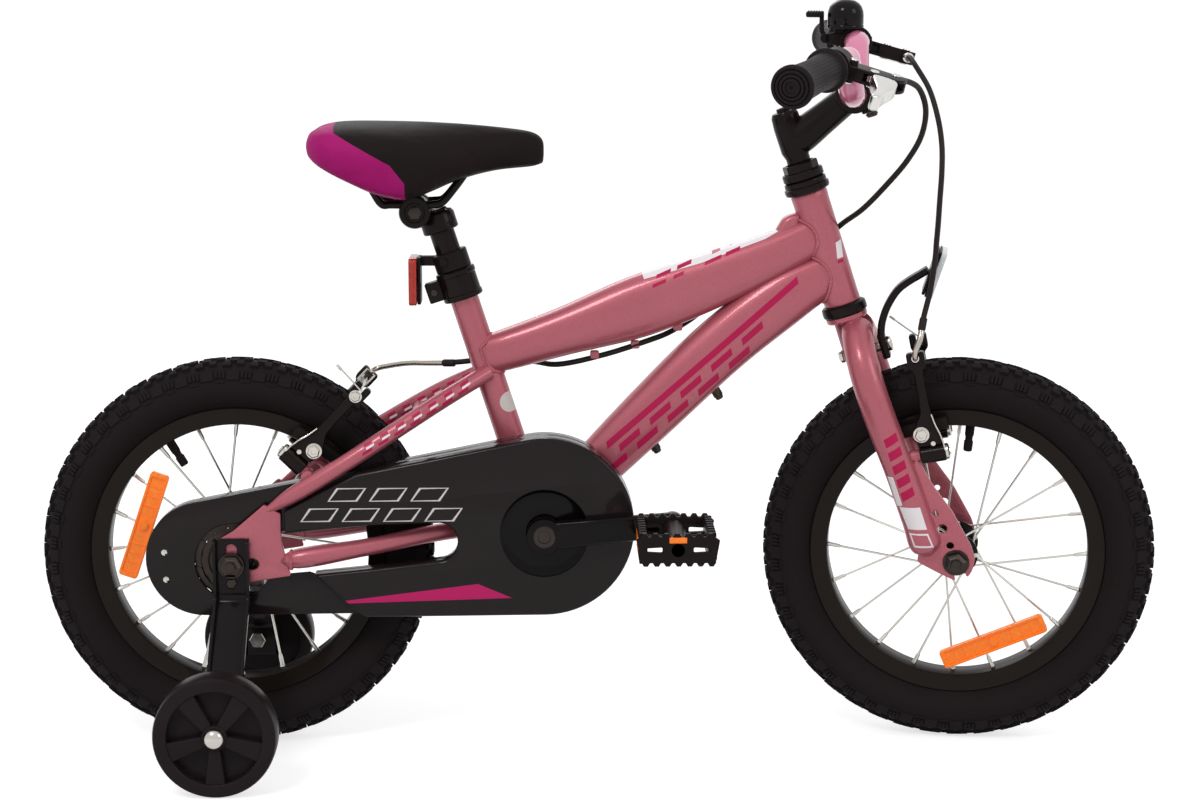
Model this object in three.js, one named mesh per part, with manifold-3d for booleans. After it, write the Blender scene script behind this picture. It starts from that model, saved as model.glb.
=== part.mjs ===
// A child's bicycle with two training wheels, as an assembly of separate pieces.
// Millimetres. +X points forward, +Y to the rider's left, +Z up. The ground is at height zero.
// Places are worked out in the bicycle's own frame, whose middle plane is y = 0, and the whole
// bicycle is then moved sideways a little, so that its box is centred with the bars turned.

import * as THREE from 'three';
import { mergeVertices } from 'three/addons/utils/BufferGeometryUtils.js';
import Module from 'manifold-3d';

const wasm = await Module();
wasm.setup();

// Driving dimensions of the bicycle
const wheelRadius = 175;
const wheelbase = 646;
const headLean = THREE.MathUtils.degToRad(17.9);
const seatLean = THREE.MathUtils.degToRad(18);
const steeringTurn = THREE.MathUtils.degToRad(-10);
const crankRise = THREE.MathUtils.degToRad(5);
const headTubeLength = 103;
const forkOffset = 33;
const crownClearance = 69.3;
const forkDrop = wheelRadius + crownClearance;
const bottomBracketAhead = 274;
const bottomBracketHeight = 203;
const crankLength = 112;
const chainLine = 42;
const barHalfWidth = 250;
const barRadius = 11.1;
const rearSpan = 56;
const frontSpan = 43.5;

// Clearances and counts that the pieces share
const gap = 0.3;
const overrun = 6;
const mergeTolerance = 1e-4;
const wheelSegments = 32;
const roundSides = 12;
const tubeSides = 8;
const boltSides = 6;
const ovalSides = 12;

const origin = new THREE.Vector3();
const xAxis = new THREE.Vector3(1, 0, 0);
const yAxis = new THREE.Vector3(0, 1, 0);
const zAxis = new THREE.Vector3(0, 0, 1);
const vec = (x, y, z) => new THREE.Vector3(x, y, z);
const sides = [['right', -1], ['left', 1]];

// The hole that lets a round shaft through with the shared gap, wherever its facets lie
function bore(shaftRadius, count = roundSides) {
  return (shaftRadius + gap) / Math.cos(Math.PI / count);
}

// Solids: a closed geometry becomes a solid that can be joined and cut
function solidOf(geometry) {
  const bare = new THREE.BufferGeometry();
  bare.setAttribute('position', geometry.getAttribute('position'));
  if (geometry.index) bare.setIndex(geometry.index);
  const merged = mergeVertices(bare, mergeTolerance);
  const points = merged.getAttribute('position');
  const corner = (index) => new THREE.Vector3().fromBufferAttribute(points, index);
  const faces = [];
  let volume = 0;
  for (let i = 0; i < merged.index.count; i += 3) {
    const [a, b, c] = [0, 1, 2].map((k) => merged.index.getX(i + k));
    if (a === b || b === c || c === a) continue;
    faces.push([a, b, c]);
    volume += corner(a).dot(corner(b).cross(corner(c)));
  }
  const outward = volume < 0 ? faces.map(([a, b, c]) => [a, c, b]) : faces;
  return new wasm.Manifold(new wasm.Mesh({
    numProp: 3,
    vertProperties: new Float32Array(points.array),
    triVerts: new Uint32Array(outward.flat()),
  }));
}

function geometryOf(body) {
  const mesh = body.getMesh();
  const geometry = new THREE.BufferGeometry();
  geometry.setAttribute('position', new THREE.BufferAttribute(mesh.vertProperties, mesh.numProp));
  geometry.setIndex(new THREE.BufferAttribute(mesh.triVerts, 1));
  geometry.computeVertexNormals();
  return geometry;
}

const join = (...bodies) => bodies.reduce((sum, body) => sum.add(body));
const cut = (body, ...tools) => tools.reduce((rest, tool) => rest.subtract(tool), body);

// Shapes, each placed by the points that it runs between
function placed(geometry, start, xDirection, yDirection, zDirection) {
  const matrix = new THREE.Matrix4().makeBasis(xDirection, yDirection, zDirection);
  matrix.setPosition(start);
  return geometry.applyMatrix4(matrix);
}

function frameAround(direction) {
  const along = direction.clone().normalize();
  const hint = Math.abs(along.y) > Math.SQRT1_2 ? xAxis : yAxis;
  const across = new THREE.Vector3().crossVectors(hint, along).normalize();
  return [across, along, new THREE.Vector3().crossVectors(across, along)];
}

function cone(start, end, startRadius, endRadius, count = roundSides) {
  const span = new THREE.Vector3().subVectors(end, start);
  const geometry = new THREE.CylinderGeometry(endRadius, startRadius, span.length(), count);
  const middle = start.clone().addScaledVector(span, 1 / 2);
  return solidOf(placed(geometry, middle, ...frameAround(span)));
}

function rod(start, end, radius, count = roundSides) {
  return cone(start, end, radius, radius, count);
}

// A ring or cup turned about the line from start along direction: the profile lists [radius, way]
function turned(profile, start, direction, segments = roundSides) {
  const points = profile.map(([radius, way]) => new THREE.Vector2(radius, way));
  if (profile[0][0] > 0) points.push(points[0].clone());
  const geometry = new THREE.LatheGeometry(points, segments);
  return solidOf(placed(geometry, start, ...frameAround(direction)));
}

function block(middle, length, width, height) {
  const geometry = new THREE.BoxGeometry(length, width, height);
  geometry.translate(middle.x, middle.y, middle.z);
  return solidOf(geometry);
}

// A plate whose outline lies in x and z, between two places along y
function plate(outline, yFrom, yTo) {
  const shape = new THREE.Shape(outline.map(([x, z]) => new THREE.Vector2(x, z)));
  const depth = Math.abs(yTo - yFrom);
  const geometry = new THREE.ExtrudeGeometry(shape, { depth, bevelEnabled: false, steps: 1 });
  const start = vec(0, Math.max(yFrom, yTo), 0);
  return solidOf(placed(geometry, start, xAxis, zAxis, yAxis.clone().negate()));
}

// A bar whose outline lies in y and z, between two places along x
function bar(outline, xFrom, xTo) {
  const shape = new THREE.Shape(outline.map(([y, z]) => new THREE.Vector2(y, z)));
  const geometry = new THREE.ExtrudeGeometry(shape, { depth: xTo - xFrom, bevelEnabled: false, steps: 1 });
  return solidOf(placed(geometry, vec(xFrom, 0, 0), yAxis, zAxis, xAxis));
}

// A round tube through a list of points
function tube(points, radius, steps, count = tubeSides) {
  const circle = new THREE.Shape();
  for (let k = 0; k < count; k += 1) {
    const angle = (2 * Math.PI * k) / count;
    const [x, y] = [radius * Math.cos(angle), radius * Math.sin(angle)];
    if (k === 0) circle.moveTo(x, y);
    else circle.lineTo(x, y);
  }
  circle.closePath();
  const extrudePath = new THREE.CatmullRomCurve3(points, false, 'centripetal');
  return solidOf(new THREE.ExtrudeGeometry(circle, { steps, extrudePath, curveSegments: 1 }));
}

// A skin over rings of points, with a flat face on the first and last ring
function loft(rings) {
  const count = rings[0].length;
  const faces = [];
  for (let ring = 0; ring < rings.length - 1; ring += 1) {
    for (let k = 0; k < count; k += 1) {
      const a = ring * count + k;
      const b = ring * count + ((k + 1) % count);
      faces.push(a, b, b + count, a, b + count, a + count);
    }
  }
  const last = (rings.length - 1) * count;
  for (let k = 1; k < count - 1; k += 1) {
    faces.push(0, k + 1, k, last, last + k, last + k + 1);
  }
  const geometry = new THREE.BufferGeometry();
  const positions = rings.flat().flatMap((point) => point.toArray());
  geometry.setAttribute('position', new THREE.BufferAttribute(new Float32Array(positions), 3));
  geometry.setIndex(faces);
  return solidOf(geometry);
}

// A tube of rounded-box section through stations [centre, half depth, half width]
function ovalTube(stations, depthHint, roundness, count = ovalSides) {
  const rings = stations.map(([centre, halfDepth, halfWidth], index) => {
    const before = stations[Math.max(index - 1, 0)][0];
    const after = stations[Math.min(index + 1, stations.length - 1)][0];
    const along = new THREE.Vector3().subVectors(after, before).normalize();
    const depth = depthHint.clone().addScaledVector(along, -depthHint.dot(along)).normalize();
    const width = new THREE.Vector3().crossVectors(depth, along);
    return Array.from({ length: count }, (_, k) => {
      const angle = (2 * Math.PI * (k + 1 / 2)) / count;
      const bulge = (value) => Math.sign(value) * Math.abs(value) ** roundness;
      return centre.clone()
        .addScaledVector(depth, halfDepth * bulge(Math.sin(angle)))
        .addScaledVector(width, halfWidth * bulge(Math.cos(angle)));
    });
  });
  return loft(rings);
}

// Stations along a straight line, from a table of shares: along, above the line, depth, width
function stationsAlong(from, to, shares, halfDepth, halfWidth) {
  const span = new THREE.Vector3().subVectors(to, from);
  const above = vec(-span.z, 0, span.x);
  return shares.map(([along, lift, depthShare, widthShare]) => [
    from.clone().addScaledVector(span, along).addScaledVector(above, lift),
    halfDepth * depthShare,
    halfWidth * widthShare,
  ]);
}

// The outline of a belt round two pulleys in x and z
function beltOutline(front, frontRadius, rear, rearRadius, stepsPerPulley) {
  const slope = Math.atan2(front.z - rear.z, front.x - rear.x);
  const tangent = Math.acos((rearRadius - frontRadius) / front.distanceTo(rear));
  const arc = (centre, radius, from, to) => Array.from({ length: stepsPerPulley + 1 }, (_, k) => {
    const angle = from + ((to - from) * k) / stepsPerPulley;
    return [centre.x + radius * Math.cos(angle), centre.z + radius * Math.sin(angle)];
  });
  return [
    ...arc(front, frontRadius, slope - tangent, slope + tangent),
    ...arc(rear, rearRadius, slope + tangent, slope + 2 * Math.PI - tangent),
  ];
}

// An outline given as shares of a length and a height from a corner
function outlineFrom(corner, length, height, shares) {
  return shares.map(([across, up]) => [corner.x + length * across, corner.z + height * up]);
}

// Materials, one for each finish
const finish = (color, roughness, metalness = 0) => (
  new THREE.MeshStandardMaterial({ color, roughness, metalness })
);
const framePaint = finish('#d08b98', 0.35, 0.25);
const barPaint = finish('#d0689a', 0.35, 0.25);
const blackPaint = finish('#17110f', 0.3, 0.1);
const blackPlastic = finish('#191513', 0.45);
const gloss = finish('#120e0d', 0.2);
const tyreRubber = finish('#1b1818', 0.85);
const gripRubber = finish('#1f1b1b', 0.8);
const steel = finish('#b8b4ae', 0.3, 0.9);
const darkSteel = finish('#4a4238', 0.45, 0.8);
const amber = finish('#f08a1c', 0.2);
const redLens = finish('#b0281c', 0.2);
const clearLens = finish('#d8dadc', 0.15);
const saddleCover = finish('#26231f', 0.7);
const cableBlack = finish('#1c1a17', 0.5);

// Main places
const rearAxle = vec(-wheelbase / 2, 0, wheelRadius);
const frontAxle = vec(wheelbase / 2, 0, wheelRadius);
const steeringAxis = vec(-Math.sin(headLean), 0, Math.cos(headLean));
const steeringForward = vec(Math.cos(headLean), 0, Math.sin(headLean));
const headBottom = frontAxle.clone()
  .addScaledVector(steeringForward, -forkOffset)
  .addScaledVector(steeringAxis, forkDrop);
const headPoint = (up) => headBottom.clone().addScaledVector(steeringAxis, up);
const bottomBracket = vec(rearAxle.x + bottomBracketAhead, 0, bottomBracketHeight);
const seatDirection = vec(-Math.sin(seatLean), 0, Math.cos(seatLean));

// The whole bicycle, its steered part, and the turn of the bars that the photograph shows
const bicycle = new THREE.Group();
const steeringSeat = new THREE.Group();
const steering = new THREE.Group();
steeringSeat.position.copy(headBottom);
steeringSeat.rotation.y = -headLean;
steering.rotation.z = steeringTurn;
steeringSeat.add(steering);
bicycle.add(steeringSeat);

function addPiece(parent, name, body, material) {
  const mesh = new THREE.Mesh(geometryOf(body), material);
  mesh.name = name;
  parent.add(mesh);
  return mesh;
}

function groupAt(parent, position, turnAboutY = 0) {
  const group = new THREE.Group();
  group.position.copy(position);
  group.rotation.y = turnAboutY;
  parent.add(group);
  return group;
}

// A point of the turned steering assembly in the bicycle's frame
function fromSteering(point) {
  return point.clone().applyAxisAngle(zAxis, steeringTurn).applyAxisAngle(yAxis, -headLean).add(headBottom);
}

// Headset: two cups pressed into the head tube round the steerer
const steerer = { radius: 12.7, bore: 11.2, raised: 24, footShare: 0.808 };
const steererTop = headTubeLength + steerer.raised;
const steererFoot = -crownClearance * steerer.footShare;
const headset = {
  cupRadius: 20.3, cupHeight: 12.4, spigotRadius: 14.6, spigotDepth: 10,
  nutBase: 18.4, nutRim: 14.6, nutHeight: 14.5, lowerHeight: 10, raceHeight: 5, raceRadius: 18.6,
};
const headTube = { radius: 16.2 };

function headsetCup(height) {
  const hole = bore(steerer.radius);
  return turned([
    [hole, gap + height],
    [headset.cupRadius, gap + height],
    [headset.cupRadius, gap],
    [headset.spigotRadius, gap],
    [headset.spigotRadius, -headset.spigotDepth],
    [hole, -headset.spigotDepth],
  ], origin, yAxis, roundSides);
}

const upperCup = addPiece(
  groupAt(bicycle, headPoint(headTubeLength), -headLean), 'headset_upper_cup',
  headsetCup(headset.cupHeight), blackPaint,
);
upperCup.rotation.x = Math.PI / 2;
const lowerCup = addPiece(
  groupAt(bicycle, headPoint(0), -headLean), 'headset_lower_cup',
  headsetCup(headset.lowerHeight), blackPaint,
);
lowerCup.rotation.x = -Math.PI / 2;

// Seat tube and bottom bracket
const seatTube = { radius: 12.7, length: 222, setback: 6, boreDepth: 117 };
const seatPost = { radius: 11.1, sunk: 104, raised: 70, wall: 1.5, cap: 5 };
const postFoot = seatTube.length - seatPost.sunk;
const postTop = seatTube.length + seatPost.raised;
const bracketShell = { radius: 20, bore: 17, halfWidth: 34 };
const seatFoot = vec(bottomBracket.x - seatTube.setback, 0, bottomBracket.z);
const seatPoint = (along) => seatFoot.clone().addScaledVector(seatDirection, along);

// Frame: tubes, stays, dropouts and bosses welded into one piece
const topTube = { seatHeight: 154.6, headHeight: 66, depth: 55.4, width: 38, roundness: 0.72 };
const topTubeShares = [
  [0, 0, 0.62, 0.62],
  [0.06, -0.004, 0.66, 0.84],
  [0.23, -0.012, 0.77, 0.95],
  [0.46, -0.019, 1, 1],
  [0.7, -0.02, 0.88, 1],
  [0.9, -0.01, 0.7, 0.88],
  [0.985, 0, 0.62, 0.76],
];
const downTube = { headHeight: 30, depth: 52.4, width: 38, roundness: 0.72 };
const downTubeShares = [
  [0, 0, 0.72, 0.9],
  [0.375, 0.0275, 0.94, 1],
  [0.665, 0.042, 1, 1],
  [0.86, 0.03, 0.95, 0.9],
  [0.985, 0.006, 0.72, 0.76],
];
const gusset = { length: 42, height: 40, halfWidth: 8 };
const gussetShares = [[0, 0.32], [0.72, 0.92], [1, 0.95], [1, 0], [0.3, 0]];
const staySteps = 7;
const seatStay = { radius: 7.5, seatHeight: 141 };
const chainStay = { radius: 7.75 };
const dropout = { thickness: 5, length: 66, height: 70, slotHalf: 5.2 };
const dropoutShares = [
  [-0.2, 0.3], [0.02, 0.42], [0.44, 0.76], [0.66, 0.64], [0.66, 0.3],
  [0.78, -0.15], [0.22, -0.23], [-0.05, -0.06], [-0.2, 0.13],
];
const seatBridge = { radius: 5, share: 0.33, halfWidth: 41 };
const chainBridge = { radius: 6, ahead: 24, halfWidth: 33 };
const boss = { radius: 5.5, halfSpan: 43, pinRadius: 4, headRadius: 7, headLength: 4 };
const arm = { barrelRadius: 8, barrelHalf: 11, thickness: 10, length: 92 };
const lug = { length: 14, depth: 16 };
const cableRadius = 2.5;
const clip = { length: 8, width: 7, height: 7, sink: 4 };
const clipShares = [0.22, 0.36, 0.5];
const tubeBoss = { radius: 4, height: 5, sink: 10 };
const tubeBossShares = [0.36, 0.58];

const stayEnd = rearSpan + dropout.thickness / 2;
const seatStayShares = [[0, 0], [0.22, 0.02], [0.42, 0.018], [0.65, 0.006], [1, 0]];
const seatStaySpreadShares = [0.17, 0.6, 0.85, 0.99, 1];
const chainStayShares = [[0, 0], [0.18, 0.012], [0.38, 0.02], [0.62, 0.008], [1, 0]];
const chainStaySpreadShares = [0.34, 0.42, 0.67, 0.87, 1];
const stayFootShares = { ahead: 0.47, upper: 0.68, lower: 0.02 };
const seatStayTop = seatPoint(seatStay.seatHeight);
const seatStayFoot = vec(
  rearAxle.x + dropout.length * stayFootShares.ahead, 0, rearAxle.z + dropout.height * stayFootShares.upper,
);
const chainStayTop = vec(bottomBracket.x - bracketShell.radius / 2, 0, bottomBracket.z);
const chainStayFoot = vec(
  rearAxle.x + dropout.length * stayFootShares.ahead, 0, rearAxle.z + dropout.height * stayFootShares.lower,
);

function stayPoints(from, to, shares, spreads, side) {
  const span = new THREE.Vector3().subVectors(to, from);
  const above = vec(Math.abs(span.z), 0, Math.abs(span.x));
  return shares.map(([along, lift], index) => from.clone()
    .addScaledVector(span, along)
    .addScaledVector(above, lift)
    .setY(side * stayEnd * spreads[index]));
}

// Where the rear brake stands: its pivot axis points back and up, its arms run up beside the tyre
const rearBrake = { alongShare: 0.787, lean: 46 };
const rearBrakeAxis = vec(
  -Math.sin(THREE.MathUtils.degToRad(rearBrake.lean)), 0,
  Math.cos(THREE.MathUtils.degToRad(rearBrake.lean)),
);
const rearBrakeUp = vec(rearBrakeAxis.z, 0, -rearBrakeAxis.x);
const rearBrakeFoot = new THREE.Vector3().lerpVectors(seatStayTop, seatStayFoot, rearBrake.alongShare);
const bossReach = 14;
const barrelWay = bossReach + gap + arm.barrelHalf;
const pinWay = barrelWay + arm.barrelHalf + gap;

// A brake boss with the bolt that its arm turns on, from a foot along an axis
function brakeBoss(foot, axis, side) {
  const base = foot.clone().setY(side * boss.halfSpan);
  const at = (way) => base.clone().addScaledVector(axis, way);
  return join(
    rod(at(-boss.radius), at(bossReach), boss.radius, tubeSides),
    rod(at(0), at(pinWay + boss.headLength / 2), boss.pinRadius, tubeSides),
    rod(at(pinWay), at(pinWay + boss.headLength), boss.headRadius, tubeSides),
  );
}

function dropoutPlate(side) {
  const outline = outlineFrom(rearAxle, dropout.length, dropout.height, dropoutShares);
  const slot = block(
    rearAxle.clone().add(vec(dropout.slotHalf - dropout.length / 2, side * stayEnd, 0)),
    dropout.length, dropout.thickness + overrun, 2 * dropout.slotHalf,
  );
  return cut(plate(outline, side * rearSpan, side * (rearSpan + dropout.thickness)), slot);
}

function rearStays(side) {
  const upper = stayPoints(seatStayTop, seatStayFoot, seatStayShares, seatStaySpreadShares, side);
  const lower = stayPoints(chainStayTop, chainStayFoot, chainStayShares, chainStaySpreadShares, side);
  const lugFoot = rearBrakeFoot.clone().setY(side * (boss.halfSpan + stayEnd) / 2);
  const lugEnd = lugFoot.clone().addScaledVector(rearBrakeAxis, lug.length / 2);
  const lugBlock = rod(
    lugEnd.clone().setY(side * (boss.halfSpan - boss.radius / 2)), lugEnd.clone().setY(side * stayEnd),
    (lug.depth - boss.radius) / 2, tubeSides,
  );
  return join(
    tube(upper, seatStay.radius, staySteps),
    tube(lower, chainStay.radius, staySteps),
    dropoutPlate(side),
    lugBlock,
    brakeBoss(rearBrakeFoot, rearBrakeAxis, side),
  );
}

function frameBody() {
  const topStations = stationsAlong(
    seatPoint(topTube.seatHeight), headPoint(topTube.headHeight), topTubeShares,
    topTube.depth / 2, topTube.width / 2,
  );
  const downStations = stationsAlong(
    bottomBracket, headPoint(downTube.headHeight), downTubeShares,
    downTube.depth / 2, downTube.width / 2,
  );
  const hood = headPoint(topTube.headHeight).add(
    vec(-gusset.length - headTube.radius / 2, 0, -gusset.height / 2),
  );
  const bridge = new THREE.Vector3().lerpVectors(seatStayTop, seatStayFoot, seatBridge.share);
  const lowBridge = vec(rearAxle.x + wheelRadius + chainBridge.ahead, 0, chainStayTop.z);
  const clips = clipShares.map((share) => {
    const spot = stationAt(topStations, share);
    return block(
      vec(spot.centre.x, 0, spot.centre.z - spot.depth - clip.height / 2 + clip.sink),
      clip.length, clip.width, clip.height,
    );
  });
  const bosses = tubeBossShares.map((share) => {
    const spot = stationAt(downStations, share);
    const out = spot.above.clone().negate();
    return rod(
      spot.centre.clone().addScaledVector(out, spot.depth - tubeBoss.sink),
      spot.centre.clone().addScaledVector(out, spot.depth + tubeBoss.height),
      tubeBoss.radius, tubeSides,
    );
  });
  const solids = join(
    rod(headPoint(0), headPoint(headTubeLength), headTube.radius),
    rod(seatFoot, seatPoint(seatTube.length), seatTube.radius),
    ovalTube(topStations, zAxis, topTube.roundness),
    ovalTube(downStations, zAxis, downTube.roundness),
    plate(
      outlineFrom(hood, gusset.length, gusset.height, gussetShares), -gusset.halfWidth, gusset.halfWidth,
    ),
    rod(
      bottomBracket.clone().setY(-bracketShell.halfWidth),
      bottomBracket.clone().setY(bracketShell.halfWidth),
      bracketShell.radius,
    ),
    rod(
      bridge.clone().setY(-seatBridge.halfWidth), bridge.clone().setY(seatBridge.halfWidth),
      seatBridge.radius,
    ),
    rod(
      lowBridge.clone().setY(-chainBridge.halfWidth), lowBridge.clone().setY(chainBridge.halfWidth),
      chainBridge.radius,
    ),
    ...clips,
    ...bosses,
    ...sides.map(([, side]) => rearStays(side)),
  );
  const cupRoom = headset.cupRadius + headset.spigotDepth;
  return cut(
    solids,
    rod(headPoint(-cupRoom), headPoint(0), cupRoom),
    rod(headPoint(headTubeLength), headPoint(headTubeLength + cupRoom), cupRoom),
    rod(headPoint(-overrun), headPoint(headTubeLength + overrun), bore(headset.spigotRadius)),
    rod(
      seatPoint(seatTube.length - seatTube.boreDepth), seatPoint(seatTube.length + overrun),
      bore(seatPost.radius),
    ),
    rod(
      bottomBracket.clone().setY(-bracketShell.halfWidth - overrun),
      bottomBracket.clone().setY(bracketShell.halfWidth + overrun), bracketShell.bore,
    ),
  );
}

// A place along a tube's stations: its centre, its half depth there and the way up from it
function stationAt(stations, share) {
  const first = stations[0][0];
  const last = stations[stations.length - 1][0];
  const reach = share * last.distanceTo(first);
  const next = stations.findIndex(([centre]) => centre.distanceTo(first) > reach);
  const [low, high] = [stations[next - 1], stations[next]];
  const part = (reach - low[0].distanceTo(first)) / (high[0].distanceTo(first) - low[0].distanceTo(first));
  const along = new THREE.Vector3().subVectors(high[0], low[0]).normalize();
  return {
    centre: new THREE.Vector3().lerpVectors(low[0], high[0], part),
    depth: low[1] + (high[1] - low[1]) * part,
    above: vec(-along.z, 0, along.x),
  };
}

addPiece(bicycle, 'frame', frameBody(), framePaint);

// Wheels: tyre, rim, hub with laced spokes, and a reflector; each turns about its own middle
const rim = { outer: 131, inner: 116, halfWidth: 14.5, flange: 2, well: 122 };
const tyre = { halfWidth: 26, bead: 124.5, wall: 4.5, treadHalf: 9, shoulderShare: 0.5, sideShare: 0.8 };
const spoke = { radius: 1.1, count: 20, hubRadius: 17, cross: 38, rimHalf: 3, lace: 1.7, sides: 3 };
const hub = { bore: 5.2, barrel: 11, flangeRadius: 19, flangeWidth: 3, endRadius: 10 };
const frontHub = { half: 38, flange: 22 };
const rearHub = { half: 47, flange: 23, threadRadius: 17, threadStart: 34 };
const valve = { radius: 4, length: 25 };
const frontValveAngle = 67.5;
const rearValveAngle = 121.5;
const axle = { radius: 4.6, coneRadius: 8, frontEnd: 60, rearEnd: 77 };
const wheelReflector = { reach: 86, halfLength: 49, halfHeight: 8.5, thickness: 6 };
const frontReflectorAngle = 276;
const rearReflectorAngle = 161;

function ringProfile(half) {
  return [...half, ...half.map(([radius, way]) => [radius, -way]).reverse()];
}

function tyreBody() {
  const bead = rim.halfWidth - rim.flange - gap;
  const middle = (rim.outer + wheelRadius) / 2;
  const outside = [
    [tyre.bead, bead],
    [rim.outer + gap, bead],
    [middle - tyre.wall, tyre.halfWidth],
    [middle + tyre.halfWidth * tyre.shoulderShare, tyre.halfWidth * tyre.sideShare],
    [wheelRadius, tyre.treadHalf],
  ];
  const inside = [
    [wheelRadius - tyre.wall, tyre.treadHalf],
    [tyre.bead, bead - tyre.wall],
  ];
  const outer = ringProfile(outside);
  const inner = ringProfile(inside).reverse();
  return turned([...outer, ...inner], origin, yAxis, wheelSegments);
}

function rimBody(valveAngle) {
  const ring = turned(ringProfile([
    [rim.well, rim.halfWidth - rim.flange],
    [rim.outer, rim.halfWidth - rim.flange],
    [rim.outer, rim.halfWidth],
    [rim.inner, rim.halfWidth - rim.flange / 2],
  ]), origin, yAxis, wheelSegments);
  const angle = THREE.MathUtils.degToRad(valveAngle);
  const out = vec(Math.cos(angle), 0, Math.sin(angle));
  const stem = rod(
    out.clone().multiplyScalar(rim.inner - valve.length), out.clone().multiplyScalar(rim.well - rim.flange),
    valve.radius, tubeSides,
  );
  return join(ring, stem);
}

// Each spoke's side, foot on its flange and head at the rim
function spokeLines(flange) {
  const reach = (rim.inner - gap) * Math.cos(Math.PI / wheelSegments);
  return Array.from({ length: spoke.count }, (_, k) => {
    const rimAngle = (2 * Math.PI * k) / spoke.count;
    const side = k % 2 === 0 ? 1 : -1;
    const lean = k % 4 < 2 ? 1 : -1;
    const hubAngle = rimAngle + lean * THREE.MathUtils.degToRad(spoke.cross);
    const foot = vec(
      spoke.hubRadius * Math.cos(hubAngle),
      side * (flange + lean * spoke.lace),
      spoke.hubRadius * Math.sin(hubAngle),
    );
    const head = vec(reach * Math.cos(rimAngle), side * spoke.rimHalf, reach * Math.sin(rimAngle));
    return { side, foot, head };
  });
}

const spokes = (flange) => spokeLines(flange).map(({ foot, head }) => (
  rod(foot, head, spoke.radius, spoke.sides)
));

function frontHubBody() {
  const shell = turned(ringProfile([
    [hub.barrel, frontHub.flange - 2 * hub.flangeWidth],
    [hub.flangeRadius, frontHub.flange - hub.flangeWidth / 2],
    [hub.flangeRadius, frontHub.flange + hub.flangeWidth / 2],
    [hub.endRadius, frontHub.flange + 2 * hub.flangeWidth],
    [hub.endRadius, frontHub.half],
    [hub.bore, frontHub.half],
  ]), origin, yAxis, roundSides);
  return join(shell, ...spokes(frontHub.flange));
}

function rearHubBody() {
  const right = [
    [hub.bore, -rearHub.half],
    [rearHub.threadRadius, -rearHub.half],
    [rearHub.threadRadius, -rearHub.threadStart],
    [hub.barrel, -rearHub.threadStart],
    [hub.barrel, -rearHub.flange - 2 * hub.flangeWidth],
    [hub.flangeRadius, -rearHub.flange - hub.flangeWidth / 2],
    [hub.flangeRadius, -rearHub.flange + hub.flangeWidth / 2],
    [hub.barrel, -rearHub.flange + 2 * hub.flangeWidth],
  ];
  const left = [
    [hub.barrel, rearHub.flange - 2 * hub.flangeWidth],
    [hub.flangeRadius, rearHub.flange - hub.flangeWidth / 2],
    [hub.flangeRadius, rearHub.flange + hub.flangeWidth / 2],
    [hub.endRadius, rearHub.flange + 2 * hub.flangeWidth],
    [hub.endRadius, rearHub.half],
    [hub.bore, rearHub.half],
  ];
  return join(turned([...right, ...left], origin, yAxis, roundSides), ...spokes(rearHub.flange));
}

// How far out the right-hand spokes stand under the reflector
function spokeRise(flange, angle) {
  const steps = Array.from({ length: 2 * spoke.count + 1 }, (_, k) => k / (2 * spoke.count));
  const heights = spokeLines(flange).filter(({ side }) => side < 0).flatMap(({ foot, head }) => (
    steps.map((share) => {
      const spot = new THREE.Vector3().lerpVectors(foot, head, share).applyAxisAngle(yAxis, angle);
      const inside = Math.abs(spot.x - wheelReflector.reach) <= wheelReflector.halfHeight + 2 * spoke.radius
        && Math.abs(spot.z) <= wheelReflector.halfLength + 2 * spoke.radius;
      return inside ? -spot.y : 0;
    })
  ));
  return Math.max(...heights) + spoke.radius + gap;
}

// A bar-shaped reflector clipped on the right-hand spokes, square to its radius
function spokeReflector(angleDegrees, flange) {
  const angle = THREE.MathUtils.degToRad(angleDegrees);
  const inner = spokeRise(flange, angle);
  const geometry = new THREE.BoxGeometry(
    2 * wheelReflector.halfHeight, wheelReflector.thickness, 2 * wheelReflector.halfLength,
  );
  geometry.translate(wheelReflector.reach, -inner - wheelReflector.thickness / 2, 0);
  geometry.rotateY(-angle);
  return solidOf(geometry);
}

function addWheel(parent, prefix, hubBody, flange, valveAngle, reflectorAngle) {
  addPiece(parent, `${prefix}_tyre`, tyreBody(), tyreRubber);
  addPiece(parent, `${prefix}_rim`, rimBody(valveAngle), gloss);
  addPiece(parent, `${prefix}_hub_and_spokes`, hubBody, steel);
  addPiece(parent, `${prefix}_wheel_reflector`, spokeReflector(reflectorAngle, flange), amber);
}

const frontWheel = groupAt(steering, vec(forkOffset, 0, -forkDrop));
const rearWheel = groupAt(bicycle, rearAxle);
addWheel(frontWheel, 'front', frontHubBody(), frontHub.flange, frontValveAngle, frontReflectorAngle);
addWheel(rearWheel, 'rear', rearHubBody(), rearHub.flange, rearValveAngle, rearReflectorAngle);

// Axles with their cones, and the nuts outside the dropouts
function axleBody(end, coneFrom, coneTo) {
  return join(
    rod(vec(0, -end, 0), vec(0, end, 0), axle.radius, tubeSides),
    ...sides.map(([, side]) => rod(
      vec(0, side * coneFrom, 0), vec(0, side * coneTo, 0), axle.coneRadius, tubeSides,
    )),
  );
}

function nutBody(side, from, thickness, radius) {
  return cut(
    rod(vec(0, side * from, 0), vec(0, side * (from + thickness), 0), radius, boltSides),
    rod(
      vec(0, side * (from - overrun), 0), vec(0, side * (from + thickness + overrun), 0),
      bore(axle.radius, tubeSides), tubeSides,
    ),
  );
}

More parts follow.
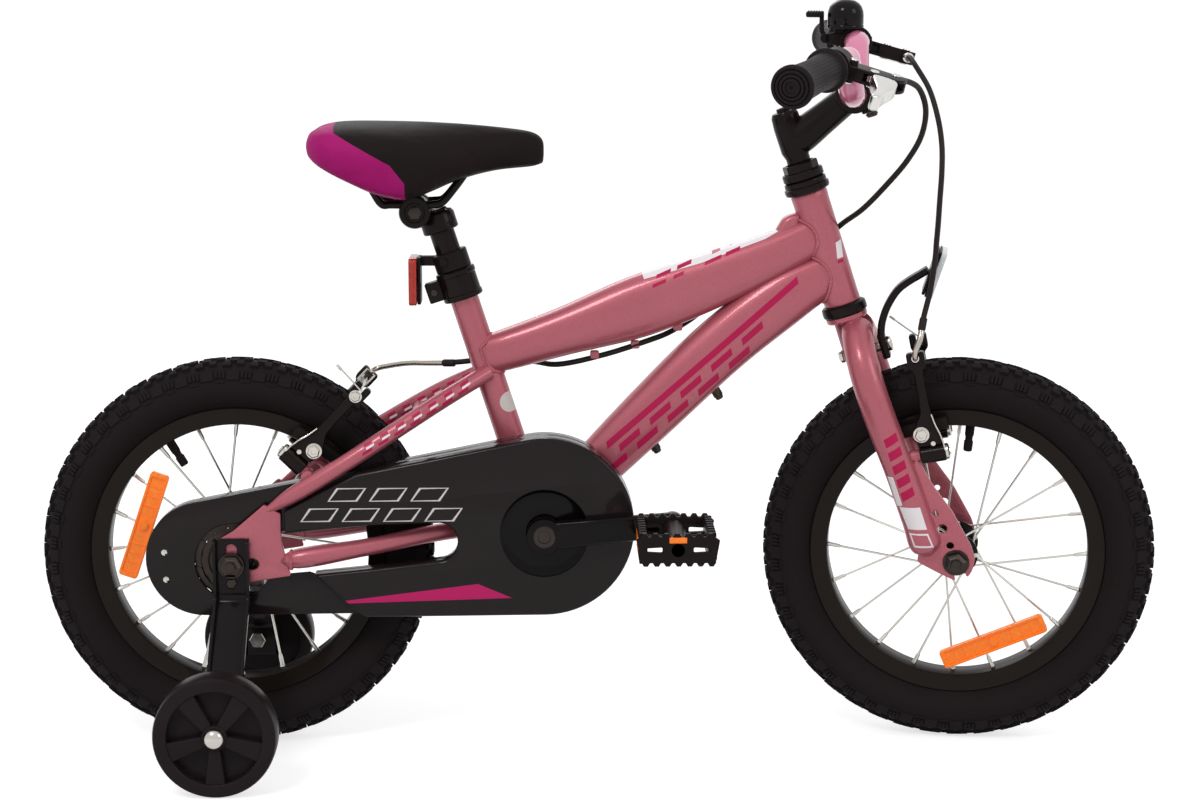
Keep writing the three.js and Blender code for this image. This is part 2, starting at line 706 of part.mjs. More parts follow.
const forkPlate = { thickness: 5 };
const bracketSheet = 3;
const nut = { radius: 10, thickness: 9 };
const frontNutFrom = frontSpan + forkPlate.thickness + gap;
const rearNutFrom = rearSpan + dropout.thickness + gap + bracketSheet + gap;
const frontAxleSeat = groupAt(steering, vec(forkOffset, 0, -forkDrop));
const rearAxleSeat = groupAt(bicycle, rearAxle);
addPiece(
  frontAxleSeat, 'front_axle', axleBody(axle.frontEnd, frontHub.half + gap, frontSpan - gap), darkSteel,
);
addPiece(rearAxleSeat, 'rear_axle', axleBody(axle.rearEnd, rearHub.half + gap, rearSpan - gap), darkSteel);
for (const [name, side] of sides) {
  addPiece(
    frontAxleSeat, `front_axle_nut_${name}`, nutBody(side, frontNutFrom, nut.thickness, nut.radius),
    darkSteel,
  );
  addPiece(
    rearAxleSeat, `rear_axle_nut_${name}`, nutBody(side, rearNutFrom, nut.thickness, nut.radius), darkSteel,
  );
}

// Fork: steerer, crown race, two legs that close over the tyre, and plates for the axle
const legSteps = 10;
const legSides = 10;
const leg = { radius: 14, spread: 46, top: -26, aboveAxle: 12.3, topForward: 6, footForward: 12 };
const legFoot = leg.aboveAxle - forkDrop;
const legShares = [
  [0, 0.2, 0], [0.035, 0.53, 0], [0.115, 0.83, -0.1], [0.24, 0.98, -0.1],
  [0.4, 1, 0.13], [0.6, 1, 0.62], [0.84, 1, 0.92], [1, 1, 1],
];
const forkPlateShares = [
  [0.28, 0.86], [0.52, 1], [0.66, 0.75], [0.84, 0.53], [0.98, 0.24], [0.98, 0.13], [0.87, 0.05],
  [0.57, 0], [0.31, 0.1], [0, 0.23], [0.14, 0.34],
];
const forkHoleShares = [[0.55, 0.545, 0.55], [0.59, 0.42, 0.85], [0.635, 0.28, 0.65]];
const forkPlateSize = { length: 51, height: 119.5, hole: 5 };
const frontBrake = { aboveAxle: 102.5, forward: 16.5, lean: 6.3 };
const frontBrakeUp = vec(
  Math.sin(THREE.MathUtils.degToRad(frontBrake.lean)), 0,
  Math.cos(THREE.MathUtils.degToRad(frontBrake.lean)),
);
const frontBrakeAxis = vec(frontBrakeUp.z, 0, -frontBrakeUp.x);
const frontBrakeFoot = vec(frontBrake.forward, 0, frontBrake.aboveAxle - forkDrop);

function forkBody() {
  const legs = sides.map(([, side]) => {
    const points = legShares.map(([down, out, ahead]) => vec(
      leg.topForward + (leg.footForward - leg.topForward) * ahead,
      side * leg.spread * out,
      leg.top + (legFoot - leg.top) * down,
    ));
    return tube(points, leg.radius, legSteps, legSides);
  });
  const bottom = -forkDrop - 2 * nut.radius + axle.radius / 2;
  const corner = vec(0, 0, bottom);
  const outline = outlineFrom(corner, forkPlateSize.length, forkPlateSize.height, forkPlateShares);
  const slotTop = vec(forkOffset, 0, -forkDrop);
  const holes = forkHoleShares.map(([across, up, size]) => {
    const spot = vec(forkPlateSize.length * across, 0, bottom + forkPlateSize.height * up);
    return rod(
      spot.clone().setY(-barHalfWidth), spot.clone().setY(barHalfWidth), forkPlateSize.hole * size, boltSides,
    );
  });
  const slot = [
    rod(slotTop.clone().setY(-barHalfWidth), slotTop.clone().setY(barHalfWidth), bore(axle.radius)),
    block(
      slotTop.clone().add(vec(0, 0, -nut.radius - overrun)),
      2 * (axle.radius + gap), 2 * barHalfWidth, 2 * (nut.radius + overrun),
    ),
  ];
  const plates = sides.map(([, side]) => cut(
    plate(outline, side * frontSpan, side * (frontSpan + forkPlate.thickness)), ...holes, ...slot,
  ));
  const bosses = sides.map(([, side]) => brakeBoss(frontBrakeFoot, frontBrakeAxis, side));
  const race = -headset.lowerHeight - 2 * gap;
  const body = join(
    rod(vec(0, 0, steererFoot), vec(0, 0, steererTop), steerer.radius),
    rod(vec(0, 0, race - headset.raceHeight), vec(0, 0, race), headset.raceRadius),
    ...legs, ...plates, ...bosses,
  );
  return cut(
    body,
    rod(vec(0, 0, steererFoot - overrun), vec(0, 0, steererTop + overrun), steerer.bore),
  );
}

addPiece(steering, 'fork', forkBody(), framePaint);

// Headset locknut on the steerer, above the upper cup
const nutFoot = headTubeLength + headset.cupHeight + 2 * gap;
addPiece(steering, 'headset_locknut', turned([
  [bore(steerer.radius), nutFoot],
  [headset.nutBase, nutFoot],
  [headset.nutBase, nutFoot + headset.nutHeight / 2],
  [headset.nutRim, nutFoot + headset.nutHeight / 2],
  [headset.nutRim, nutFoot + headset.nutHeight],
  [bore(steerer.radius), nutFoot + headset.nutHeight],
], origin, zAxis), blackPaint);

// Stem: quill in the steerer, a forward arm and a clamp round the bar
const stem = {
  sunk: 58, raised: 75, armRaised: 46, clampForward: 65, clampRaised: 72,
  armDepth: 30, armWidth: 28, clampRadius: 16.5, clampHalf: 22, boltRadius: 6,
};
const stemFoot = headTubeLength - stem.sunk;
const stemTop = headTubeLength + stem.raised;
const clampHeight = headTubeLength + stem.clampRaised;
const stemShares = [[0, 1, 1], [0.5, 0.92, 0.95], [0.85, 0.84, 1]];
const quillRadius = steerer.bore * Math.cos(Math.PI / roundSides) - gap;
const barMiddle = vec(stem.clampForward, 0, clampHeight);

function stemBody() {
  const from = vec(0, 0, headTubeLength + stem.armRaised);
  const stations = stemShares.map(([along, depthShare, widthShare]) => [
    new THREE.Vector3().lerpVectors(from, barMiddle, along),
    (stem.armDepth * depthShare) / 2,
    (stem.armWidth * widthShare) / 2,
  ]);
  const boltFoot = barMiddle.clone().add(
    vec(stem.clampRadius / 2, 0, -stem.clampRadius - stem.boltRadius / 2),
  );
  return cut(
    join(
      rod(vec(0, 0, stemFoot), vec(0, 0, stemTop), quillRadius),
      rod(vec(0, 0, stemTop), vec(0, 0, stemTop + stem.boltRadius / 2), stem.boltRadius, boltSides),
      ovalTube(stations, zAxis, 1),
      rod(barMiddle.clone().setY(-stem.clampHalf), barMiddle.clone().setY(stem.clampHalf), stem.clampRadius),
      rod(
        boltFoot, boltFoot.clone().add(vec(0, 0, stem.clampRadius)), stem.boltRadius, boltSides,
      ),
    ),
    rod(
      barMiddle.clone().setY(-stem.clampHalf - overrun), barMiddle.clone().setY(stem.clampHalf + overrun),
      bore(barRadius),
    ),
  );
}

addPiece(steering, 'stem', stemBody(), blackPaint);

// Handlebar: rises on each side of the clamp, then runs out and back to the grips
const riserHeight = 35.5;
const straightLength = 162;
const straightRise = 35;
const tipRise = 38.1;
const straightStart = { forward: 73, out: barHalfWidth - straightLength, up: clampHeight + straightRise };
const straightRun = 8;
const barEnd = { forward: 37.2, up: clampHeight + tipRise };
const riserShares = [[0, 0, 0], [0.33, 0, 0.01], [0.55, 0.1, 0.16], [0.74, 0.55, 0.62], [0.88, 0.9, 0.93]];
const barSteps = 32;
const gripLength = 102;
const gripCap = 5;

function barStart(side) {
  return vec(straightStart.forward, side * straightStart.out, straightStart.up);
}

function barTip(side) {
  return vec(barEnd.forward, side * barHalfWidth, barEnd.up);
}

function barDirection(side) {
  return new THREE.Vector3().subVectors(barTip(side), barStart(side)).normalize();
}

// A place on the straight part of the bar, at a distance out from the middle plane
function barPoint(side, out) {
  const share = (out - straightStart.out) / (barHalfWidth - straightStart.out);
  return new THREE.Vector3().lerpVectors(barStart(side), barTip(side), share);
}

function handlebarBody() {
  const half = (side) => [
    ...riserShares.map(([out, ahead, up]) => vec(
      stem.clampForward + (straightStart.forward - stem.clampForward) * ahead,
      side * straightStart.out * out,
      clampHeight + riserHeight * up,
    )),
    barStart(side),
    barPoint(side, straightStart.out + straightRun),
    barPoint(side, (straightStart.out + barHalfWidth) / 2),
    barTip(side).addScaledVector(barDirection(side), -gripCap - gap),
  ];
  const right = half(-1).reverse();
  return tube([...right, ...half(1).slice(1)], barRadius, barSteps);
}

addPiece(steering, 'handlebar', handlebarBody(), barPaint);

// Grips: ribbed sleeves with a flange inside and a closed end
const gripRadiusShares = [
  [1.22, 0], [1.22, 0.035], [1, 0.06], [0.96, 0.4], [1.05, 0.86], [1.17, 0.93], [1.17, 0.975], [0.9, 1],
  [0, 1],
];
const gripRadius = 15;

for (const [name, side] of sides) {
  const hole = bore(barRadius);
  const start = barTip(side).addScaledVector(barDirection(side), -gripLength);
  const profile = [
    [hole, 0],
    ...gripRadiusShares.map(([radius, along]) => [gripRadius * radius, gripLength * along]),
    [0, gripLength - gripCap],
    [hole, gripLength - gripCap],
  ];
  const closed = turned(profile, start, barDirection(side));
  addPiece(steering, `grip_${name}`, closed, gripRubber);
}

// Brake levers: a clamp with a forward bracket, and a blade that turns in its slot
const lever = {
  inset: 124, clampRadius: 15, clampHalf: 8, droop: 33, reach: 60, bracketHalf: 6, bracketInner: 14,
  bracketOuter: 8, pivotReach: 34, pivotOut: 2, pinRadius: 2.5, slotHalf: 3.2, slotInner: 7,
  rootRadius: 6, rootHalf: 2.9, bladeHalf: 5, bladeThickness: 7, bladeOut: 88, bladeTipReach: 52,
  bladeStart: 12, bladeReach: 42, barrelRadius: 4.5, barrelLength: 10, barrelReach: 52,
};
const leverOut = barHalfWidth - lever.inset;
const leverDown = vec(
  Math.cos(THREE.MathUtils.degToRad(lever.droop)), 0, -Math.sin(THREE.MathUtils.degToRad(lever.droop)),
);

// The lever's own frame: x away from the bar, y outward along it, z square to both
function leverMatrix(side) {
  const out = barDirection(side);
  const away = leverDown.clone().addScaledVector(out, -leverDown.dot(out)).normalize();
  const normal = new THREE.Vector3().crossVectors(away, out);
  return new THREE.Matrix4().makeBasis(away, out, normal).setPosition(barPoint(side, leverOut));
}

function flatPlate(outline, halfThickness) {
  const shape = new THREE.Shape(outline.map(([x, y]) => new THREE.Vector2(x, y)));
  const geometry = new THREE.ExtrudeGeometry(
    shape, { depth: 2 * halfThickness, bevelEnabled: false, steps: 1 },
  );
  geometry.translate(0, 0, -halfThickness);
  return solidOf(geometry);
}

function leverMountBody() {
  const bracket = flatPlate([
    [0, -lever.clampHalf],
    [lever.pivotReach / 2, -lever.bracketInner],
    [lever.reach, -lever.bracketInner],
    [lever.reach, -lever.pivotOut],
    [lever.reach - lever.bracketOuter / 2, lever.bracketOuter],
    [0, lever.clampHalf],
  ], lever.bracketHalf);
  const slotFrom = lever.pivotReach - lever.rootRadius - lever.pivotOut;
  const slotLength = lever.reach + overrun - slotFrom;
  const slotWidth = lever.slotInner + lever.bracketOuter + overrun;
  const slot = block(
    vec(slotFrom + slotLength / 2, slotWidth / 2 - lever.slotInner, 0),
    slotLength, slotWidth, 2 * lever.slotHalf,
  );
  const pin = rod(
    vec(lever.pivotReach, lever.pivotOut, -lever.bracketHalf),
    vec(lever.pivotReach, lever.pivotOut, lever.bracketHalf),
    lever.pinRadius, tubeSides,
  );
  const barrel = rod(
    vec(lever.barrelReach, -lever.bracketInner - lever.barrelLength, 0),
    vec(lever.barrelReach, -lever.bracketInner, 0), lever.barrelRadius, tubeSides,
  );
  const ring = rod(vec(0, -lever.clampHalf, 0), vec(0, lever.clampHalf, 0), lever.clampRadius);
  const hole = rod(
    vec(0, -lever.bracketInner - overrun, 0), vec(0, lever.bracketInner + overrun, 0), bore(barRadius),
  );
  return join(cut(join(ring, bracket), slot, hole), pin, barrel);
}

function leverBladeBody() {
  const outer = lever.bladeThickness;
  const rise = (share) => lever.bladeReach + (lever.bladeTipReach - lever.bladeReach) * share;
  const blade = flatPlate([
    [lever.bladeReach - outer, lever.bladeStart],
    [rise(0) + outer / 2, lever.bladeStart],
    [rise(0.8), lever.bladeOut / 2],
    [rise(1) + outer / 3, lever.bladeOut],
    [rise(1) - outer / 2, lever.bladeOut],
    [rise(0) - outer / 3, lever.bladeOut / 2],
  ], lever.bladeHalf);
  const root = flatPlate([
    [lever.pivotReach - lever.rootRadius / 2, lever.pivotOut - lever.rootRadius / 2],
    [lever.pivotReach + lever.rootRadius, lever.pivotOut - lever.rootRadius / 2],
    [rise(0) + outer / 2, lever.bladeStart],
    [rise(0), lever.bladeStart + overrun],
    [lever.bladeReach - outer, lever.bladeStart + overrun],
  ], lever.rootHalf);
  const eye = rod(
    vec(lever.pivotReach, lever.pivotOut, -lever.rootHalf),
    vec(lever.pivotReach, lever.pivotOut, lever.rootHalf),
    lever.rootRadius,
  );
  const hole = rod(
    vec(lever.pivotReach, lever.pivotOut, -overrun), vec(lever.pivotReach, lever.pivotOut, overrun),
    bore(lever.pinRadius),
  );
  return cut(join(blade, root, eye), hole);
}

for (const [name, side] of sides) {
  const matrix = leverMatrix(side);
  addPiece(steering, `lever_mount_${name}`, leverMountBody(), blackPlastic).applyMatrix4(matrix);
  addPiece(steering, `brake_lever_${name}`, leverBladeBody(), steel).applyMatrix4(matrix);
}

// Bell on the left: a clamp with a post, the dome over it and a thumb lever behind
const bell = {
  inset: 149, clampRadius: 13.4, clampHalf: 5, back: 9, domeFoot: 12.8, domeTop: 38, domeRadius: 16.5,
  wall: 1.6, crownShare: 0.6, edgeShare: 0.9, postRadius: 3.5, discRadius: 12, discThickness: 1.6,
  pivotBack: 27, pivotUp: 4, earInner: 3.3, earOuter: 6, earRadius: 4.5, pinRadius: 1.8,
  padBack: 45, padUp: 28.5, padHeight: 6, padHalf: 6, armBack: 28.6, armThickness: 4, armHalf: 3,
};
const bellSeat = new THREE.Group();
bellSeat.position.copy(barPoint(1, barHalfWidth - bell.inset));
bellSeat.rotation.y = headLean;
steering.add(bellSeat);

function bellBaseBody() {
  const ears = sides.map(([, side]) => join(
    plate([
      [0, -bell.earRadius],
      [-bell.pivotBack, bell.pivotUp - bell.earRadius],
      [-bell.pivotBack, bell.pivotUp + bell.earRadius],
      [0, bell.pivotUp + bell.earRadius],
    ], side * bell.earInner, side * bell.earOuter),
    rod(
      vec(-bell.pivotBack, side * bell.earInner, bell.pivotUp),
      vec(-bell.pivotBack, side * bell.earOuter, bell.pivotUp), bell.earRadius, tubeSides,
    ),
  ));
  const pin = rod(
    vec(-bell.pivotBack, -bell.earOuter, bell.pivotUp), vec(-bell.pivotBack, bell.earOuter, bell.pivotUp),
    bell.pinRadius, tubeSides,
  );
  const ring = rod(vec(0, -bell.clampHalf, 0), vec(0, bell.clampHalf, 0), bell.clampRadius);
  const post = rod(
    vec(-bell.back, 0, 0), vec(-bell.back, 0, bell.domeTop - 2 * bell.wall - gap), bell.postRadius, tubeSides,
  );
  const disc = rod(
    vec(-bell.back, 0, bell.domeFoot), vec(-bell.back, 0, bell.domeFoot + bell.discThickness),
    bell.discRadius,
  );
  const direction = barDirection(1).applyAxisAngle(yAxis, -headLean);
  const hole = rod(
    direction.clone().multiplyScalar(-barRadius - 2 * overrun),
    direction.clone().multiplyScalar(barRadius + 2 * overrun),
    bore(barRadius),
  );
  return join(cut(join(ring, post, disc, ...ears), hole), pin);
}

function bellDomeBody() {
  const inner = bell.domeRadius - bell.wall;
  return turned([
    [0, bell.domeTop],
    [bell.domeRadius * bell.crownShare, bell.domeTop],
    [bell.domeRadius * bell.edgeShare, bell.domeTop - 2 * bell.wall],
    [bell.domeRadius, bell.domeTop - 5 * bell.wall],
    [bell.domeRadius, bell.domeFoot],
    [inner, bell.domeFoot],
    [inner, bell.domeTop - 5 * bell.wall],
    [inner * bell.crownShare, bell.domeTop - 2 * bell.wall],
    [0, bell.domeTop - 2 * bell.wall],
  ], vec(-bell.back, 0, 0), zAxis);
}

function bellLeverBody() {
  const outer = -bell.armBack;
  const arm = plate([
    [-bell.pivotBack + bell.earRadius / 2, bell.pivotUp],
    [outer, bell.domeFoot - bell.wall],
    [outer, bell.padUp],
    [outer - bell.armThickness, bell.padUp],
    [outer - bell.armThickness, bell.domeFoot - bell.wall],
    [-bell.pivotBack - bell.earRadius / 2, bell.pivotUp],
  ], -bell.armHalf, bell.armHalf);
  const eye = rod(
    vec(-bell.pivotBack, -bell.armHalf, bell.pivotUp), vec(-bell.pivotBack, bell.armHalf, bell.pivotUp),
    bell.earRadius, tubeSides,
  );
  const pad = block(
    vec((outer - bell.padBack) / 2, 0, bell.padUp - bell.padHeight / 2),
    outer + bell.padBack, 2 * bell.padHalf, bell.padHeight,
  );
  const hole = rod(
    vec(-bell.pivotBack, -overrun, bell.pivotUp), vec(-bell.pivotBack, overrun, bell.pivotUp),
    bore(bell.pinRadius),
  );
  return cut(join(arm, eye, pad), hole);
}

addPiece(bellSeat, 'bell_base', bellBaseBody(), blackPlastic);
addPiece(bellSeat, 'bell_dome', bellDomeBody(), gloss);
addPiece(bellSeat, 'bell_lever', bellLeverBody(), blackPlastic);

// Front reflector on a curved bracket bolted to the fork crown
const frontLens = { forward: 87, up: 2.4, height: 42, halfWidth: 22, thickness: 7, lean: 36, backing: 3 };
const reflectorArm = {
  halfWidth: 7.5, thickness: 7, footShare: 0.808, topShare: 0.548, ahead: 20.6, roundness: 0.5, boltRadius: 5,
  boltHead: 4,
};
const armFoot = -crownClearance * reflectorArm.footShare;
const armTop = -crownClearance * reflectorArm.topShare;
const reflectorArmShares = [[0, 0], [0.24, 0.58], [0.45, 1], [0.62, 1.14], [0.85, 1.05]];

function crownBracketBody() {
  const lean = THREE.MathUtils.degToRad(frontLens.lean);
  const face = vec(Math.cos(lean), 0, -Math.sin(lean));
  const back = vec(frontLens.forward, 0, frontLens.up).addScaledVector(face, -frontLens.thickness / 2 - gap);
  const upright = vec(Math.sin(lean), 0, Math.cos(lean));
  const foot = vec(reflectorArm.ahead + reflectorArm.thickness / 2, 0, armTop);
  const start = back.clone().addScaledVector(face, -frontLens.backing);
  const stations = reflectorArmShares.map(([along, lift]) => [
    vec(
      foot.x + (start.x - foot.x) * along, 0,
      foot.z + (start.z - foot.z) * lift,
    ),
    reflectorArm.thickness / 2,
    reflectorArm.halfWidth,
  ]);
  stations.push([start, reflectorArm.thickness / 2, reflectorArm.halfWidth]);
  const plateBack = (way, up) => back.clone().addScaledVector(face, -way).addScaledVector(upright, up);
  const half = frontLens.height / 2;
  const backing = plate([
    [plateBack(0, -half).x, plateBack(0, -half).z],
    [plateBack(frontLens.backing, -half).x, plateBack(frontLens.backing, -half).z],
    [plateBack(frontLens.backing, half).x, plateBack(frontLens.backing, half).z],
    [plateBack(0, half).x, plateBack(0, half).z],
  ], -frontLens.halfWidth, frontLens.halfWidth);
  const footMiddle = (armFoot + armTop) / 2;
  return join(
    ovalTube(stations, zAxis, reflectorArm.roundness, tubeSides),
    backing,
    rod(
      vec(steerer.radius + gap, 0, footMiddle),
      vec(reflectorArm.ahead + reflectorArm.thickness + reflectorArm.boltHead, 0, footMiddle),
      reflectorArm.boltRadius, boltSides,
    ),
    block(
      vec(reflectorArm.ahead + reflectorArm.thickness / 2, 0, footMiddle),
      reflectorArm.thickness, 2 * reflectorArm.halfWidth,
      armTop - armFoot + reflectorArm.thickness,
    ),
  );
}

function frontLensBody() {
  const lean = THREE.MathUtils.degToRad(frontLens.lean);
  const geometry = new THREE.BoxGeometry(frontLens.thickness, 2 * frontLens.halfWidth, frontLens.height);
  geometry.rotateY(lean);
  geometry.translate(frontLens.forward, 0, frontLens.up);
  return solidOf(geometry);
}

addPiece(steering, 'front_reflector_bracket', crownBracketBody(), blackPlastic);
addPiece(steering, 'front_reflector', frontLensBody(), clearLens);

// Brake arms: a barrel on the boss, a broad foot with the pad, and a slender arm to the cable
const pad = { up: 19.3, back: 7, nutRadius: 7, nutLength: 6, gap: 2, thickness: 9, length: 46, height: 10 };
const armShape = {
  footHalf: 10, footTop: 30, width: 8, headLength: 15, headWidth: 16, slotHalf: 1.7, slotDepth: 9,
};
const wire = { radius: 0.8, below: 4.5 };
const anchor = { radius: 4, length: 4, below: 12 };
const armInner = boss.halfSpan - arm.thickness / 2;
const armOuter = boss.halfSpan + arm.thickness / 2;

// Built with the boss axis along x and the arm along z, from the barrel's middle
function brakeArmBody(side, padTurn, anchorSide) {
  const outline = [
    [-armShape.footHalf - pad.back / 2, pad.up + pad.nutRadius],
    [-armShape.footHalf - pad.back / 2, pad.up - pad.nutRadius],
    [-arm.barrelHalf, arm.barrelRadius],
    [-arm.barrelHalf, -arm.barrelRadius],
    [arm.barrelHalf, -arm.barrelRadius],
    [arm.barrelHalf, arm.barrelRadius],
    [armShape.width / 2, armShape.footTop],
    [armShape.width / 2, arm.length - armShape.headLength],
    [armShape.headWidth / 2, arm.length - armShape.headLength],
    [armShape.headWidth / 2, arm.length],
    [-armShape.headWidth / 2, arm.length],
    [-armShape.headWidth / 2, arm.length - armShape.headLength],
    [-armShape.width / 2, arm.length - armShape.headLength],
    [-armShape.width / 2, armShape.footTop + pad.nutRadius],
  ];
  const slot = block(
    vec(0, side * boss.halfSpan, arm.length),
    2 * armShape.slotHalf, arm.thickness + overrun, 2 * armShape.slotDepth,
  );
  const barrel = rod(
    vec(-arm.barrelHalf, side * boss.halfSpan, 0), vec(arm.barrelHalf, side * boss.halfSpan, 0),
    arm.barrelRadius,
  );
  const hole = rod(
    vec(-arm.barrelHalf - overrun, side * boss.halfSpan, 0),
    vec(arm.barrelHalf + overrun, side * boss.halfSpan, 0),
    bore(boss.pinRadius, tubeSides), tubeSides,
  );
  const padInner = rim.halfWidth + pad.gap;
  const padPoint = (out) => vec(-pad.back, side * out, pad.up);
  const shoe = new THREE.BoxGeometry(pad.length, pad.thickness, pad.height);
  shoe.rotateY(padTurn);
  shoe.translate(-pad.back, side * (padInner + pad.thickness / 2), pad.up);
  const stud = rod(
    padPoint(padInner + pad.thickness / 2), padPoint(armOuter + pad.nutLength), pad.nutRadius / 2,
    tubeSides,
  );
  const padNut = rod(
    padPoint(armOuter - pad.gap / 2), padPoint(armOuter + pad.nutLength), pad.nutRadius, tubeSides,
  );
  const anchorAt = (out) => vec(0, side * out, arm.length - anchor.below);
  const anchorBolt = rod(
    anchorAt(boss.halfSpan), anchorAt(armOuter + anchor.length), anchor.radius, boltSides,
  );
  return join(
    cut(join(plate(outline, side * armInner, side * armOuter), barrel), hole, slot),
    solidOf(shoe), stud, padNut, ...(side === anchorSide ? [anchorBolt] : []),
  );
}

// The matrix that seats an arm: x along the boss axis, z up the arm
function armMatrix(foot, axis, up) {
  const seat = foot.clone().addScaledVector(axis, barrelWay);
  const across = new THREE.Vector3().crossVectors(up, axis);
  return new THREE.Matrix4().makeBasis(axis, across, up).setPosition(seat);
}

const frontArmMatrix = armMatrix(frontBrakeFoot, frontBrakeAxis, frontBrakeUp);
const rearArmMatrix = armMatrix(rearBrakeFoot, rearBrakeAxis, rearBrakeUp);
const padSpot = vec(-pad.back, 0, pad.up);
const frontPadTurn = padTurnFor(frontArmMatrix, vec(forkOffset, 0, -forkDrop));
const rearPadTurn = padTurnFor(rearArmMatrix, rearAxle);

// The turn that lays a pad along the rim, square to the line from the axle to the pad
function padTurnFor(matrix, middle) {
  const spot = padSpot.clone().applyMatrix4(matrix);
  const radial = spot.sub(middle).normalize();
  const [across, , up] = [new THREE.Vector3(), new THREE.Vector3(), new THREE.Vector3()];
  matrix.extractBasis(across, new THREE.Vector3(), up);
  return Math.atan2(radial.dot(across), radial.dot(up));
}

for (const [name, side] of sides) {
  addPiece(steering, `front_brake_arm_${name}`, brakeArmBody(side, frontPadTurn, 1), blackPlastic)
    .applyMatrix4(frontArmMatrix);
  addPiece(bicycle, `rear_brake_arm_${name}`, brakeArmBody(-side, rearPadTurn, 1), blackPlastic)
    .applyMatrix4(rearArmMatrix);
}

// Brake cables: housing, curved noodle, bare wire through the arms' slots and a loose tail
const frontCablePoints = [
  [117.6, 88, 172], [123.1, 76, 152], [123.9, 60, 126], [121.2, 44, 104], [115.3, 26, 83], [107.5, 10, 61.7],
  [100.6, -9, 42.8], [96, -21, 31], [91.5, -29, 19], [80, -37, -5.5], [68, -44, -26], [60, -54, -42],
  [53.5, -55.5, -51],
];
const rearCablePoints = [
  [266, -101, 591], [274.4, -86, 573], [273.5, -72, 550.3], [264.2, -56, 527.9], [247.5, -36, 503.1],
  [231, -14, 481.5], [217, 7, 467.6], [205, 20, 455], [188, 23, 441], [160, 24, 425], [110, 24.5, 402],
  [86, 22, 382], [62, 8, 369.5], [47, 0, 364.8], [5, 0, 351.2], [-37, 4, 341.8], [-60, 21, 342],
  [-100, 21, 344], [-122, 24, 341.5], [-138, 29, 339.5], [-155, 36, 338.5], [-173, 45, 337],
  [-190, 53, 333.5], [-202, 56, 330.5],
];
const tail = { out: 5, forward: 20, up: 24 };
const frontCableSteps = 26;
const rearCableSteps = 50;
const cableSides = 6;

function barrelMouth(side) {
  const mouth = vec(lever.barrelReach, -lever.bracketInner - lever.barrelLength - gap, 0);
  return mouth.applyMatrix4(leverMatrix(side));
}

function cableBody(start, firstWay, route, armSeat, noodleSide, tailEnd, steps) {
  const hook = (out) => vec(0, out, arm.length - wire.below).applyMatrix4(armSeat);
  const noodleOut = noodleSide * (armOuter + gap);
  const end = hook(noodleOut);
  const lastWay = new THREE.Vector3().subVectors(hook(noodleOut), hook(0)).normalize();
  const housing = tube([
    start,
    start.clone().addScaledVector(firstWay, 2 * cableRadius),
    ...route.map((point) => vec(...point)),
    end.clone().addScaledVector(lastWay, 2 * cableRadius),
    end,
  ], cableRadius, steps, cableSides);
  const far = hook(-noodleOut - noodleSide * tail.out);
  const inner = rod(end.clone().addScaledVector(lastWay, cableRadius), far, wire.radius, boltSides);
  const looseEnd = rod(far, far.clone().add(tailEnd), wire.radius, boltSides);
  const knot = rod(
    far.clone().addScaledVector(lastWay, wire.radius), far.clone().addScaledVector(lastWay, -wire.radius),
    2 * wire.radius, boltSides,
  );
  return join(housing, inner, looseEnd, knot);
}

const inward = (side) => barDirection(side).negate();
addPiece(steering, 'front_brake_cable', cableBody(
  barrelMouth(1), inward(1), frontCablePoints, frontArmMatrix, -1,
  vec(-tail.forward, tail.out, tail.up), frontCableSteps,
), cableBlack);
const rearStart = fromSteering(barrelMouth(-1));
const rearFirstWay = fromSteering(barrelMouth(-1).add(inward(-1))).sub(rearStart);
addPiece(bicycle, 'rear_brake_cable', cableBody(
  rearStart, rearFirstWay, rearCablePoints, rearArmMatrix, -1,
  vec(-tail.forward, -tail.out, tail.up), rearCableSteps,
), cableBlack);

// Bottom bracket cartridge with its two cups, in the shell of the frame
const bracketCup = { radius: 20, width: 3.7 };
const crankAxle = { radius: 8, half: 60 };
const bracketSleeve = bracketShell.bore * Math.cos(Math.PI / roundSides) - gap;
const crankSeat = groupAt(bicycle, bottomBracket, -crankRise);
const cupFrom = bracketShell.halfWidth + gap;
const cupTo = cupFrom + bracketCup.width;
addPiece(crankSeat, 'bottom_bracket', turned([
  [bore(crankAxle.radius), -cupTo],
  [bracketCup.radius, -cupTo],
  [bracketCup.radius, -cupFrom],
  [bracketSleeve, -cupFrom],
  [bracketSleeve, cupFrom],
  [bracketCup.radius, cupFrom],
  [bracketCup.radius, cupTo],
  [bore(crankAxle.radius), cupTo],
], origin, yAxis), steel);
addPiece(
  crankSeat, 'crank_axle', rod(vec(0, -crankAxle.half, 0), vec(0, crankAxle.half, 0), crankAxle.radius),
  steel,
);

// Cranks: the chainring with its dished cover is swaged on the right arm, a pedal axle on each
const chainPitch = 12.7;
const ringTeeth = 28;
const sprocketTeeth = 16;
const pitchRadius = (teeth) => chainPitch / (2 * Math.sin(Math.PI / teeth));
const tooth = { tip: 1, root: 3.5, half: 1.4, crestShare: 0.3 };
const crankArm = {
  inner: 70, thickness: 12, bossRadius: 16, footHalf: 12, eyeRadius: 11, coverRadius: 41, coverOuter: 63,
  coverThickness: 3, start: 40.3,
};
const pedalAxle = { radius: 5, collarRadius: 8, collarLength: 6, end: 174 };

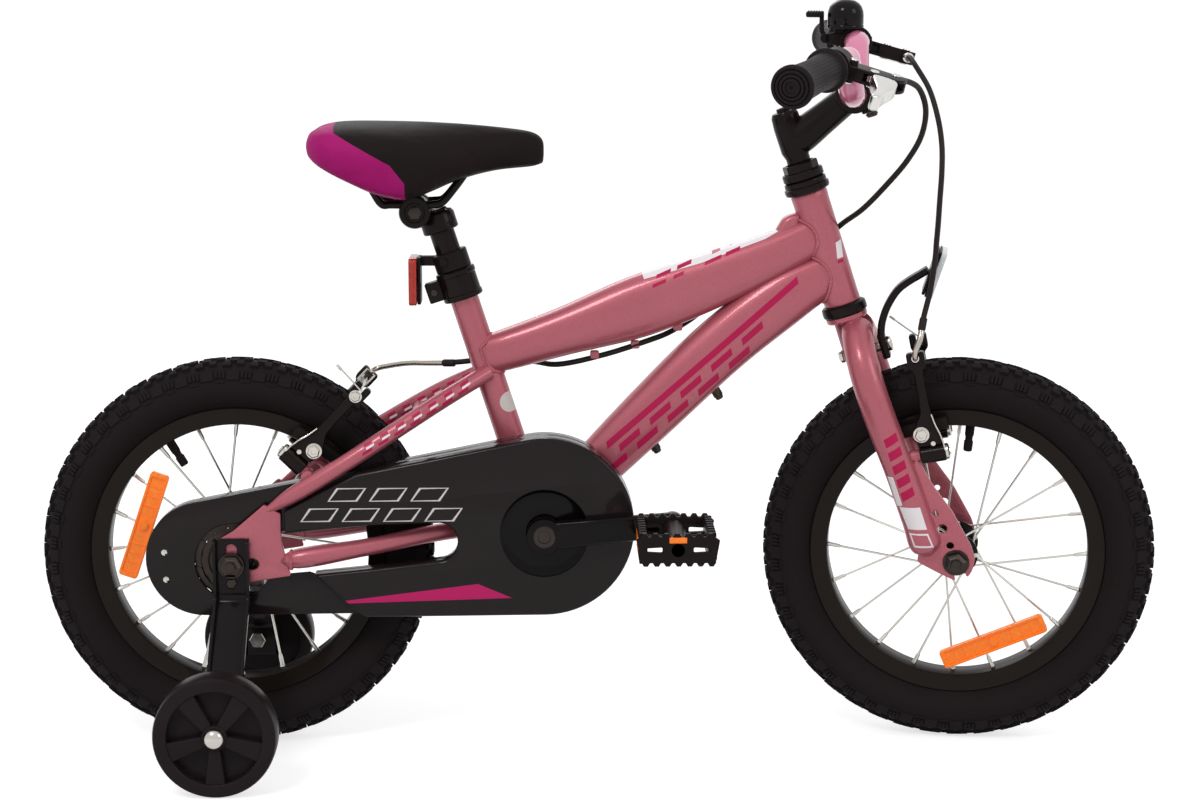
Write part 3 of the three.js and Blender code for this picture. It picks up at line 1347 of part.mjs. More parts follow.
function toothedDisc(teeth) {
  const pitch = pitchRadius(teeth);
  const step = (2 * Math.PI) / teeth;
  const corners = Array.from({ length: teeth }, (_, k) => [
    [pitch - tooth.root, step * (k - 1 / 2)],
    [pitch + tooth.tip, step * (k - tooth.crestShare / 2)],
    [pitch + tooth.tip, step * (k + tooth.crestShare / 2)],
  ]).flat();
  const outline = corners.map(([radius, angle]) => [radius * Math.cos(angle), radius * Math.sin(angle)]);
  return plate(outline, -chainLine - tooth.half, -chainLine + tooth.half);
}

function crankArmBody(side) {
  const outer = crankArm.inner + crankArm.thickness;
  const outline = [
    [0, -crankArm.footHalf],
    [-side * crankLength, -crankArm.eyeRadius],
    [-side * crankLength, crankArm.eyeRadius],
    [0, crankArm.footHalf],
  ];
  const eye = (out) => vec(-side * crankLength, side * out, 0);
  const at = (out) => vec(0, side * out, 0);
  const body = join(
    plate(outline, side * crankArm.inner, side * outer),
    rod(at(crankArm.start), at(outer), crankArm.bossRadius),
    rod(eye(crankArm.inner), eye(outer), crankArm.eyeRadius),
    rod(eye(outer), eye(outer + pedalAxle.collarLength), pedalAxle.collarRadius, tubeSides),
    rod(eye(outer), eye(pedalAxle.end), pedalAxle.radius, tubeSides),
  );
  const axleHole = rod(at(crankArm.start - overrun), at(crankAxle.half + gap), bore(crankAxle.radius));
  if (side > 0) return cut(body, axleHole);
  return cut(join(
    body,
    toothedDisc(ringTeeth),
    rod(
      at(crankArm.coverOuter - crankArm.coverThickness), at(crankArm.coverOuter), crankArm.coverRadius,
      wheelSegments / 2,
    ),
  ), axleHole);
}

addPiece(crankSeat, 'crank_arm_right', crankArmBody(-1), gloss);
addPiece(crankSeat, 'crank_arm_left', crankArmBody(1), blackPaint);

// Pedals: a barrel on the axle, a bar in front and behind and a plate at each end
const pedal = {
  inner: 92, outer: 178, halfLength: 35, halfHeight: 14, barThickness: 10, endThickness: 9, barrelRadius: 11,
};

function pedalBody(side) {
  const middle = (pedal.inner + pedal.outer) / 2;
  const width = pedal.outer - pedal.inner;
  const windowLength = pedal.halfLength - pedal.barThickness - pedal.barrelRadius;
  const windows = [-1, 1].map((way) => block(
    vec(way * (pedal.barrelRadius + windowLength / 2), side * middle, 0),
    windowLength, width - 2 * pedal.endThickness, 2 * (pedal.halfHeight + overrun),
  ));
  const hole = rod(
    vec(0, side * (pedal.inner - overrun), 0), vec(0, side * (pedalAxle.end + gap), 0),
    bore(pedalAxle.radius, tubeSides), tubeSides,
  );
  return cut(
    block(vec(0, side * middle, 0), 2 * pedal.halfLength, width, 2 * pedal.halfHeight), ...windows, hole,
  );
}

for (const [name, side] of sides) {
  const eye = vec(-side * crankLength, 0, 0).applyAxisAngle(yAxis, -crankRise).add(bottomBracket);
  addPiece(groupAt(bicycle, eye), `pedal_${name}`, pedalBody(side), blackPlastic);
}

// Freewheel with its sprocket on the rear hub
const freewheel = { radius: 24, inner: 36.5, outer: 46 };

function sprocketBody() {
  return cut(
    join(
      toothedDisc(sprocketTeeth),
      rod(vec(0, -freewheel.outer, 0), vec(0, -freewheel.inner, 0), freewheel.radius),
    ),
    rod(
      vec(0, -freewheel.outer - overrun, 0), vec(0, -freewheel.inner + overrun, 0),
      bore(rearHub.threadRadius),
    ),
  );
}

addPiece(groupAt(bicycle, rearAxle), 'rear_sprocket', sprocketBody(), darkSteel);

// Chain: a closed loop with a groove inside that the teeth run in
const chain = { half: 4, halfHeight: 4, roof: 2.2 };
const chainSteps = 12;

function chainBody() {
  const loop = (grow, yFrom, yTo) => plate(beltOutline(
    bottomBracket, pitchRadius(ringTeeth) + grow, rearAxle, pitchRadius(sprocketTeeth) + grow, chainSteps,
  ), yFrom, yTo);
  const groove = tooth.half + gap;
  return cut(
    loop(chain.halfHeight, -chainLine - chain.half, -chainLine + chain.half),
    loop(-chain.halfHeight, -chainLine - chain.half - overrun, -chainLine + chain.half + overrun),
    loop(chain.halfHeight - chain.roof, -chainLine - groove, -chainLine + groove),
  );
}

addPiece(bicycle, 'chain', chainBody(), darkSteel);

// Chain guard: an open-backed tray round the chain, raised in front and stepped in at the back
const guard = {
  frontRadius: 79, rearRadius: 51, frontRise: 5, rearBack: 26, rearRise: 2.5, wall: 2, outer: 66,
  recess: 49.6, back: 31, frontHole: 42.5, rearHole: 34, stepLength: 47, stepHeight: 47.5,
  windowTop: 37, windowBottom: -6, windowFront: 181, windowRadius: 17, bossRadius: 5, bossAhead: 25,
  bossUp: 32,
};
const guardSteps = 14;
const guardFront = bottomBracket.clone().add(vec(0, 0, guard.frontRise));
const guardRear = rearAxle.clone().add(vec(-guard.rearBack, 0, guard.rearRise));
const stepShares = [
  [2.7, 2], [1, 1], [1, -0.15], [1.55, -0.18], [2.7, -1.3], [2.7, -4], [-4, -4], [-4, 4], [2.7, 4],
];
const stepInsetShares = [
  [0.4, -1.2], [1.2, -0.7], [1.2, 0], [1.2, 0.6], [1.2, 0.6], [1.2, 0], [0, 0], [0, 0], [0.4, 0],
];
const windowEndShare = 0.612;
const windowShares = [
  [0, 0.7], [0.183, 0.79], [0.622, 0.953], [1, 1.01], [1, 0.214], [0.635, 0.053], [0.235, -0.105], [0, -0.17],
];

function guardBody() {
  const tray = (inset, yFrom, yTo) => plate(beltOutline(
    guardFront, guard.frontRadius - inset, guardRear, guard.rearRadius - inset, guardSteps,
  ), -yFrom, -yTo);
  const stepOutline = stepShares.map(([ahead, up]) => [
    rearAxle.x + guard.stepLength * ahead, rearAxle.z + guard.stepHeight * up,
  ]);
  const innerStep = stepOutline.map(([x, z], index) => [
    x + guard.wall * stepInsetShares[index][0], z + guard.wall * stepInsetShares[index][1],
  ]);
  const windowHeight = guard.windowTop - guard.windowBottom;
  const windowEnd = vec(
    rearAxle.x + guard.windowFront, 0, rearAxle.z + guard.windowBottom + windowHeight * windowEndShare,
  );
  const windowOutline = windowShares.map(([along, up]) => [
    rearAxle.x + guard.rearHole / 2 + (guard.windowFront - guard.rearHole / 2) * along,
    rearAxle.z + guard.windowBottom + windowHeight * up,
  ]);
  const through = (centre, radius, count) => rod(
    centre.clone().setY(-guard.outer - overrun), centre.clone().setY(-guard.recess / 2), radius, count,
  );
  const face = (outline) => plate(outline, -guard.outer - overrun, -guard.recess / 2);
  const bossAt = (out) => vec(rearAxle.x + guard.bossAhead, -out, rearAxle.z + guard.bossUp);
  return join(
    cut(
      tray(0, guard.back, guard.outer),
      plate(stepOutline, -guard.outer - overrun, -guard.recess),
      tray(guard.wall, guard.back - overrun, guard.recess - guard.wall),
      cut(
        tray(guard.wall, guard.recess - 2 * guard.wall, guard.outer - guard.wall),
        plate(innerStep, -guard.outer - overrun, -guard.recess / 2),
      ),
      through(bottomBracket, guard.frontHole, wheelSegments / 2),
      through(rearAxle, guard.rearHole, wheelSegments / 2),
      through(windowEnd, guard.windowRadius, roundSides),
      through(rearBrakeFoot, boss.radius + guard.wall + overrun / 4, roundSides),
      face(windowOutline),
    ),
    rod(bossAt(guard.recess - guard.wall), bossAt(rearSpan - gap), guard.bossRadius, tubeSides),
  );
}

addPiece(bicycle, 'chain_guard', guardBody(), gloss);

// Training wheels: a channel-shaped bracket on the rear axle, a bolt and a wheel on each side
const trainer = {
  radius: 52.5, width: 28, height: 52.5, back: 3.5, rimDepth: 12, webHalf: 3, hubRadius: 11,
  hubInner: 150.5, segments: 20, bevel: 3, spokeCount: 5, spokeHalf: 9, spokeTip: 5, boltRadius: 5,
  headRadius: 9, headLength: 6, nutRadius: 8, nutLength: 6,
};
const bracket = {
  halfWidth: 16, top: 24, straightFoot: -33, kneeUp: 66, foot: 36, sheet: 3, flange: 9, slotTop: 14,
};

// The bracket's outline in y and z, for a sheet of some depth outward of its inner face
function bracketOutline(side, depth) {
  const topInner = rearSpan + dropout.thickness + gap;
  const footInner = trainer.hubInner - gap - bracket.sheet;
  const inner = [
    [topInner, rearAxle.z + bracket.top],
    [topInner, rearAxle.z + bracket.straightFoot],
    [footInner, bracket.kneeUp],
    [footInner, bracket.foot],
  ];
  const outer = [
    [Math.min(footInner + depth, footInner + bracket.sheet), bracket.foot],
    [Math.min(footInner + depth, footInner + bracket.sheet), bracket.kneeUp + depth / 2],
    [topInner + depth, rearAxle.z + bracket.straightFoot + depth / 2],
    [topInner + depth, rearAxle.z + bracket.top],
  ];
  return [...inner, ...outer].map(([out, up]) => [side * out, up]);
}

function bracketBody(side) {
  const [left, right] = [rearAxle.x - bracket.halfWidth, rearAxle.x + bracket.halfWidth];
  const sheet = bar(bracketOutline(side, bracket.sheet), left, right);
  const rear = bar(bracketOutline(side, bracket.flange), left, left + bracket.sheet);
  const front = bar(bracketOutline(side, bracket.flange), right - bracket.sheet, right);
  const nearHole = vec(rearAxle.x, 0, rearAxle.z + bracket.slotTop);
  const slot = join(
    ...[rearAxle, nearHole].map((spot) => rod(
      spot.clone().setY(side * rearSpan), spot.clone().setY(side * pedal.inner), bore(axle.radius),
    )),
    block(
      vec(rearAxle.x, side * (rearSpan + pedal.inner) / 2, rearAxle.z + bracket.slotTop / 2),
      2 * (axle.radius + gap), pedal.inner - rearSpan, bracket.slotTop,
    ),
  );
  const hub = vec(rearAxle.x - trainer.back, 0, trainer.height);
  const hole = rod(
    hub.clone().setY(side * (trainer.hubInner - 2 * overrun)), hub.clone().setY(side * trainer.hubInner),
    bore(trainer.boltRadius, tubeSides), tubeSides,
  );
  return cut(join(sheet, rear, front), slot, hole);
}

function trainerBoltBody(side) {
  const at = (out) => vec(0, side * out, 0);
  const inner = trainer.hubInner - gap - bracket.sheet - gap;
  const outer = trainer.hubInner + trainer.width + gap;
  return join(
    rod(at(inner - trainer.nutLength), at(outer), trainer.boltRadius, tubeSides),
    rod(at(inner - trainer.nutLength), at(inner), trainer.nutRadius, boltSides),
    cone(at(outer), at(outer + trainer.headLength), trainer.headRadius, trainer.headRadius / 2, tubeSides),
  );
}

function trainingWheelBody(side) {
  const half = trainer.width / 2;
  const rimRadius = trainer.radius - trainer.rimDepth;
  const ring = turned(ringProfile([
    [bore(trainer.boltRadius, tubeSides), half],
    [trainer.hubRadius, half],
    [trainer.hubRadius, trainer.webHalf],
    [rimRadius, trainer.webHalf],
    [rimRadius, half],
    [trainer.radius, half - trainer.bevel],
  ]), origin, yAxis, trainer.segments);
  const spoke = new THREE.Shape([
    new THREE.Vector2(trainer.hubRadius - gap, -trainer.spokeTip),
    new THREE.Vector2(rimRadius + 2 * gap, -trainer.spokeHalf),
    new THREE.Vector2(rimRadius + 2 * gap, trainer.spokeHalf),
    new THREE.Vector2(trainer.hubRadius - gap, trainer.spokeTip),
  ]);
  const wedges = Array.from({ length: trainer.spokeCount }, (_, k) => {
    const geometry = new THREE.ExtrudeGeometry(
      spoke, { depth: half - trainer.webHalf / 2, bevelEnabled: false, steps: 1 },
    );
    geometry.rotateX(side * -Math.PI / 2);
    geometry.rotateY((2 * Math.PI * (k + 1 / 4)) / trainer.spokeCount);
    return solidOf(geometry);
  });
  return join(ring, ...wedges);
}

for (const [name, side] of sides) {
  const seat = groupAt(bicycle, vec(rearAxle.x - trainer.back, 0, trainer.height));
  const wheelSeat = groupAt(seat, vec(0, side * (trainer.hubInner + trainer.width / 2), 0));
  addPiece(bicycle, `stabiliser_bracket_${name}`, bracketBody(side), blackPaint);
  addPiece(seat, `stabiliser_bolt_${name}`, trainerBoltBody(side), steel);
  addPiece(wheelSeat, `training_wheel_${name}`, trainingWheelBody(side), blackPlastic);
}

// Seat clamp round the top of the seat tube, with its bolt behind
const seatClamp = {
  radius: 18, sunk: 12.5, raised: 14, earLength: 10, earHalf: 7, earMargin: 4, slit: 1.2, boltRadius: 3,
};
const clampFoot = seatTube.length - seatClamp.sunk;
const clampTop = seatTube.length + seatClamp.raised;
const reflectorCollar = { radius: 16, height: 16.5 };
const seatGroup = groupAt(bicycle, seatFoot, -seatLean);

function seatClampBody() {
  const ring = turned([
    [bore(seatTube.radius), clampFoot],
    [seatClamp.radius, clampFoot],
    [seatClamp.radius, clampTop],
    [bore(seatPost.radius), clampTop],
    [bore(seatPost.radius), seatTube.length + gap],
    [bore(seatTube.radius), seatTube.length + gap],
  ], origin, zAxis);
  const middle = (clampFoot + clampTop) / 2;
  const height = clampTop - clampFoot - 2 * seatClamp.earMargin;
  const ear = block(
    vec(-seatClamp.radius - seatClamp.earLength / 4, 0, middle),
    seatClamp.earLength * 1.5, 2 * seatClamp.earHalf, height,
  );
  const slit = block(
    vec(-seatClamp.radius, 0, middle), 2 * (seatClamp.earLength + overrun), 2 * seatClamp.slit,
    2 * (clampTop - clampFoot),
  );
  const boltAt = (out) => vec(-seatClamp.radius - seatClamp.earLength / 2, out, middle);
  const bolt = rod(
    boltAt(-seatClamp.earHalf - seatClamp.boltRadius), boltAt(seatClamp.earHalf + seatClamp.boltRadius),
    seatClamp.boltRadius, tubeSides,
  );
  return join(cut(join(ring, ear), slit), bolt);
}

addPiece(seatGroup, 'seat_clamp', seatClampBody(), blackPaint);

// Seat post, with the rear reflector on a collar, and the clamp that holds the saddle's rails
addPiece(seatGroup, 'seat_post', turned([
  [0, postTop],
  [seatPost.radius, postTop],
  [seatPost.radius, postFoot],
  [seatPost.radius - seatPost.wall, postFoot],
  [seatPost.radius - seatPost.wall, postTop - seatPost.cap],
  [0, postTop - seatPost.cap],
], origin, zAxis), blackPaint);

const rearLens = {
  back: 38, drop: 17, height: 42, halfWidth: 22, thickness: 8, backing: 3, backHalf: 15, armHeight: 9,
};
const collarFoot = clampTop + gap;
const collarMiddle = seatPoint(collarFoot + reflectorCollar.height / 2);

function rearReflectorBracketBody() {
  const ring = rod(
    seatPoint(collarFoot), seatPoint(collarFoot + reflectorCollar.height), reflectorCollar.radius,
  );
  const hole = rod(
    seatPoint(collarFoot - overrun), seatPoint(collarFoot + reflectorCollar.height + overrun),
    bore(seatPost.radius),
  );
  const plateX = collarMiddle.x - rearLens.back + rearLens.thickness + gap + rearLens.backing / 2;
  const armLength = collarMiddle.x - plateX;
  return cut(join(
    ring,
    block(
      vec(collarMiddle.x - armLength / 2, 0, collarMiddle.z), armLength, rearLens.thickness,
      rearLens.armHeight,
    ),
    block(
      vec(plateX, 0, collarMiddle.z - rearLens.drop), rearLens.backing, 2 * rearLens.backHalf,
      rearLens.height,
    ),
  ), hole);
}

addPiece(bicycle, 'rear_reflector_bracket', rearReflectorBracketBody(), blackPlastic);
addPiece(bicycle, 'rear_reflector', block(
  vec(collarMiddle.x - rearLens.back + rearLens.thickness / 2, 0, collarMiddle.z - rearLens.drop),
  rearLens.thickness, 2 * rearLens.halfWidth, rearLens.height,
), redLens);

// Saddle: a crowned cushion with drawn-in sides over a hollow base, on rails
const saddle = {
  tail: 111.8, length: 212, rise: 77.3, depth: 70, halfWidth: 70, wall: 7, ceilingRear: 38.3,
  ceilingFront: 48.3,
};
const saddleSeat = seatPoint(postTop);
const saddleTailX = saddleSeat.x - saddle.tail;
const saddleTop = saddleSeat.z + saddle.rise;
// Along the saddle: place, top, underside, half width
const saddleShares = [
  [0, 0.74, 0.6, 0.4], [0.03, 0.88, 0.45, 0.66], [0.09, 0.97, 0.28, 0.86], [0.18, 1, 0.12, 0.98],
  [0.3, 0.99, 0, 1], [0.41, 0.97, 0.01, 0.93], [0.51, 0.955, 0.12, 0.76], [0.61, 0.94, 0.24, 0.56],
  [0.72, 0.925, 0.34, 0.4], [0.82, 0.905, 0.4, 0.31], [0.91, 0.87, 0.43, 0.27], [0.97, 0.78, 0.46, 0.2],
  [1, 0.64, 0.5, 0.1],
];
// Round half a section: out from the middle, and up from the underside to the top
const saddleSectionShares = [
  [0.3, 1], [0.62, 0.965], [0.86, 0.84], [0.985, 0.6], [0.99, 0.38], [0.94, 0.12], [0.86, 0],
];
const saddleHollowShares = [0.05, 0.95];
const rail = { radius: 3.5, half: 22, rise: 6.3, steps: 12 };
const railHeight = saddleSeat.z + rail.rise;
// Along the saddle: place, sideways, and the drop from the base to the clamp's height
const railShares = [
  [0.11, 1.45, 0], [0.22, 1.2, 0.6], [0.31, 1.03, 1], [0.34, 1, 1], [0.56, 1, 1], [0.59, 0.96, 1],
  [0.69, 0.7, 0.6], [0.8, 0.32, 0],
];
const saddleClamp = {
  radius: 14, half: 27, drop: 0.7, back: 16, neckRadius: 16, neckLength: 20, linkHalf: 13,
};

function saddleSection([along, top, bottom, width]) {
  const x = saddleTailX + saddle.length * along;
  const low = saddleTop - saddle.depth * (1 - bottom);
  const high = saddleTop - saddle.depth * (1 - top);
  const half = saddleSectionShares.map(([out, up]) => [
    saddle.halfWidth * width * out, low + (high - low) * up,
  ]);
  return [...half.map(([y, z]) => vec(x, y, z)), ...half.map(([y, z]) => vec(x, -y, z)).reverse()];
}

function ceilingAt(x) {
  const share = (x - saddleTailX) / saddle.length;
  return saddleSeat.z + saddle.ceilingRear + (saddle.ceilingFront - saddle.ceilingRear) * share;
}

function saddleBody() {
  const [from, to] = saddleHollowShares;
  const inside = saddleShares.filter(([along]) => along > from && along < to).map(([along, , , width]) => {
    const x = saddleTailX + saddle.length * along;
    const footShare = saddleSectionShares[saddleSectionShares.length - 1][0];
    const halfWidth = saddle.halfWidth * width * footShare - saddle.wall;
    const high = ceilingAt(x);
    const low = saddleTop - saddle.depth - overrun;
    return [
      vec(x, halfWidth, high), vec(x, halfWidth, low), vec(x, -halfWidth, low), vec(x, -halfWidth, high),
    ];
  });
  return cut(loft(saddleShares.map(saddleSection)), loft(inside));
}

function railBody() {
  const way = (side) => railShares.map(([along, out, drop]) => {
    const x = saddleTailX + saddle.length * along;
    const high = ceilingAt(x) - gap - rail.radius;
    return vec(x, side * rail.half * out, high + (railHeight - high) * drop);
  });
  const nose = way(-1)[railShares.length - 1];
  return join(
    ...sides.map(([, side]) => tube(way(side), rail.radius, rail.steps, cableSides)),
    rod(nose.clone(), nose.clone().setY(-nose.y), rail.radius, cableSides),
  );
}

function saddleClampBody() {
  const top = seatPoint(postTop);
  const middle = vec(top.x - saddleClamp.back, 0, top.z - saddleClamp.drop);
  const barrel = rod(
    middle.clone().setY(-saddleClamp.half), middle.clone().setY(saddleClamp.half), saddleClamp.radius,
  );
  const neck = rod(
    seatPoint(postTop - saddleClamp.neckLength), seatPoint(postTop), saddleClamp.neckRadius,
  );
  const link = block(
    middle.clone().lerp(top, 1 / 2), saddleClamp.back, 2 * saddleClamp.linkHalf, saddleClamp.radius,
  );
  const hole = rod(
    seatPoint(postTop - saddleClamp.neckLength - overrun), seatPoint(postTop + gap),
    bore(seatPost.radius),
  );
  const railHoles = sides.map(([, side]) => rod(
    vec(middle.x - saddleClamp.half, side * rail.half, railHeight),
    vec(top.x + saddleClamp.half, side * rail.half, railHeight), bore(rail.radius, cableSides), cableSides,
  ));
  return cut(join(barrel, neck, link), hole, ...railHoles);
}

addPiece(bicycle, 'saddle_clamp', saddleClampBody(), blackPaint);
addPiece(bicycle, 'saddle_rails', railBody(), darkSteel);
addPiece(bicycle, 'saddle', saddleBody(), saddleCover);

// Sideways shift that centres the box with the bars turned
bicycle.position.y = barEnd.forward * Math.sin(-steeringTurn);

export default bicycle;
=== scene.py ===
import math
from functools import reduce
from operator import mul, or_

import bmesh
import bpy
from mathutils import Matrix, Vector


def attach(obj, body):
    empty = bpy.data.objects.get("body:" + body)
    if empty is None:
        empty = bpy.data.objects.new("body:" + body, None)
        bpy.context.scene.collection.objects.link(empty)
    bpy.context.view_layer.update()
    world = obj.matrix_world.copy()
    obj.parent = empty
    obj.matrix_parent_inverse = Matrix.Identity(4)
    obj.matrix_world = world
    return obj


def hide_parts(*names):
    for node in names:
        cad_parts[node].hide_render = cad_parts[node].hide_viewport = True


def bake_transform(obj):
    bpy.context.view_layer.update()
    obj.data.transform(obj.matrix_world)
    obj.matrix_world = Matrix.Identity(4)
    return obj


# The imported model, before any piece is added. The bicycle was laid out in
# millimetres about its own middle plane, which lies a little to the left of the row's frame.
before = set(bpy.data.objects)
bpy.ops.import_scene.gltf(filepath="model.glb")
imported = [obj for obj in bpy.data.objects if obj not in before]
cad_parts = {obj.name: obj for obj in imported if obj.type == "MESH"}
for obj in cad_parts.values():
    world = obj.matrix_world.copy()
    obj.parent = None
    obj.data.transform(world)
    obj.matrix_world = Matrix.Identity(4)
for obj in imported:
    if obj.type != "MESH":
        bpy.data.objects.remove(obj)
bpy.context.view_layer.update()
middle_shift = 0.00646
bike = Matrix.Translation((0, middle_shift, 0)) @ Matrix.Scale(0.001, 4)


# Camera: a long lens in front of the bicycle's right side, a little above the saddle.
def placed(name, data):
    made = bpy.data.objects.new(name, data)
    bpy.context.scene.collection.objects.link(made)
    return made


camera_yaw = 0.0188
camera_pitch = 0.1667
camera_spot = (-0.04115, -2.22524, 0.6856)
camera_data = bpy.data.cameras.new("camera")
camera_data.sensor_width = 36
camera_data.lens = 76.0
camera_data.clip_end = 200
camera = placed("camera", camera_data)
bpy.context.scene.camera = camera
look_level = math.cos(camera_pitch)
look = Vector((math.sin(camera_yaw) * look_level, math.cos(camera_yaw) * look_level, -math.sin(camera_pitch)))
across_view = Vector((math.cos(camera_yaw), -math.sin(camera_yaw), 0))
camera_turn = Matrix((across_view, across_view.cross(look), -look)).transposed().to_4x4()
camera.matrix_world = Matrix.Translation(camera_spot) @ camera_turn


# Floor and light: a white studio floor, an even white surround, and three soft lamps. The key,
# high on the left, draws the bright streaks along the tubes. Materials are written as expressions.
class Lead:
    """A value in a material; arithmetic on it wires in Math nodes, and node() any other."""

    def __init__(self, tree, socket=None):
        self.tree = tree
        self.socket = socket

    def node(self, kind, settings, inputs, output=0):
        made = self.tree.nodes.new("ShaderNode" + kind)
        for key, value in settings.items():
            setattr(made, key, value)
        for key, value in inputs.items():
            if isinstance(value, Lead):
                self.tree.links.new(value.socket, made.inputs[key])
            else:
                made.inputs[key].default_value = value
        return Lead(self.tree, made.outputs[output])

    def math(self, operation, *values):
        return self.node("Math", {"operation": operation}, dict(enumerate(values)))

    def __add__(self, other):
        return self.math("ADD", self, other)

    def __sub__(self, other):
        return self.math("SUBTRACT", self, other)

    def __rsub__(self, other):
        return self.math("SUBTRACT", other, self)

    def __mul__(self, other):
        return self.math("MULTIPLY", self, other)

    def __or__(self, other):
        return self.math("MAXIMUM", self, other)

    def __gt__(self, other):
        return self.math("GREATER_THAN", self, other)

    def __lt__(self, other):
        return self.math("LESS_THAN", self, other)

    def within(self, low, high):
        return (self > low) * (self < high)

    def spot(self):
        return self.node("TexCoord", {}, {}, "Object")

    def measured(self, start, turns):
        """Places measured from start, in axes that are turned so."""
        settings = {"vector_type": "TEXTURE"}
        return self.node("Mapping", settings, {"Vector": self.spot(), "Location": start, "Rotation": turns})

    def parts(self):
        return [self.node("SeparateXYZ", {}, {"Vector": self}, k) for k in range(3)]

    def noise(self, scale, detail):
        return self.node("TexNoise", {}, {"Vector": self.spot(), "Scale": scale, "Detail": detail})

    def cells(self, scale, output="Distance"):
        return self.node("TexVoronoi", {}, {"Vector": self.spot(), "Scale": scale}, output)

    def over(self, base, shade, mask):
        return self.node("Mix", {"data_type": "RGBA"}, {0: mask, 6: base, 7: shade}, 2)

    def range(self, low, high):
        """The value, from 0 to 1, laid over another range."""
        return self * (high - low) + low

    def bump(self, distance, strength=1.0):
        return self.node("Bump", {}, {"Height": self, "Distance": distance, "Strength": strength})


def tint(code):
    """A colour written as on a paint card, as the linear values that a shader takes."""
    parts = [int(code[k : k + 2], 16) / 255 for k in (1, 3, 5)]
    return (*[p / 12.92 if p < 0.04045 else ((p + 0.055) / 1.055) ** 2.4 for p in parts], 1)


def blank(name):
    material = bpy.data.materials.new(name)
    material.use_nodes = True
    material.node_tree.nodes.clear()
    return material, Lead(material.node_tree)


def ended(shader, kind="Material"):
    """Wires a shader to the output of its material or world."""
    end = shader.tree.nodes.new("ShaderNodeOutput" + kind)
    shader.tree.links.new(shader.socket, end.inputs["Surface"])


def either(masks):
    return reduce(or_, masks)


def seen_by_eye(lead):
    kinds = ("Camera", "Glossy", "Transmission")
    return either([lead.node("LightPath", {}, {}, "Is %s Ray" % kind) for kind in kinds])


def mesh_of(name, shape):
    mesh = bpy.data.meshes.new(name)
    shape.to_mesh(mesh)
    shape.free()
    return mesh


floor_reach = 90
floor_shade = 0.55
floor_glow = 0.7
floor_shape = bmesh.new()
bmesh.ops.create_circle(floor_shape, cap_ends=True, segments=64, radius=floor_reach)
floor = placed("floor", mesh_of("floor", floor_shape))
floor_paint, lead = blank("white floor")
matt = lead.node("BsdfDiffuse", {}, {"Color": (floor_shade, floor_shade, floor_shade, 1)})
glow = lead.node("Emission", {}, {"Strength": seen_by_eye(lead) * floor_glow})
ended(lead.node("AddShader", {}, {0: matt, 1: glow}))
floor.data.materials.append(floor_paint)

world = bpy.data.worlds.new("surround")
bpy.context.scene.world = world
world.use_nodes = True
world.node_tree.nodes.clear()
sky = Lead(world.node_tree)
surround_light = 0.62
strength = seen_by_eye(sky).range(surround_light, 1.0)
ended(sky.node("Background", {}, {"Color": (1, 1, 1, 1), "Strength": strength}), "World")

lamp_aim = Vector((0, 0, 0.3))
lamps = [
    ("key_lamp", Vector((-1.3, -2.3, 2.9)), 0.9, 40),
    ("side_lamp", Vector((2.4, -1.6, 1.9)), 1.2, 14),
    ("back_lamp", Vector((-0.6, 2.8, 2.2)), 1.4, 16),
]
for lamp_name, lamp_spot, lamp_size, lamp_power in lamps:
    lamp_data = bpy.data.lights.new(lamp_name, "AREA")
    lamp_data.size = lamp_size
    lamp_data.energy = lamp_power
    lamp_turn = (lamp_aim - lamp_spot).to_track_quat("-Z", "Y").to_matrix().to_4x4()
    placed(lamp_name, lamp_data).matrix_world = Matrix.Translation(lamp_spot) @ lamp_turn
bpy.context.scene.view_settings.view_transform = "Standard"


# Frame: steel tubes brazed and welded into one piece, under pearl pink paint with crimson
# transfers. The big tubes are oval and swell between their ends; weld beads ring each joint.
class Finish(Lead):
    """One material in the making; made() closes it."""

    def __init__(self, name):
        self.material, lead = blank(name)
        super().__init__(lead.tree)

    def made(self, **sockets):
        names = {key.replace("_", " ").title().replace("Ior", "IOR"): value for key, value in sockets.items()}
        ended(self.node("BsdfPrincipled", {}, names))
        return self.material


pink_deep = tint("#9c4c58")
pink_light = tint("#c26875")
crimson = tint("#b81850")
transfer_white = tint("#f4eef0")


def pearl(name, transfers=None):
    """Metallic pearl paint. Each transfer gives a mask on the paint and its colour."""
    f = Finish(name)
    cloud = f.noise(14.0, 3.0)
    flake = f.cells(1900.0, "Color").parts()[0]
    base = f.over(pink_deep, pink_light, cloud * 0.35 + flake * 0.3 + 0.2)
    bare = cloud.range(0.95, 1)
    for mask, shade in transfers(f) if transfers else []:
        base = f.over(base, shade, mask)
        bare = bare * (1 - mask)
    lump = f.noise(420.0, 1.0) * 0.5 + flake * 0.12
    return f.made(
        base_color=base, metallic=flake.range(0.15, 0.4) * bare, roughness=cloud.range(0.26, 0.36) + flake * 0.1,
        coat_weight=bare * 0.4, coat_roughness=0.05, specular_ior_level=0.2, normal=lump.bump(0.00006),
    )


def bars(f, start, end, slant, rows):
    """Slanted bars along the line from start to end: each row is (from, to, low, high) beside it."""
    lean = math.atan2(end[1] - start[1], end[0] - start[0])
    along, _, up = f.measured(bike @ Vector((start[0], 0, start[1])), (0, -lean, 0)).parts()
    leaning = along - up * slant
    return either([
        leaning.within(first / 1000, last / 1000) * up.within(low / 1000, high / 1000)
        for first, last, low, high in rows
    ])


def inside(x, z, corners):
    """Whether a place lies in an outline, whose corners run anticlockwise, in millimetres."""
    parts = []
    for start, end in zip(corners, corners[1:] + corners[:1]):
        across, rise = (end[0] - start[0]) / 1000, (end[1] - start[1]) / 1000
        parts.append((z - start[1] / 1000) * across - (x - start[0] / 1000) * rise > 0.0)
    return reduce(mul, parts)


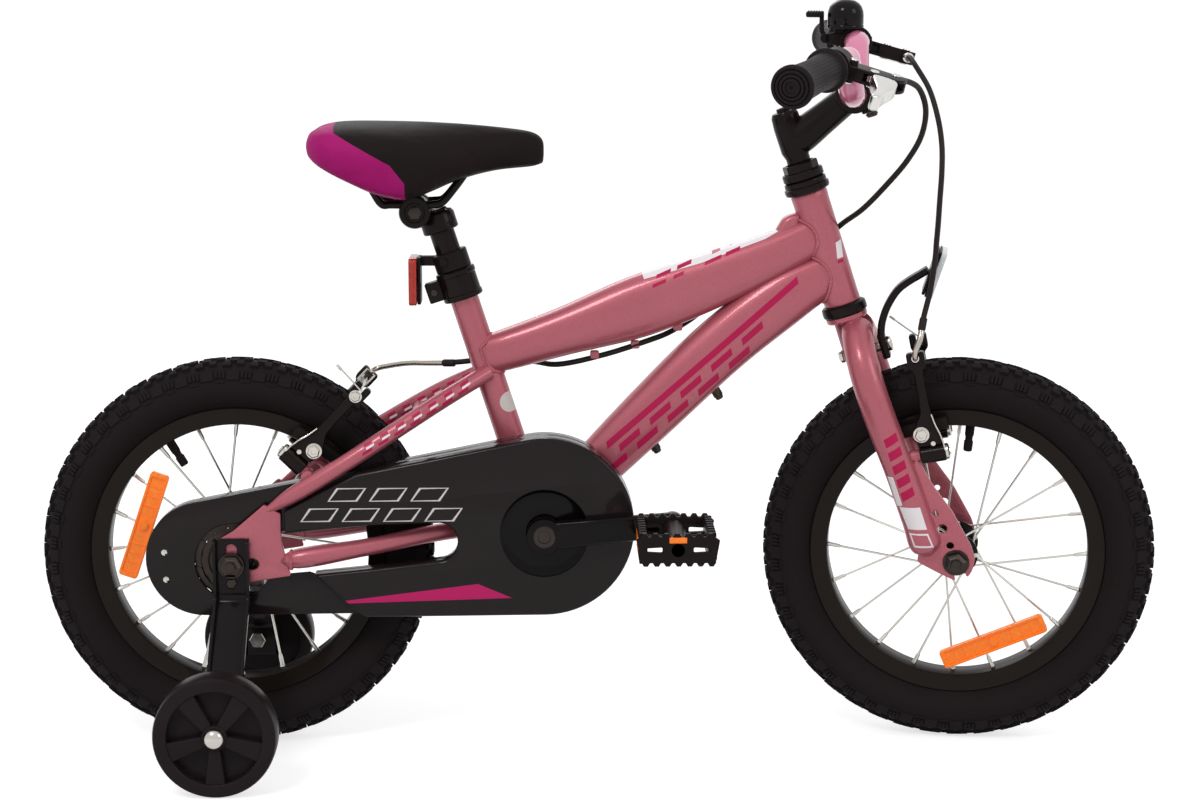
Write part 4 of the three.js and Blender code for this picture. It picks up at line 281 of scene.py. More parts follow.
def smoothed(points, steps, closed=False):
    """Points on the smooth line that runs through the given ones."""
    points = [Vector(p) for p in points]
    count = len(points)
    line = []
    for i in range(count if closed else count - 1):
        b, c = points[i], points[(i + 1) % count]
        a = points[i - 1] if closed or i else b * 2 - c
        d = points[(i + 2) % count] if closed or i + 2 < count else c * 2 - b
        knots = [0.0]
        for p, q in ((a, b), (b, c), (c, d)):
            knots.append(knots[-1] + max((q - p).length, 0.001) ** 0.5)
        k0, k1, k2, k3 = knots
        for step in range(steps):
            t = k1 + (k2 - k1) * step / steps
            ab = a.lerp(b, (t - k0) / (k1 - k0))
            bc = b.lerp(c, (t - k1) / (k2 - k1))
            cd = c.lerp(d, (t - k2) / (k3 - k2))
            first = ab.lerp(bc, (t - k0) / (k2 - k0))
            second = bc.lerp(cd, (t - k1) / (k3 - k1))
            line.append(first.lerp(second, (t - k1) / (k2 - k1)))
    return line if closed else line + [points[-1]]


def together(*shapes):
    """Several shapes as one mesh."""
    whole = bmesh.new()
    for shape in shapes:
        mesh = mesh_of("part", shape)
        whole.from_mesh(mesh)
        bpy.data.meshes.remove(mesh)
    return whole


def grouped(*groups):
    """Lists of shapes as one mesh: each list wears its own one of the piece's materials."""
    wholes = [together(*group) for group in groups]
    for index, whole in enumerate(wholes):
        for face in whole.faces:
            face.material_index = index
    return together(*wholes)


def piece(name, shape, place, finishes, body, slot, *stood_for, sharp=32):
    """Puts a shape made in millimetres into place as a piece, which rides on a body if one is named."""
    shape.transform(place)
    mesh = mesh_of(name, shape)
    mesh.shade_smooth()
    mesh.set_sharp_from_angle(angle=math.radians(sharp))
    for one in finishes if isinstance(finishes, list) else [finishes]:
        mesh.materials.append(one)
    made = placed(name, mesh)
    if body:
        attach(made, body)
    if stood_for:
        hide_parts(*stood_for)
    return made


def aimed(start, way):
    return Matrix.Translation(start) @ Vector(way).to_track_quat("Z", "Y").to_matrix().to_4x4()


def turned(profile, start=(0, 0, 0), way=(0, 0, 1), steps=40, ring=False):
    """A shape turned about a line: the profile lists (radius, way along)."""
    shape = bmesh.new()
    dots = [shape.verts.new((radius, 0, up)) for radius, up in profile]
    pairs = list(zip(dots, dots[1:])) + ([(dots[-1], dots[0])] if ring else [])
    lines = [shape.edges.new(pair) for pair in pairs]
    bmesh.ops.spin(
        shape, geom=dots + lines, cent=(0, 0, 0), axis=(0, 0, 1), angle=2 * math.pi, steps=steps,
        use_merge=True, dvec=(0, 0, 0),
    )
    bmesh.ops.remove_doubles(shape, verts=shape.verts, dist=0.0005)
    bmesh.ops.recalc_face_normals(shape, faces=shape.faces)
    shape.transform(aimed(start, way))
    return shape


def rod(start, end, radius, edge=0.0, steps=24):
    """A round bar with its rims eased off."""
    way = Vector(end) - Vector(start)
    length = way.length
    if not edge:
        profile = [(0, 0), (radius, 0), (radius, length), (0, length)]
    else:
        profile = [
            (0, 0), (radius - edge, 0), (radius - edge * 0.3, edge * 0.3), (radius, edge),
            (radius, length - edge), (radius - edge * 0.3, length - edge * 0.3), (radius - edge, length), (0, length),
        ]
    return turned(profile, start, way, steps)


def collar(inner, outer, half, ease, start, way, steps):
    """A sleeve about a place; ease is how far its outer rims are cut back, inward and along."""
    side, end = outer - ease[0], half - ease[1]
    profile = [(inner, -half), (side, -half), (outer, -end), (outer, end), (side, half), (inner, half)]
    return turned(profile, start, way, steps, ring=True)


def meshed(curve):
    holder = bpy.data.objects.new("holder", curve)
    mesh = bpy.data.meshes.new_from_object(holder)
    shape = bmesh.new()
    shape.from_mesh(mesh)
    bmesh.ops.remove_doubles(shape, verts=shape.verts, dist=0.0005)
    bpy.data.objects.remove(holder)
    bpy.data.curves.remove(curve)
    bpy.data.meshes.remove(mesh)
    return shape


def bent(points, radius, steps=6, sides=3, shares=None, closed=False):
    """A round bar that runs smoothly through points; shares of its radius may go with them."""
    curve = bpy.data.curves.new("bent", "CURVE")
    curve.dimensions = "3D"
    curve.bevel_depth = radius
    curve.bevel_resolution = sides
    curve.use_fill_caps = not closed
    shares = shares or [1] * len(points)
    line = smoothed([(*p, share) for p, share in zip(points, shares)], steps, closed)
    spline = curve.splines.new("POLY")
    spline.points.add(len(line) - 1)
    spline.use_cyclic_u = closed
    for dot, spot in zip(spline.points, line):
        dot.co = (*spot[:3], 1)
        dot.radius = spot[3]
    return meshed(curve)


def lofted(section, places):
    """A skin that is drawn out from place to place: the section lists its outline."""
    shape = bmesh.new()
    ring = [shape.verts.new(places[0] @ Vector(p)) for p in section]
    edges = [shape.edges.new(pair) for pair in zip(ring, ring[1:] + ring[:1])]
    bmesh.ops.contextual_create(shape, geom=edges)
    for before, place in zip(places, places[1:]):
        made = bmesh.ops.extrude_edge_only(shape, edges=edges)["geom"]
        ring = {g for g in made if isinstance(g, bmesh.types.BMVert)}
        edges = [g for g in made if isinstance(g, bmesh.types.BMEdge) and set(g.verts) <= ring]
        bmesh.ops.transform(shape, matrix=place @ before.inverted(), verts=list(ring))
    bmesh.ops.contextual_create(shape, geom=edges)
    bmesh.ops.recalc_face_normals(shape, faces=shape.faces)
    return shape


def around(count, shift=0.0):
    """Angles spread evenly over a full turn."""
    return [2 * math.pi * (k + shift) / count for k in range(count)]


def superround(roundness, count):
    """An outline between a circle and a square, one unit in radius."""

    def bulge(value):
        return math.copysign(abs(value) ** roundness, value)

    return [(bulge(math.cos(a)), bulge(math.sin(a)), 0) for a in around(count, 0.5)]


def oval(stations, roundness, steps=6):
    """A tube of oval section through (place, half depth, half width), its depth upward."""
    line = smoothed([(*centre, depth, width) for centre, depth, width in stations], steps)
    places = []
    for k, spot in enumerate(line):
        way = (Vector(line[min(k + 1, len(line) - 1)][:3]) - Vector(line[max(k - 1, 0)][:3])).normalized()
        depth = (Vector((0, 0, 1)) - way * way.z).normalized()
        wide = depth.cross(way)
        basis = Matrix((wide * spot[4], depth * spot[3], way)).transposed().to_4x4()
        places.append(Matrix.Translation(spot[:3]) @ basis)
    return lofted(superround(roundness, 36), places)


def plate(outlines, thickness, rounding, place, fine=2):
    """A flat plate with its rims rounded; outlines after the first are holes."""
    curve = bpy.data.curves.new("plate", "CURVE")
    curve.dimensions = "2D"
    curve.fill_mode = "BOTH"
    curve.extrude = thickness / 2 - rounding
    curve.bevel_depth = rounding
    curve.bevel_resolution = fine
    curve.offset = -rounding
    for outline in outlines:
        spline = curve.splines.new("POLY")
        spline.points.add(len(outline) - 1)
        spline.use_cyclic_u = True
        for dot, spot in zip(spline.points, outline):
            dot.co = (spot[0], spot[1], 0, 1)
    shape = meshed(curve)
    shape.transform(place)
    return shape


def at_side(out):
    """Stands a plate up in the bicycle's plane, that far out from the middle."""
    return Matrix.Translation((0, out, 0)) @ Matrix.Rotation(math.pi / 2, 4, "X")


def eased(points, radius, steps=4):
    """An outline with its corners rounded off."""
    points = [Vector(p[:2]) for p in points]
    line = []
    for k, corner in enumerate(points):
        before = points[k - 1] - corner
        after = points[(k + 1) % len(points)] - corner
        reach = min(radius, before.length * 0.49, after.length * 0.49)
        a = corner + before.normalized() * reach
        b = corner + after.normalized() * reach
        for step in range(steps + 1):
            t = step / steps
            line.append(a.lerp(corner, t).lerp(corner.lerp(b, t), t))
    return line


def polar(radius, angle):
    return Vector((radius * math.cos(angle), radius * math.sin(angle)))


def arc(centre, radius, first, last, count):
    """Points round a centre from one angle to another."""
    return [Vector(centre) + polar(radius, first + (last - first) * k / count) for k in range(count + 1)]


def disc(centre, radius, count=32):
    return arc(centre, radius, 0, 2 * math.pi, count)[:-1]


sides = (("right", -1), ("left", 1))
origin = (0, 0, 0)
leftward = (0, 1, 0)
rear_axle = Vector((-323, 0, 175))
head_lean = math.radians(17.9)
head_foot = Vector((216.51, 0, 397.33))
head_way = Vector((-math.sin(head_lean), 0, math.cos(head_lean)))
head_length = 103
bracket_centre = Vector((-49, 0, 203))
seat_lean = math.radians(18)
seat_way = Vector((-math.sin(seat_lean), 0, math.cos(seat_lean)))
seat_foot = Vector((-55, 0, 203))
seat_radius = 12.7
tube_roundness = 0.78


def head_point(up):
    return head_foot + head_way * up


def seat_point(up):
    return seat_foot + seat_way * up


def stations(start, end, shares, depth, width):
    span = end - start
    above = Vector((-span.z, 0, span.x))
    return [(start + span * s + above * lift, depth * d, width * w) for s, lift, d, w in shares]


top_stations = stations(
    seat_point(154.6), head_point(66),
    [
        (0, 0, 0.62, 0.62), (0.06, -0.004, 0.66, 0.84), (0.23, -0.012, 0.77, 0.95), (0.46, -0.019, 1, 1),
        (0.7, -0.02, 0.88, 1), (0.9, -0.01, 0.7, 0.88), (0.985, 0, 0.62, 0.76),
    ],
    27.7, 19,
)
down_stations = stations(
    bracket_centre, head_point(30),
    [
        (0, 0, 0.72, 0.9), (0.375, 0.0275, 0.94, 1), (0.665, 0.042, 1, 1), (0.86, 0.03, 0.95, 0.9),
        (0.985, 0.006, 0.72, 0.76),
    ],
    26.2, 19,
)


bead_radius = 1.5
bead_ripple = 0.14
head_radius = 16.4


def bead(points):
    """A weld bead: a ring of small overlapping ripples along a joint."""
    line = smoothed(points, 6, closed=True)
    shares = [1 + (bead_ripple if k % 2 else -bead_ripple) for k in range(len(line))]
    return bent(line, bead_radius, 1, 2, shares, closed=True)


def joint_ring(centre, depth, width, way, axis_point, axis_way, radius):
    """Where an oval tube meets a round one: its outline pushed along way on to the round tube."""
    depth_way = (Vector((0, 0, 1)) - way * way.z).normalized()
    wide_way = depth_way.cross(way)
    ring = []
    for x, y, _ in superround(tube_roundness, 28):
        spot = centre + wide_way * (x * width) + depth_way * (y * depth)
        away = spot - axis_point
        flat = away - axis_way * away.dot(axis_way)
        along = way - axis_way * way.dot(axis_way)
        a, b, c = along.dot(along), 2 * flat.dot(along), flat.dot(flat) - radius * radius
        root = math.sqrt(max(b * b - 4 * a * c, 0.0))
        ring.append(spot - way * ((b + root) / (2 * a)))
    return ring


top_way = (top_stations[-1][0] - top_stations[0][0]).normalized()
down_way = (down_stations[-1][0] - down_stations[-2][0]).normalized()
bore_profile = [
    (14.9, 0), (15.9, 0), (16.4, 1.2), (16.4, 5), (16.2, 7), (16.2, 96), (16.4, 98), (16.4, 101.8), (15.9, 103),
    (14.9, 103),
]
hood = [(150, 452), (163, 474), (172, 477), (178, 478), (178, 440), (160, 440)]
seat_bead = [seat_point(17) + Vector((13 * math.cos(a), 13 * math.sin(a), -4 * math.cos(a))) for a in around(16)]
painted_joints = together(
    turned(bore_profile, head_foot, head_way, 48, ring=True),
    plate([eased(hood, 8)], 17, 5, at_side(0)),
    collar(17.2, 20, 34, (0.6, 0.6), bracket_centre, leftward, 48),
    bead(joint_ring(top_stations[-1][0], 18.2, 15.4, top_way, head_foot, head_way, head_radius)),
    bead(joint_ring(down_stations[-1][0], 21, 15.8, down_way, head_foot, head_way, head_radius)),
    bead(joint_ring(top_stations[1][0], 17.6, 14.4, -top_way, seat_foot, seat_way, seat_radius)),
    bead(seat_bead),
)
plain_paint = pearl("pearl pink paint")


def badge(f):
    x, y, z = f.spot().parts()
    right = y < 0.0
    pale = inside(x, z, [(209.6, 438), (215.2, 439.4), (213.3, 454.7), (208.1, 452.1)])
    red = inside(x, z, [(210.2, 433.5), (215.4, 435.3), (215.2, 438), (209.8, 436.6)])
    return [(pale * right, transfer_white), (red * right, crimson)]


piece("frame_joints", painted_joints, bike, pearl("joint paint", badge), "frame", "frame_pink", "frame")


def top_transfer(f):
    x, _, z = f.spot().parts()
    corners = [(39.4, 420.1), (88.7, 434.2), (145.9, 455.3), (157.3, 461.5), (157.1, 480), (90, 474), (30, 446)]
    band = inside(x, z, corners)
    rear_line = ((-56, 385.1), (36, 425.9))
    line = bars(f, *rear_line, 0.3, [(0, 98, 0.2, 1.4)])
    low_blocks = [(start, end, 0, 3) for start, end in ((0, 13), (20, 30), (50, 66), (70, 84))]
    high_blocks = [(start, end, 6, 9) for start, end in ((2, 16), (22, 36), (56, 64), (74, 92))]
    blocks = bars(f, (46.4, 412.5), (143, 453.9), 0.7, low_blocks + high_blocks)
    dash_ends = ((4, 14), (24, 48), (54, 62), (72, 96))
    dashes = bars(f, *rear_line, 0.7, [(start, end, 2.6, 4) for start, end in dash_ends])
    return [(band | line, transfer_white), (blocks | dashes, crimson)]


def down_transfer(f):
    """A long bar along the top, and two rows of equal dashes under it."""
    pitch, dash = 36, 24
    rows = [(0, 224, -5.8, 0)]
    for first, low, high in ((12, -15, -9.2), (-6, -24.2, -18.4)):
        rows += [(first + pitch * k, first + pitch * k + dash, low, high) for k in range(5)]
    return [(bars(f, (5.8, 275), (169.7, 418.7), 0.55, rows), crimson)]


def seat_transfer(f):
    """A pale round spot on the tube's right side."""
    spot_radius = 0.009
    along, out, up = f.measured(bike @ Vector((-79.4, 0, 310.5)), (0, -seat_lean, 0)).parts()
    return [((along * along + up * up < spot_radius**2) * (out < 0.0), tint("#d9cfcd"))]


piece(
    "frame_top_tube", oval(top_stations, tube_roundness), bike, pearl("top tube paint", top_transfer), "frame",
    "frame_pink", "frame",
)
piece(
    "frame_down_tube", oval(down_stations, tube_roundness), bike, pearl("down tube paint", down_transfer), "frame",
    "frame_pink", "frame",
)
seat_tube_profile = [(11.4, 105), (11.4, 222), (12.2, 222), (12.7, 221.4), (12.7, 0), (0, 0), (0, 105)]
seat_tube = turned(seat_tube_profile, seat_foot, seat_way)
piece("frame_seat_tube", seat_tube, bike, pearl("seat tube paint", seat_transfer), "frame", "frame_pink", "frame")

# Rear triangle: two seat stays and two chain stays run back on each side of the tyre to plates
# that hold the axle in open slots. Bridges tie the sides; the brake turns on two pins.
stay_end = 58.5
seat_stay_top = seat_point(141)
seat_stay_foot = rear_axle + Vector((31.02, 0, 47.6))
chain_stay_top = bracket_centre - Vector((10, 0, 0))
chain_stay_foot = rear_axle + Vector((31.02, 0, 1.4))
boss_half = 43
brake_lean = math.radians(46)
brake_way = Vector((-math.sin(brake_lean), 0, math.cos(brake_lean)))
brake_foot = seat_stay_top.lerp(seat_stay_foot, 0.787)
dropout = [
    (-336.2, 196), (-321.68, 204.4), (-293.96, 228.2), (-279.44, 219.8), (-279.44, 196), (-271.52, 164.5),
    (-308.48, 158.9), (-326.3, 168.6), (-333, 169.8), (-304.5, 169.8), (-300.6, 171.4), (-299, 175),
    (-300.6, 178.6), (-304.5, 180.2), (-336.2, 180.2),
]
seat_stay_shares = [(0, 0, 0.17), (0.22, 0.02, 0.6), (0.42, 0.018, 0.85), (0.65, 0.006, 0.99), (0.9, 0, 1), (1, 0, 1)]
chain_stay_shares = [
    (0, 0, 0.34), (0.18, 0.012, 0.42), (0.38, 0.02, 0.67), (0.62, 0.008, 0.87), (0.91, 0, 1), (0.95, 0, 1),
]
clip_spots = [(-4, 351), (32, 360), (70, 376)]


def stay(start, end, shares, side, radius, ends):
    span = end - start
    above = Vector((abs(span.z), 0, abs(span.x)))
    spots = []
    for share, lift, spread in shares:
        spot = start + span * share + above * lift
        spots.append((spot.x, side * stay_end * spread, spot.z))
    return bent(spots, radius, 8, 5, ends)


def stay_transfer(f):
    marks = [
        (16 * k + shift, 16 * k + shift + long, low, low + 2.4)
        for k in range(7) for shift, long, low in ((0, 10, -3.8), (2, 8, 1.6))
    ]
    pale = [(16 * k + 4, 16 * k + 12, -0.9, 1.0) for k in range(7)]
    line = ((-207.3, 275.9), (-113.3, 330.6))
    return [(bars(f, *line, 0.5, pale), transfer_white), (bars(f, *line, 0.5, marks), crimson)]


def metal(name, shade, roughness, grain=60.0):
    """Bare or plated metal with fine brushing and a little dullness in random cloudy patches."""
    f = Finish(name)
    streak = f.noise(grain * 20, 2.0)
    cloud = f.noise(grain, 3.0)
    dull = tuple(c * 0.62 for c in shade[:3]) + (1,)
    return f.made(
        base_color=f.over(shade, dull, cloud * 0.5), metallic=1.0,
        roughness=cloud.range(roughness * 0.8, roughness * 1.3), normal=streak.bump(0.00003),
    )


def brake_bolt(foot, way):
    """The pin on a brake boss, with its washer and hexagon head."""
    end = foot + way * 38.6
    washer = [(3.4, 3.2), (5.6, 3.2), (7, 2.2), (7, 0), (0, 0), (0, 2.2), (3.2, 2.2)]
    return together(
        rod(foot + way * 14, end, 4.0, 0.4),
        turned([(0, 4), (3.2, 4), (3.2, 1.6), (0, 1.2)], end - way * 1.6, way, 6),
        turned(washer, end - way * 2, way, 32),
    )


bright_steel = metal("bright plated steel", tint("#c9c5be"), 0.2)
dull_steel = metal("greasy dark steel", tint("#3c3633"), 0.36)
stay_paint = pearl("stay paint", stay_transfer)
for side_name, side in sides:
    lug_foot = Vector((brake_foot.x, side * boss_half, brake_foot.z))
    lug_mid = brake_foot + brake_way * 7
    weld = [(-271, side * (stay_end + 7.7 * math.cos(a)), 178.6 + 7.7 * math.sin(a)) for a in around(12)]
    parts = [
        stay(chain_stay_top, chain_stay_foot, chain_stay_shares, side, 7.75, [1, 1, 1, 1, 1, 0.3]),
        bead(weld),
        plate([eased(dropout, 1.6)], 5, 1.0, at_side(side * stay_end)),
        rod((lug_mid.x, side * 40, lug_mid.z), (lug_mid.x, side * 57, lug_mid.z), 5.6, 1.0),
        rod(lug_foot - brake_way * 5.5, lug_foot + brake_way * 14, 5.5, 0.6),
    ]
    piece("frame_chain_stay_" + side_name, together(*parts), bike, plain_paint, "frame", "frame_pink", "frame")
    stay_shape = stay(seat_stay_top, seat_stay_foot, seat_stay_shares, side, 7.5, [1, 1, 1, 1, 0.94, 0.36])
    piece("frame_seat_stay_" + side_name, stay_shape, bike, stay_paint, "frame", "frame_pink", "frame")
    bolt = brake_bolt(lug_foot, brake_way)
    piece("rear_brake_bolt_" + side_name, bolt, bike, bright_steel, "frame", "steel")
bridge = seat_stay_top.lerp(seat_stay_foot, 0.33)
bridges = [
    rod((bridge.x, -41, bridge.z), (bridge.x, 41, bridge.z), 5, 0.5),
    rod((-124, -33, 203), (-124, 33, 203), 6, 0.5),
]
for x, z in clip_spots:
    clip = eased([(x - 4, z - 3.4), (x + 4, z - 3.4), (x + 4, z + 4), (x - 4, z + 4)], 2)
    bridges.append(plate([clip], 7, 1.2, at_side(0)))
piece("frame_bridges", together(*bridges), bike, plain_paint, "frame", "frame_pink", "frame")
under_tube = []
out = Vector((down_way.z, 0, -down_way.x))
for share in (0.36, 0.58):
    spot = down_stations[0][0].lerp(down_stations[-1][0], share)
    under_tube += [
        rod(spot + out * 10, spot + out * 20.5, 4.4, 0.5),
        turned([(0, 0), (3.6, 0), (3.6, 2), (2.6, 3), (0, 3)], spot + out * 20.5, out, 20),
    ]
piece("frame_bottle_bolts", together(*under_tube), bike, dull_steel, "frame", "dark_steel")

# Headset: pressed steel cups with rolled rims, and a locknut with flats, enamelled black.
def enamel(name, shade, roughness=0.22, coat=0.096, lump=0.00005, spread=0.5):
    """Black baked enamel or moulded gloss plastic, with faint orange peel and dust."""
    f = Finish(name)
    dust = f.noise(38.0, 4.0)
    paler = tuple(min(c * 1.8 + 0.004, 1) for c in shade[:3]) + (1,)
    return f.made(
        base_color=f.over(shade, paler, dust * spread), roughness=dust.range(roughness * 0.8, roughness * 1.35),
        coat_weight=coat, coat_roughness=0.05, specular_ior_level=0.06, normal=f.noise(520.0, 2.0).bump(lump),
    )


black_enamel = enamel("black enamel", tint("#150d0c"))
top_of_head = head_point(head_length)
upper_cup = [
    (13.2, 12.7), (16.5, 12.7), (18.6, 11.6), (19, 9), (18.6, 7.5), (20.1, 6.6), (20.3, 4), (19.6, 1.6), (17, 0.3),
    (14.6, 0.3), (14.6, -10), (13.2, -10),
]
lower_cup = [
    (13.2, 10.3), (18.6, 10.3), (20, 9.2), (20.3, 6), (20, 2.2), (18.4, 0.8), (16.8, 0.3), (14.6, 0.3), (14.6, -10),
    (13.2, -10),
]
piece(
    "headset_upper", turned(upper_cup, top_of_head, head_way, 48, ring=True), bike, black_enamel, "frame",
    "black_paint", "headset_upper_cup",
)
piece(
    "headset_lower", turned(lower_cup, head_foot, -head_way, 48, ring=True), bike, black_enamel, "frame",
    "black_paint", "headset_lower_cup",
)

# Fork: a steerer, two legs bent out over the tyre, pressed plates for the axle, brake pins.
# All that turns with the bars is placed in the steering's own axes: forward, left and up.
bar_turn = math.radians(-10)
steered = (
    bike @ Matrix.Translation(head_foot) @ Matrix.Rotation(-head_lean, 4, "Y") @ Matrix.Rotation(bar_turn, 4, "Z")
)
fork_drop = 244.3
front_axle = Vector((33, 0, -fork_drop))
leg_shares = [
    (0, 0.2, 0, 1), (0.035, 0.53, 0, 1), (0.115, 0.83, -0.1, 1), (0.24, 0.98, -0.1, 1), (0.4, 1, 0.13, 1),
    (0.6, 1, 0.62, 1), (0.84, 1, 0.92, 1), (0.965, 1, 1, 0.93), (1, 1, 1, 0.3),
]
front_brake_lean = math.radians(6.3)
front_brake_up = Vector((math.sin(front_brake_lean), 0, math.cos(front_brake_lean)))
front_brake_way = Vector((front_brake_up.z, 0, -front_brake_up.x))
front_brake_foot = Vector((16.5, 0, -141.8))
plate_bottom = -fork_drop - 17.7
fork_holes = [((28.05, 65.1275), 2.75), ((30.09, 50.19), 4.25), ((32.385, 33.46), 3.25)]
fork_plate = [
    (14.28, 102.77), (26.52, 119.5), (33.66, 89.625), (42.84, 63.335), (49.98, 28.68), (49.98, 15.535),
    (44.37, 5.975), (38, 1), (38, 17.7), (36.6, 21.3), (33, 22.7), (29.4, 21.3), (28, 17.7), (28, 1),
    (15.81, 11.95), (0, 27.485), (7.14, 40.63),
]


def fork_transfer(f):
    """Down each leg's outside a row of crimson blocks, a white slanted block and an outlined one."""
    x, out, z = f.measured(steered.translation, tuple(steered.to_3x3().normalized().to_euler())).parts()
    inner_face = 0.05
    outer = out * out > inner_face**2
    blocks = []
    for foot in [12.6 * k - 176 for k in range(5)]:
        blocks.append(inside(x, z, [(5, foot), (17, foot + 3), (17, foot + 11), (5, foot + 8)]))
    framed = inside(x, z, [(2.6, -218.5), (19.4, -223.2), (18, -209.5), (2, -205)])
    middle = inside(x, z, [(4, -217), (17.8, -221), (16.8, -210.8), (3.5, -206.8)])
    pale = [
        inside(x, z, [(2.2, -201.3), (18.2, -205.8), (18, -185), (0.4, -180)]),
        inside(x, z, [(-1.3, -179.5), (3.6, -179.2), (3.2, -152.5), (-1.9, -151.1)]),
        framed * (1 - middle),
    ]
    return [(either(pale) * outer, transfer_white), (either(blocks) * outer, crimson)]


fork_body = [
    turned([(11.4, 127), (12.3, 127), (12.7, 126.5), (12.7, -45), (11.4, -45)], steps=32, ring=True),
    turned([(0, -15.6), (17.6, -15.6), (18.6, -14.4), (18.6, -10.8), (18, -10.6), (0, -10.6)]),
    turned([(0, -60), (10, -60), (12.7, -57), (12.7, -15.6), (0, -15.6)], steps=32),
]
for _, side in sides:
    leg_points = [(6 + 6 * ahead, side * 46 * out, -26 - 206 * down) for down, out, ahead, _ in leg_shares]
    base = Vector((front_brake_foot.x, side * boss_half, front_brake_foot.z))
    leg_side = at_side(side * 46) @ Matrix.Translation((0, plate_bottom, 0))
    fork_body += [
        bent(leg_points, 14, 8, 7, [share for *_, share in leg_shares]),
        plate([eased(fork_plate, 3.5), *[disc(spot, r, 20) for spot, r in fork_holes]], 5, 1.0, leg_side),
        rod(base - front_brake_way * 5.5, base + front_brake_way * 14, 5.5, 0.6),
    ]
fork_paint = pearl("fork paint", fork_transfer)
piece("fork_body", together(*fork_body), steered, fork_paint, "steering", "frame_pink", "fork")
locknut = together(
    turned([(13.2, 116), (17.6, 116), (18.4, 116.8), (18.4, 122), (17.4, 123.2), (13.2, 123.2)], steps=48, ring=True),
    turned([(13.2, 123), (15.4, 123), (15.8, 123.6), (15.8, 129.8), (15, 130.5), (13.2, 130.5)], steps=8, ring=True),
)
piece("headset_nut", locknut, steered, black_enamel, "steering", "black_paint", "headset_locknut", sharp=20)
for side_name, side in sides:
    bolt = brake_bolt(Vector((front_brake_foot.x, side * boss_half, front_brake_foot.z)), front_brake_way)
    piece("front_brake_bolt_" + side_name, bolt, steered, bright_steel, "steering", "steel")

# Wheels: knobbly black tyres on black painted rims, twenty bright spokes laced to each black
# hub, an amber reflector clipped to the spokes, and axle nuts dark with oil.
tyre_steps = 132
tread_pitches = 44
tread_step = 2 * math.pi / tread_pitches
tyre_outline = [
    (124.5, 11.6), (125.6, 12.2), (131.3, 12.2), (133.6, 15.4), (139.5, 21.8), (148.5, 25.4), (156.5, 24.4),
    (164, 20.2), (169.4, 13.6), (171.6, 7), (172.2, 0),
]
tyre_inside = [(168.6, 0), (166, 12.4), (159, 19.6), (149, 21.4), (140, 18.2), (133, 12), (126, 7.8), (124.5, 8)]
tread_blocks = [  # radius, way out, lean, length, width, height, share of the pitch
    (161.4, 21.4, 0.95, 12.4, 11, 3.4, 0), (171.5, 6.6, 0.16, 9.5, 7.2, 5.4, 0),
    (169.4, 13.4, 0.42, 8.2, 6.2, 5.2, 0.25), (172.1, 3.6, 0.05, 7.6, 5.6, 4.8, 0.52),
    (170.4, 12.0, 0.36, 7.0, 6.6, 5.0, 0.76), (162.4, 21.0, 0.95, 2.4, 8.5, 3.2, 0.36),
    (162.4, 21.0, 0.95, 2.4, 8.5, 3.2, 0.5), (162.4, 21.0, 0.95, 2.4, 8.5, 3.2, 0.64),
    (156.4, 24.2, 1.3, 9.4, 1.8, 2.0, 0.5),
]


def tread_block(side, radius, out, lean, length, width, height, share):
    """One rubber block standing on the tyre at an angle from its crown."""
    shape = bmesh.new()
    bmesh.ops.create_cube(shape, size=1)
    top = [v for v in shape.verts if v.co.x > 0]
    bmesh.ops.scale(shape, vec=(1, 0.82, 0.86), verts=top)
    place = Matrix.Translation((radius, side * out, 0)) @ Matrix.Rotation(side * lean, 4, "Z")
    size = Matrix.Diagonal((height, width, length, 1))
    shape.transform(Matrix.Rotation(-tread_step * share, 4, "Y") @ place @ size)
    return shape


def tread():
    """All blocks of the tread, laid in pitches round the tyre."""
    pitch = together(*[tread_block(side, *row) for side in (-1, 1) for row in tread_blocks])
    bmesh.ops.spin(
        pitch, geom=pitch.verts[:] + pitch.edges[:] + pitch.faces[:], cent=origin, axis=leftward,
        angle=tread_step * (tread_pitches - 1), steps=tread_pitches - 1, use_duplicate=True, dvec=origin,
    )
    return pitch


def rubber(name, shade, paler, scale=300.0, roughness=0.72):
    """Moulded rubber: matt, a little grey where it is dusty."""
    f = Finish(name)
    dust = f.noise(26.0, 5.0)
    grain = f.noise(scale, 3.0)
    return f.made(
        base_color=f.over(shade, paler, dust * 0.7), roughness=dust.range(roughness, roughness + 0.2),
        specular_ior_level=0.12, normal=grain.bump(0.00012),
    )


tyre_rubber = rubber("tyre rubber", tint("#161112"), tint("#262021"))
rim_enamel = enamel("rim enamel", tint("#1a1411"), 0.3, 0.064)
hub_enamel = enamel("hub enamel", tint("#14100f"), 0.25, 0.08)
spoke_steel = metal("spoke steel", tint("#cfccc6"), 0.28)


def lens(name, shade, glow, painted_glow_strength=0.0):
    """Moulded reflector lens: clear gloss over a backing of small prisms. Its colour also emits at the strength given
    last, a painted glow that stands in for the light the prisms send back.
    """
    f = Finish(name)
    prisms = f.cells(420.0)
    base = f.over(shade, glow, prisms * 0.5 + f.noise(60.0, 2.0) * 0.2)
    return f.made(
        base_color=base, roughness=0.14, coat_weight=0.35, coat_roughness=0.03, specular_ior_level=0.2,
        emission_color=base, emission_strength=painted_glow_strength, normal=prisms.bump(0.0004, 0.35),
    )
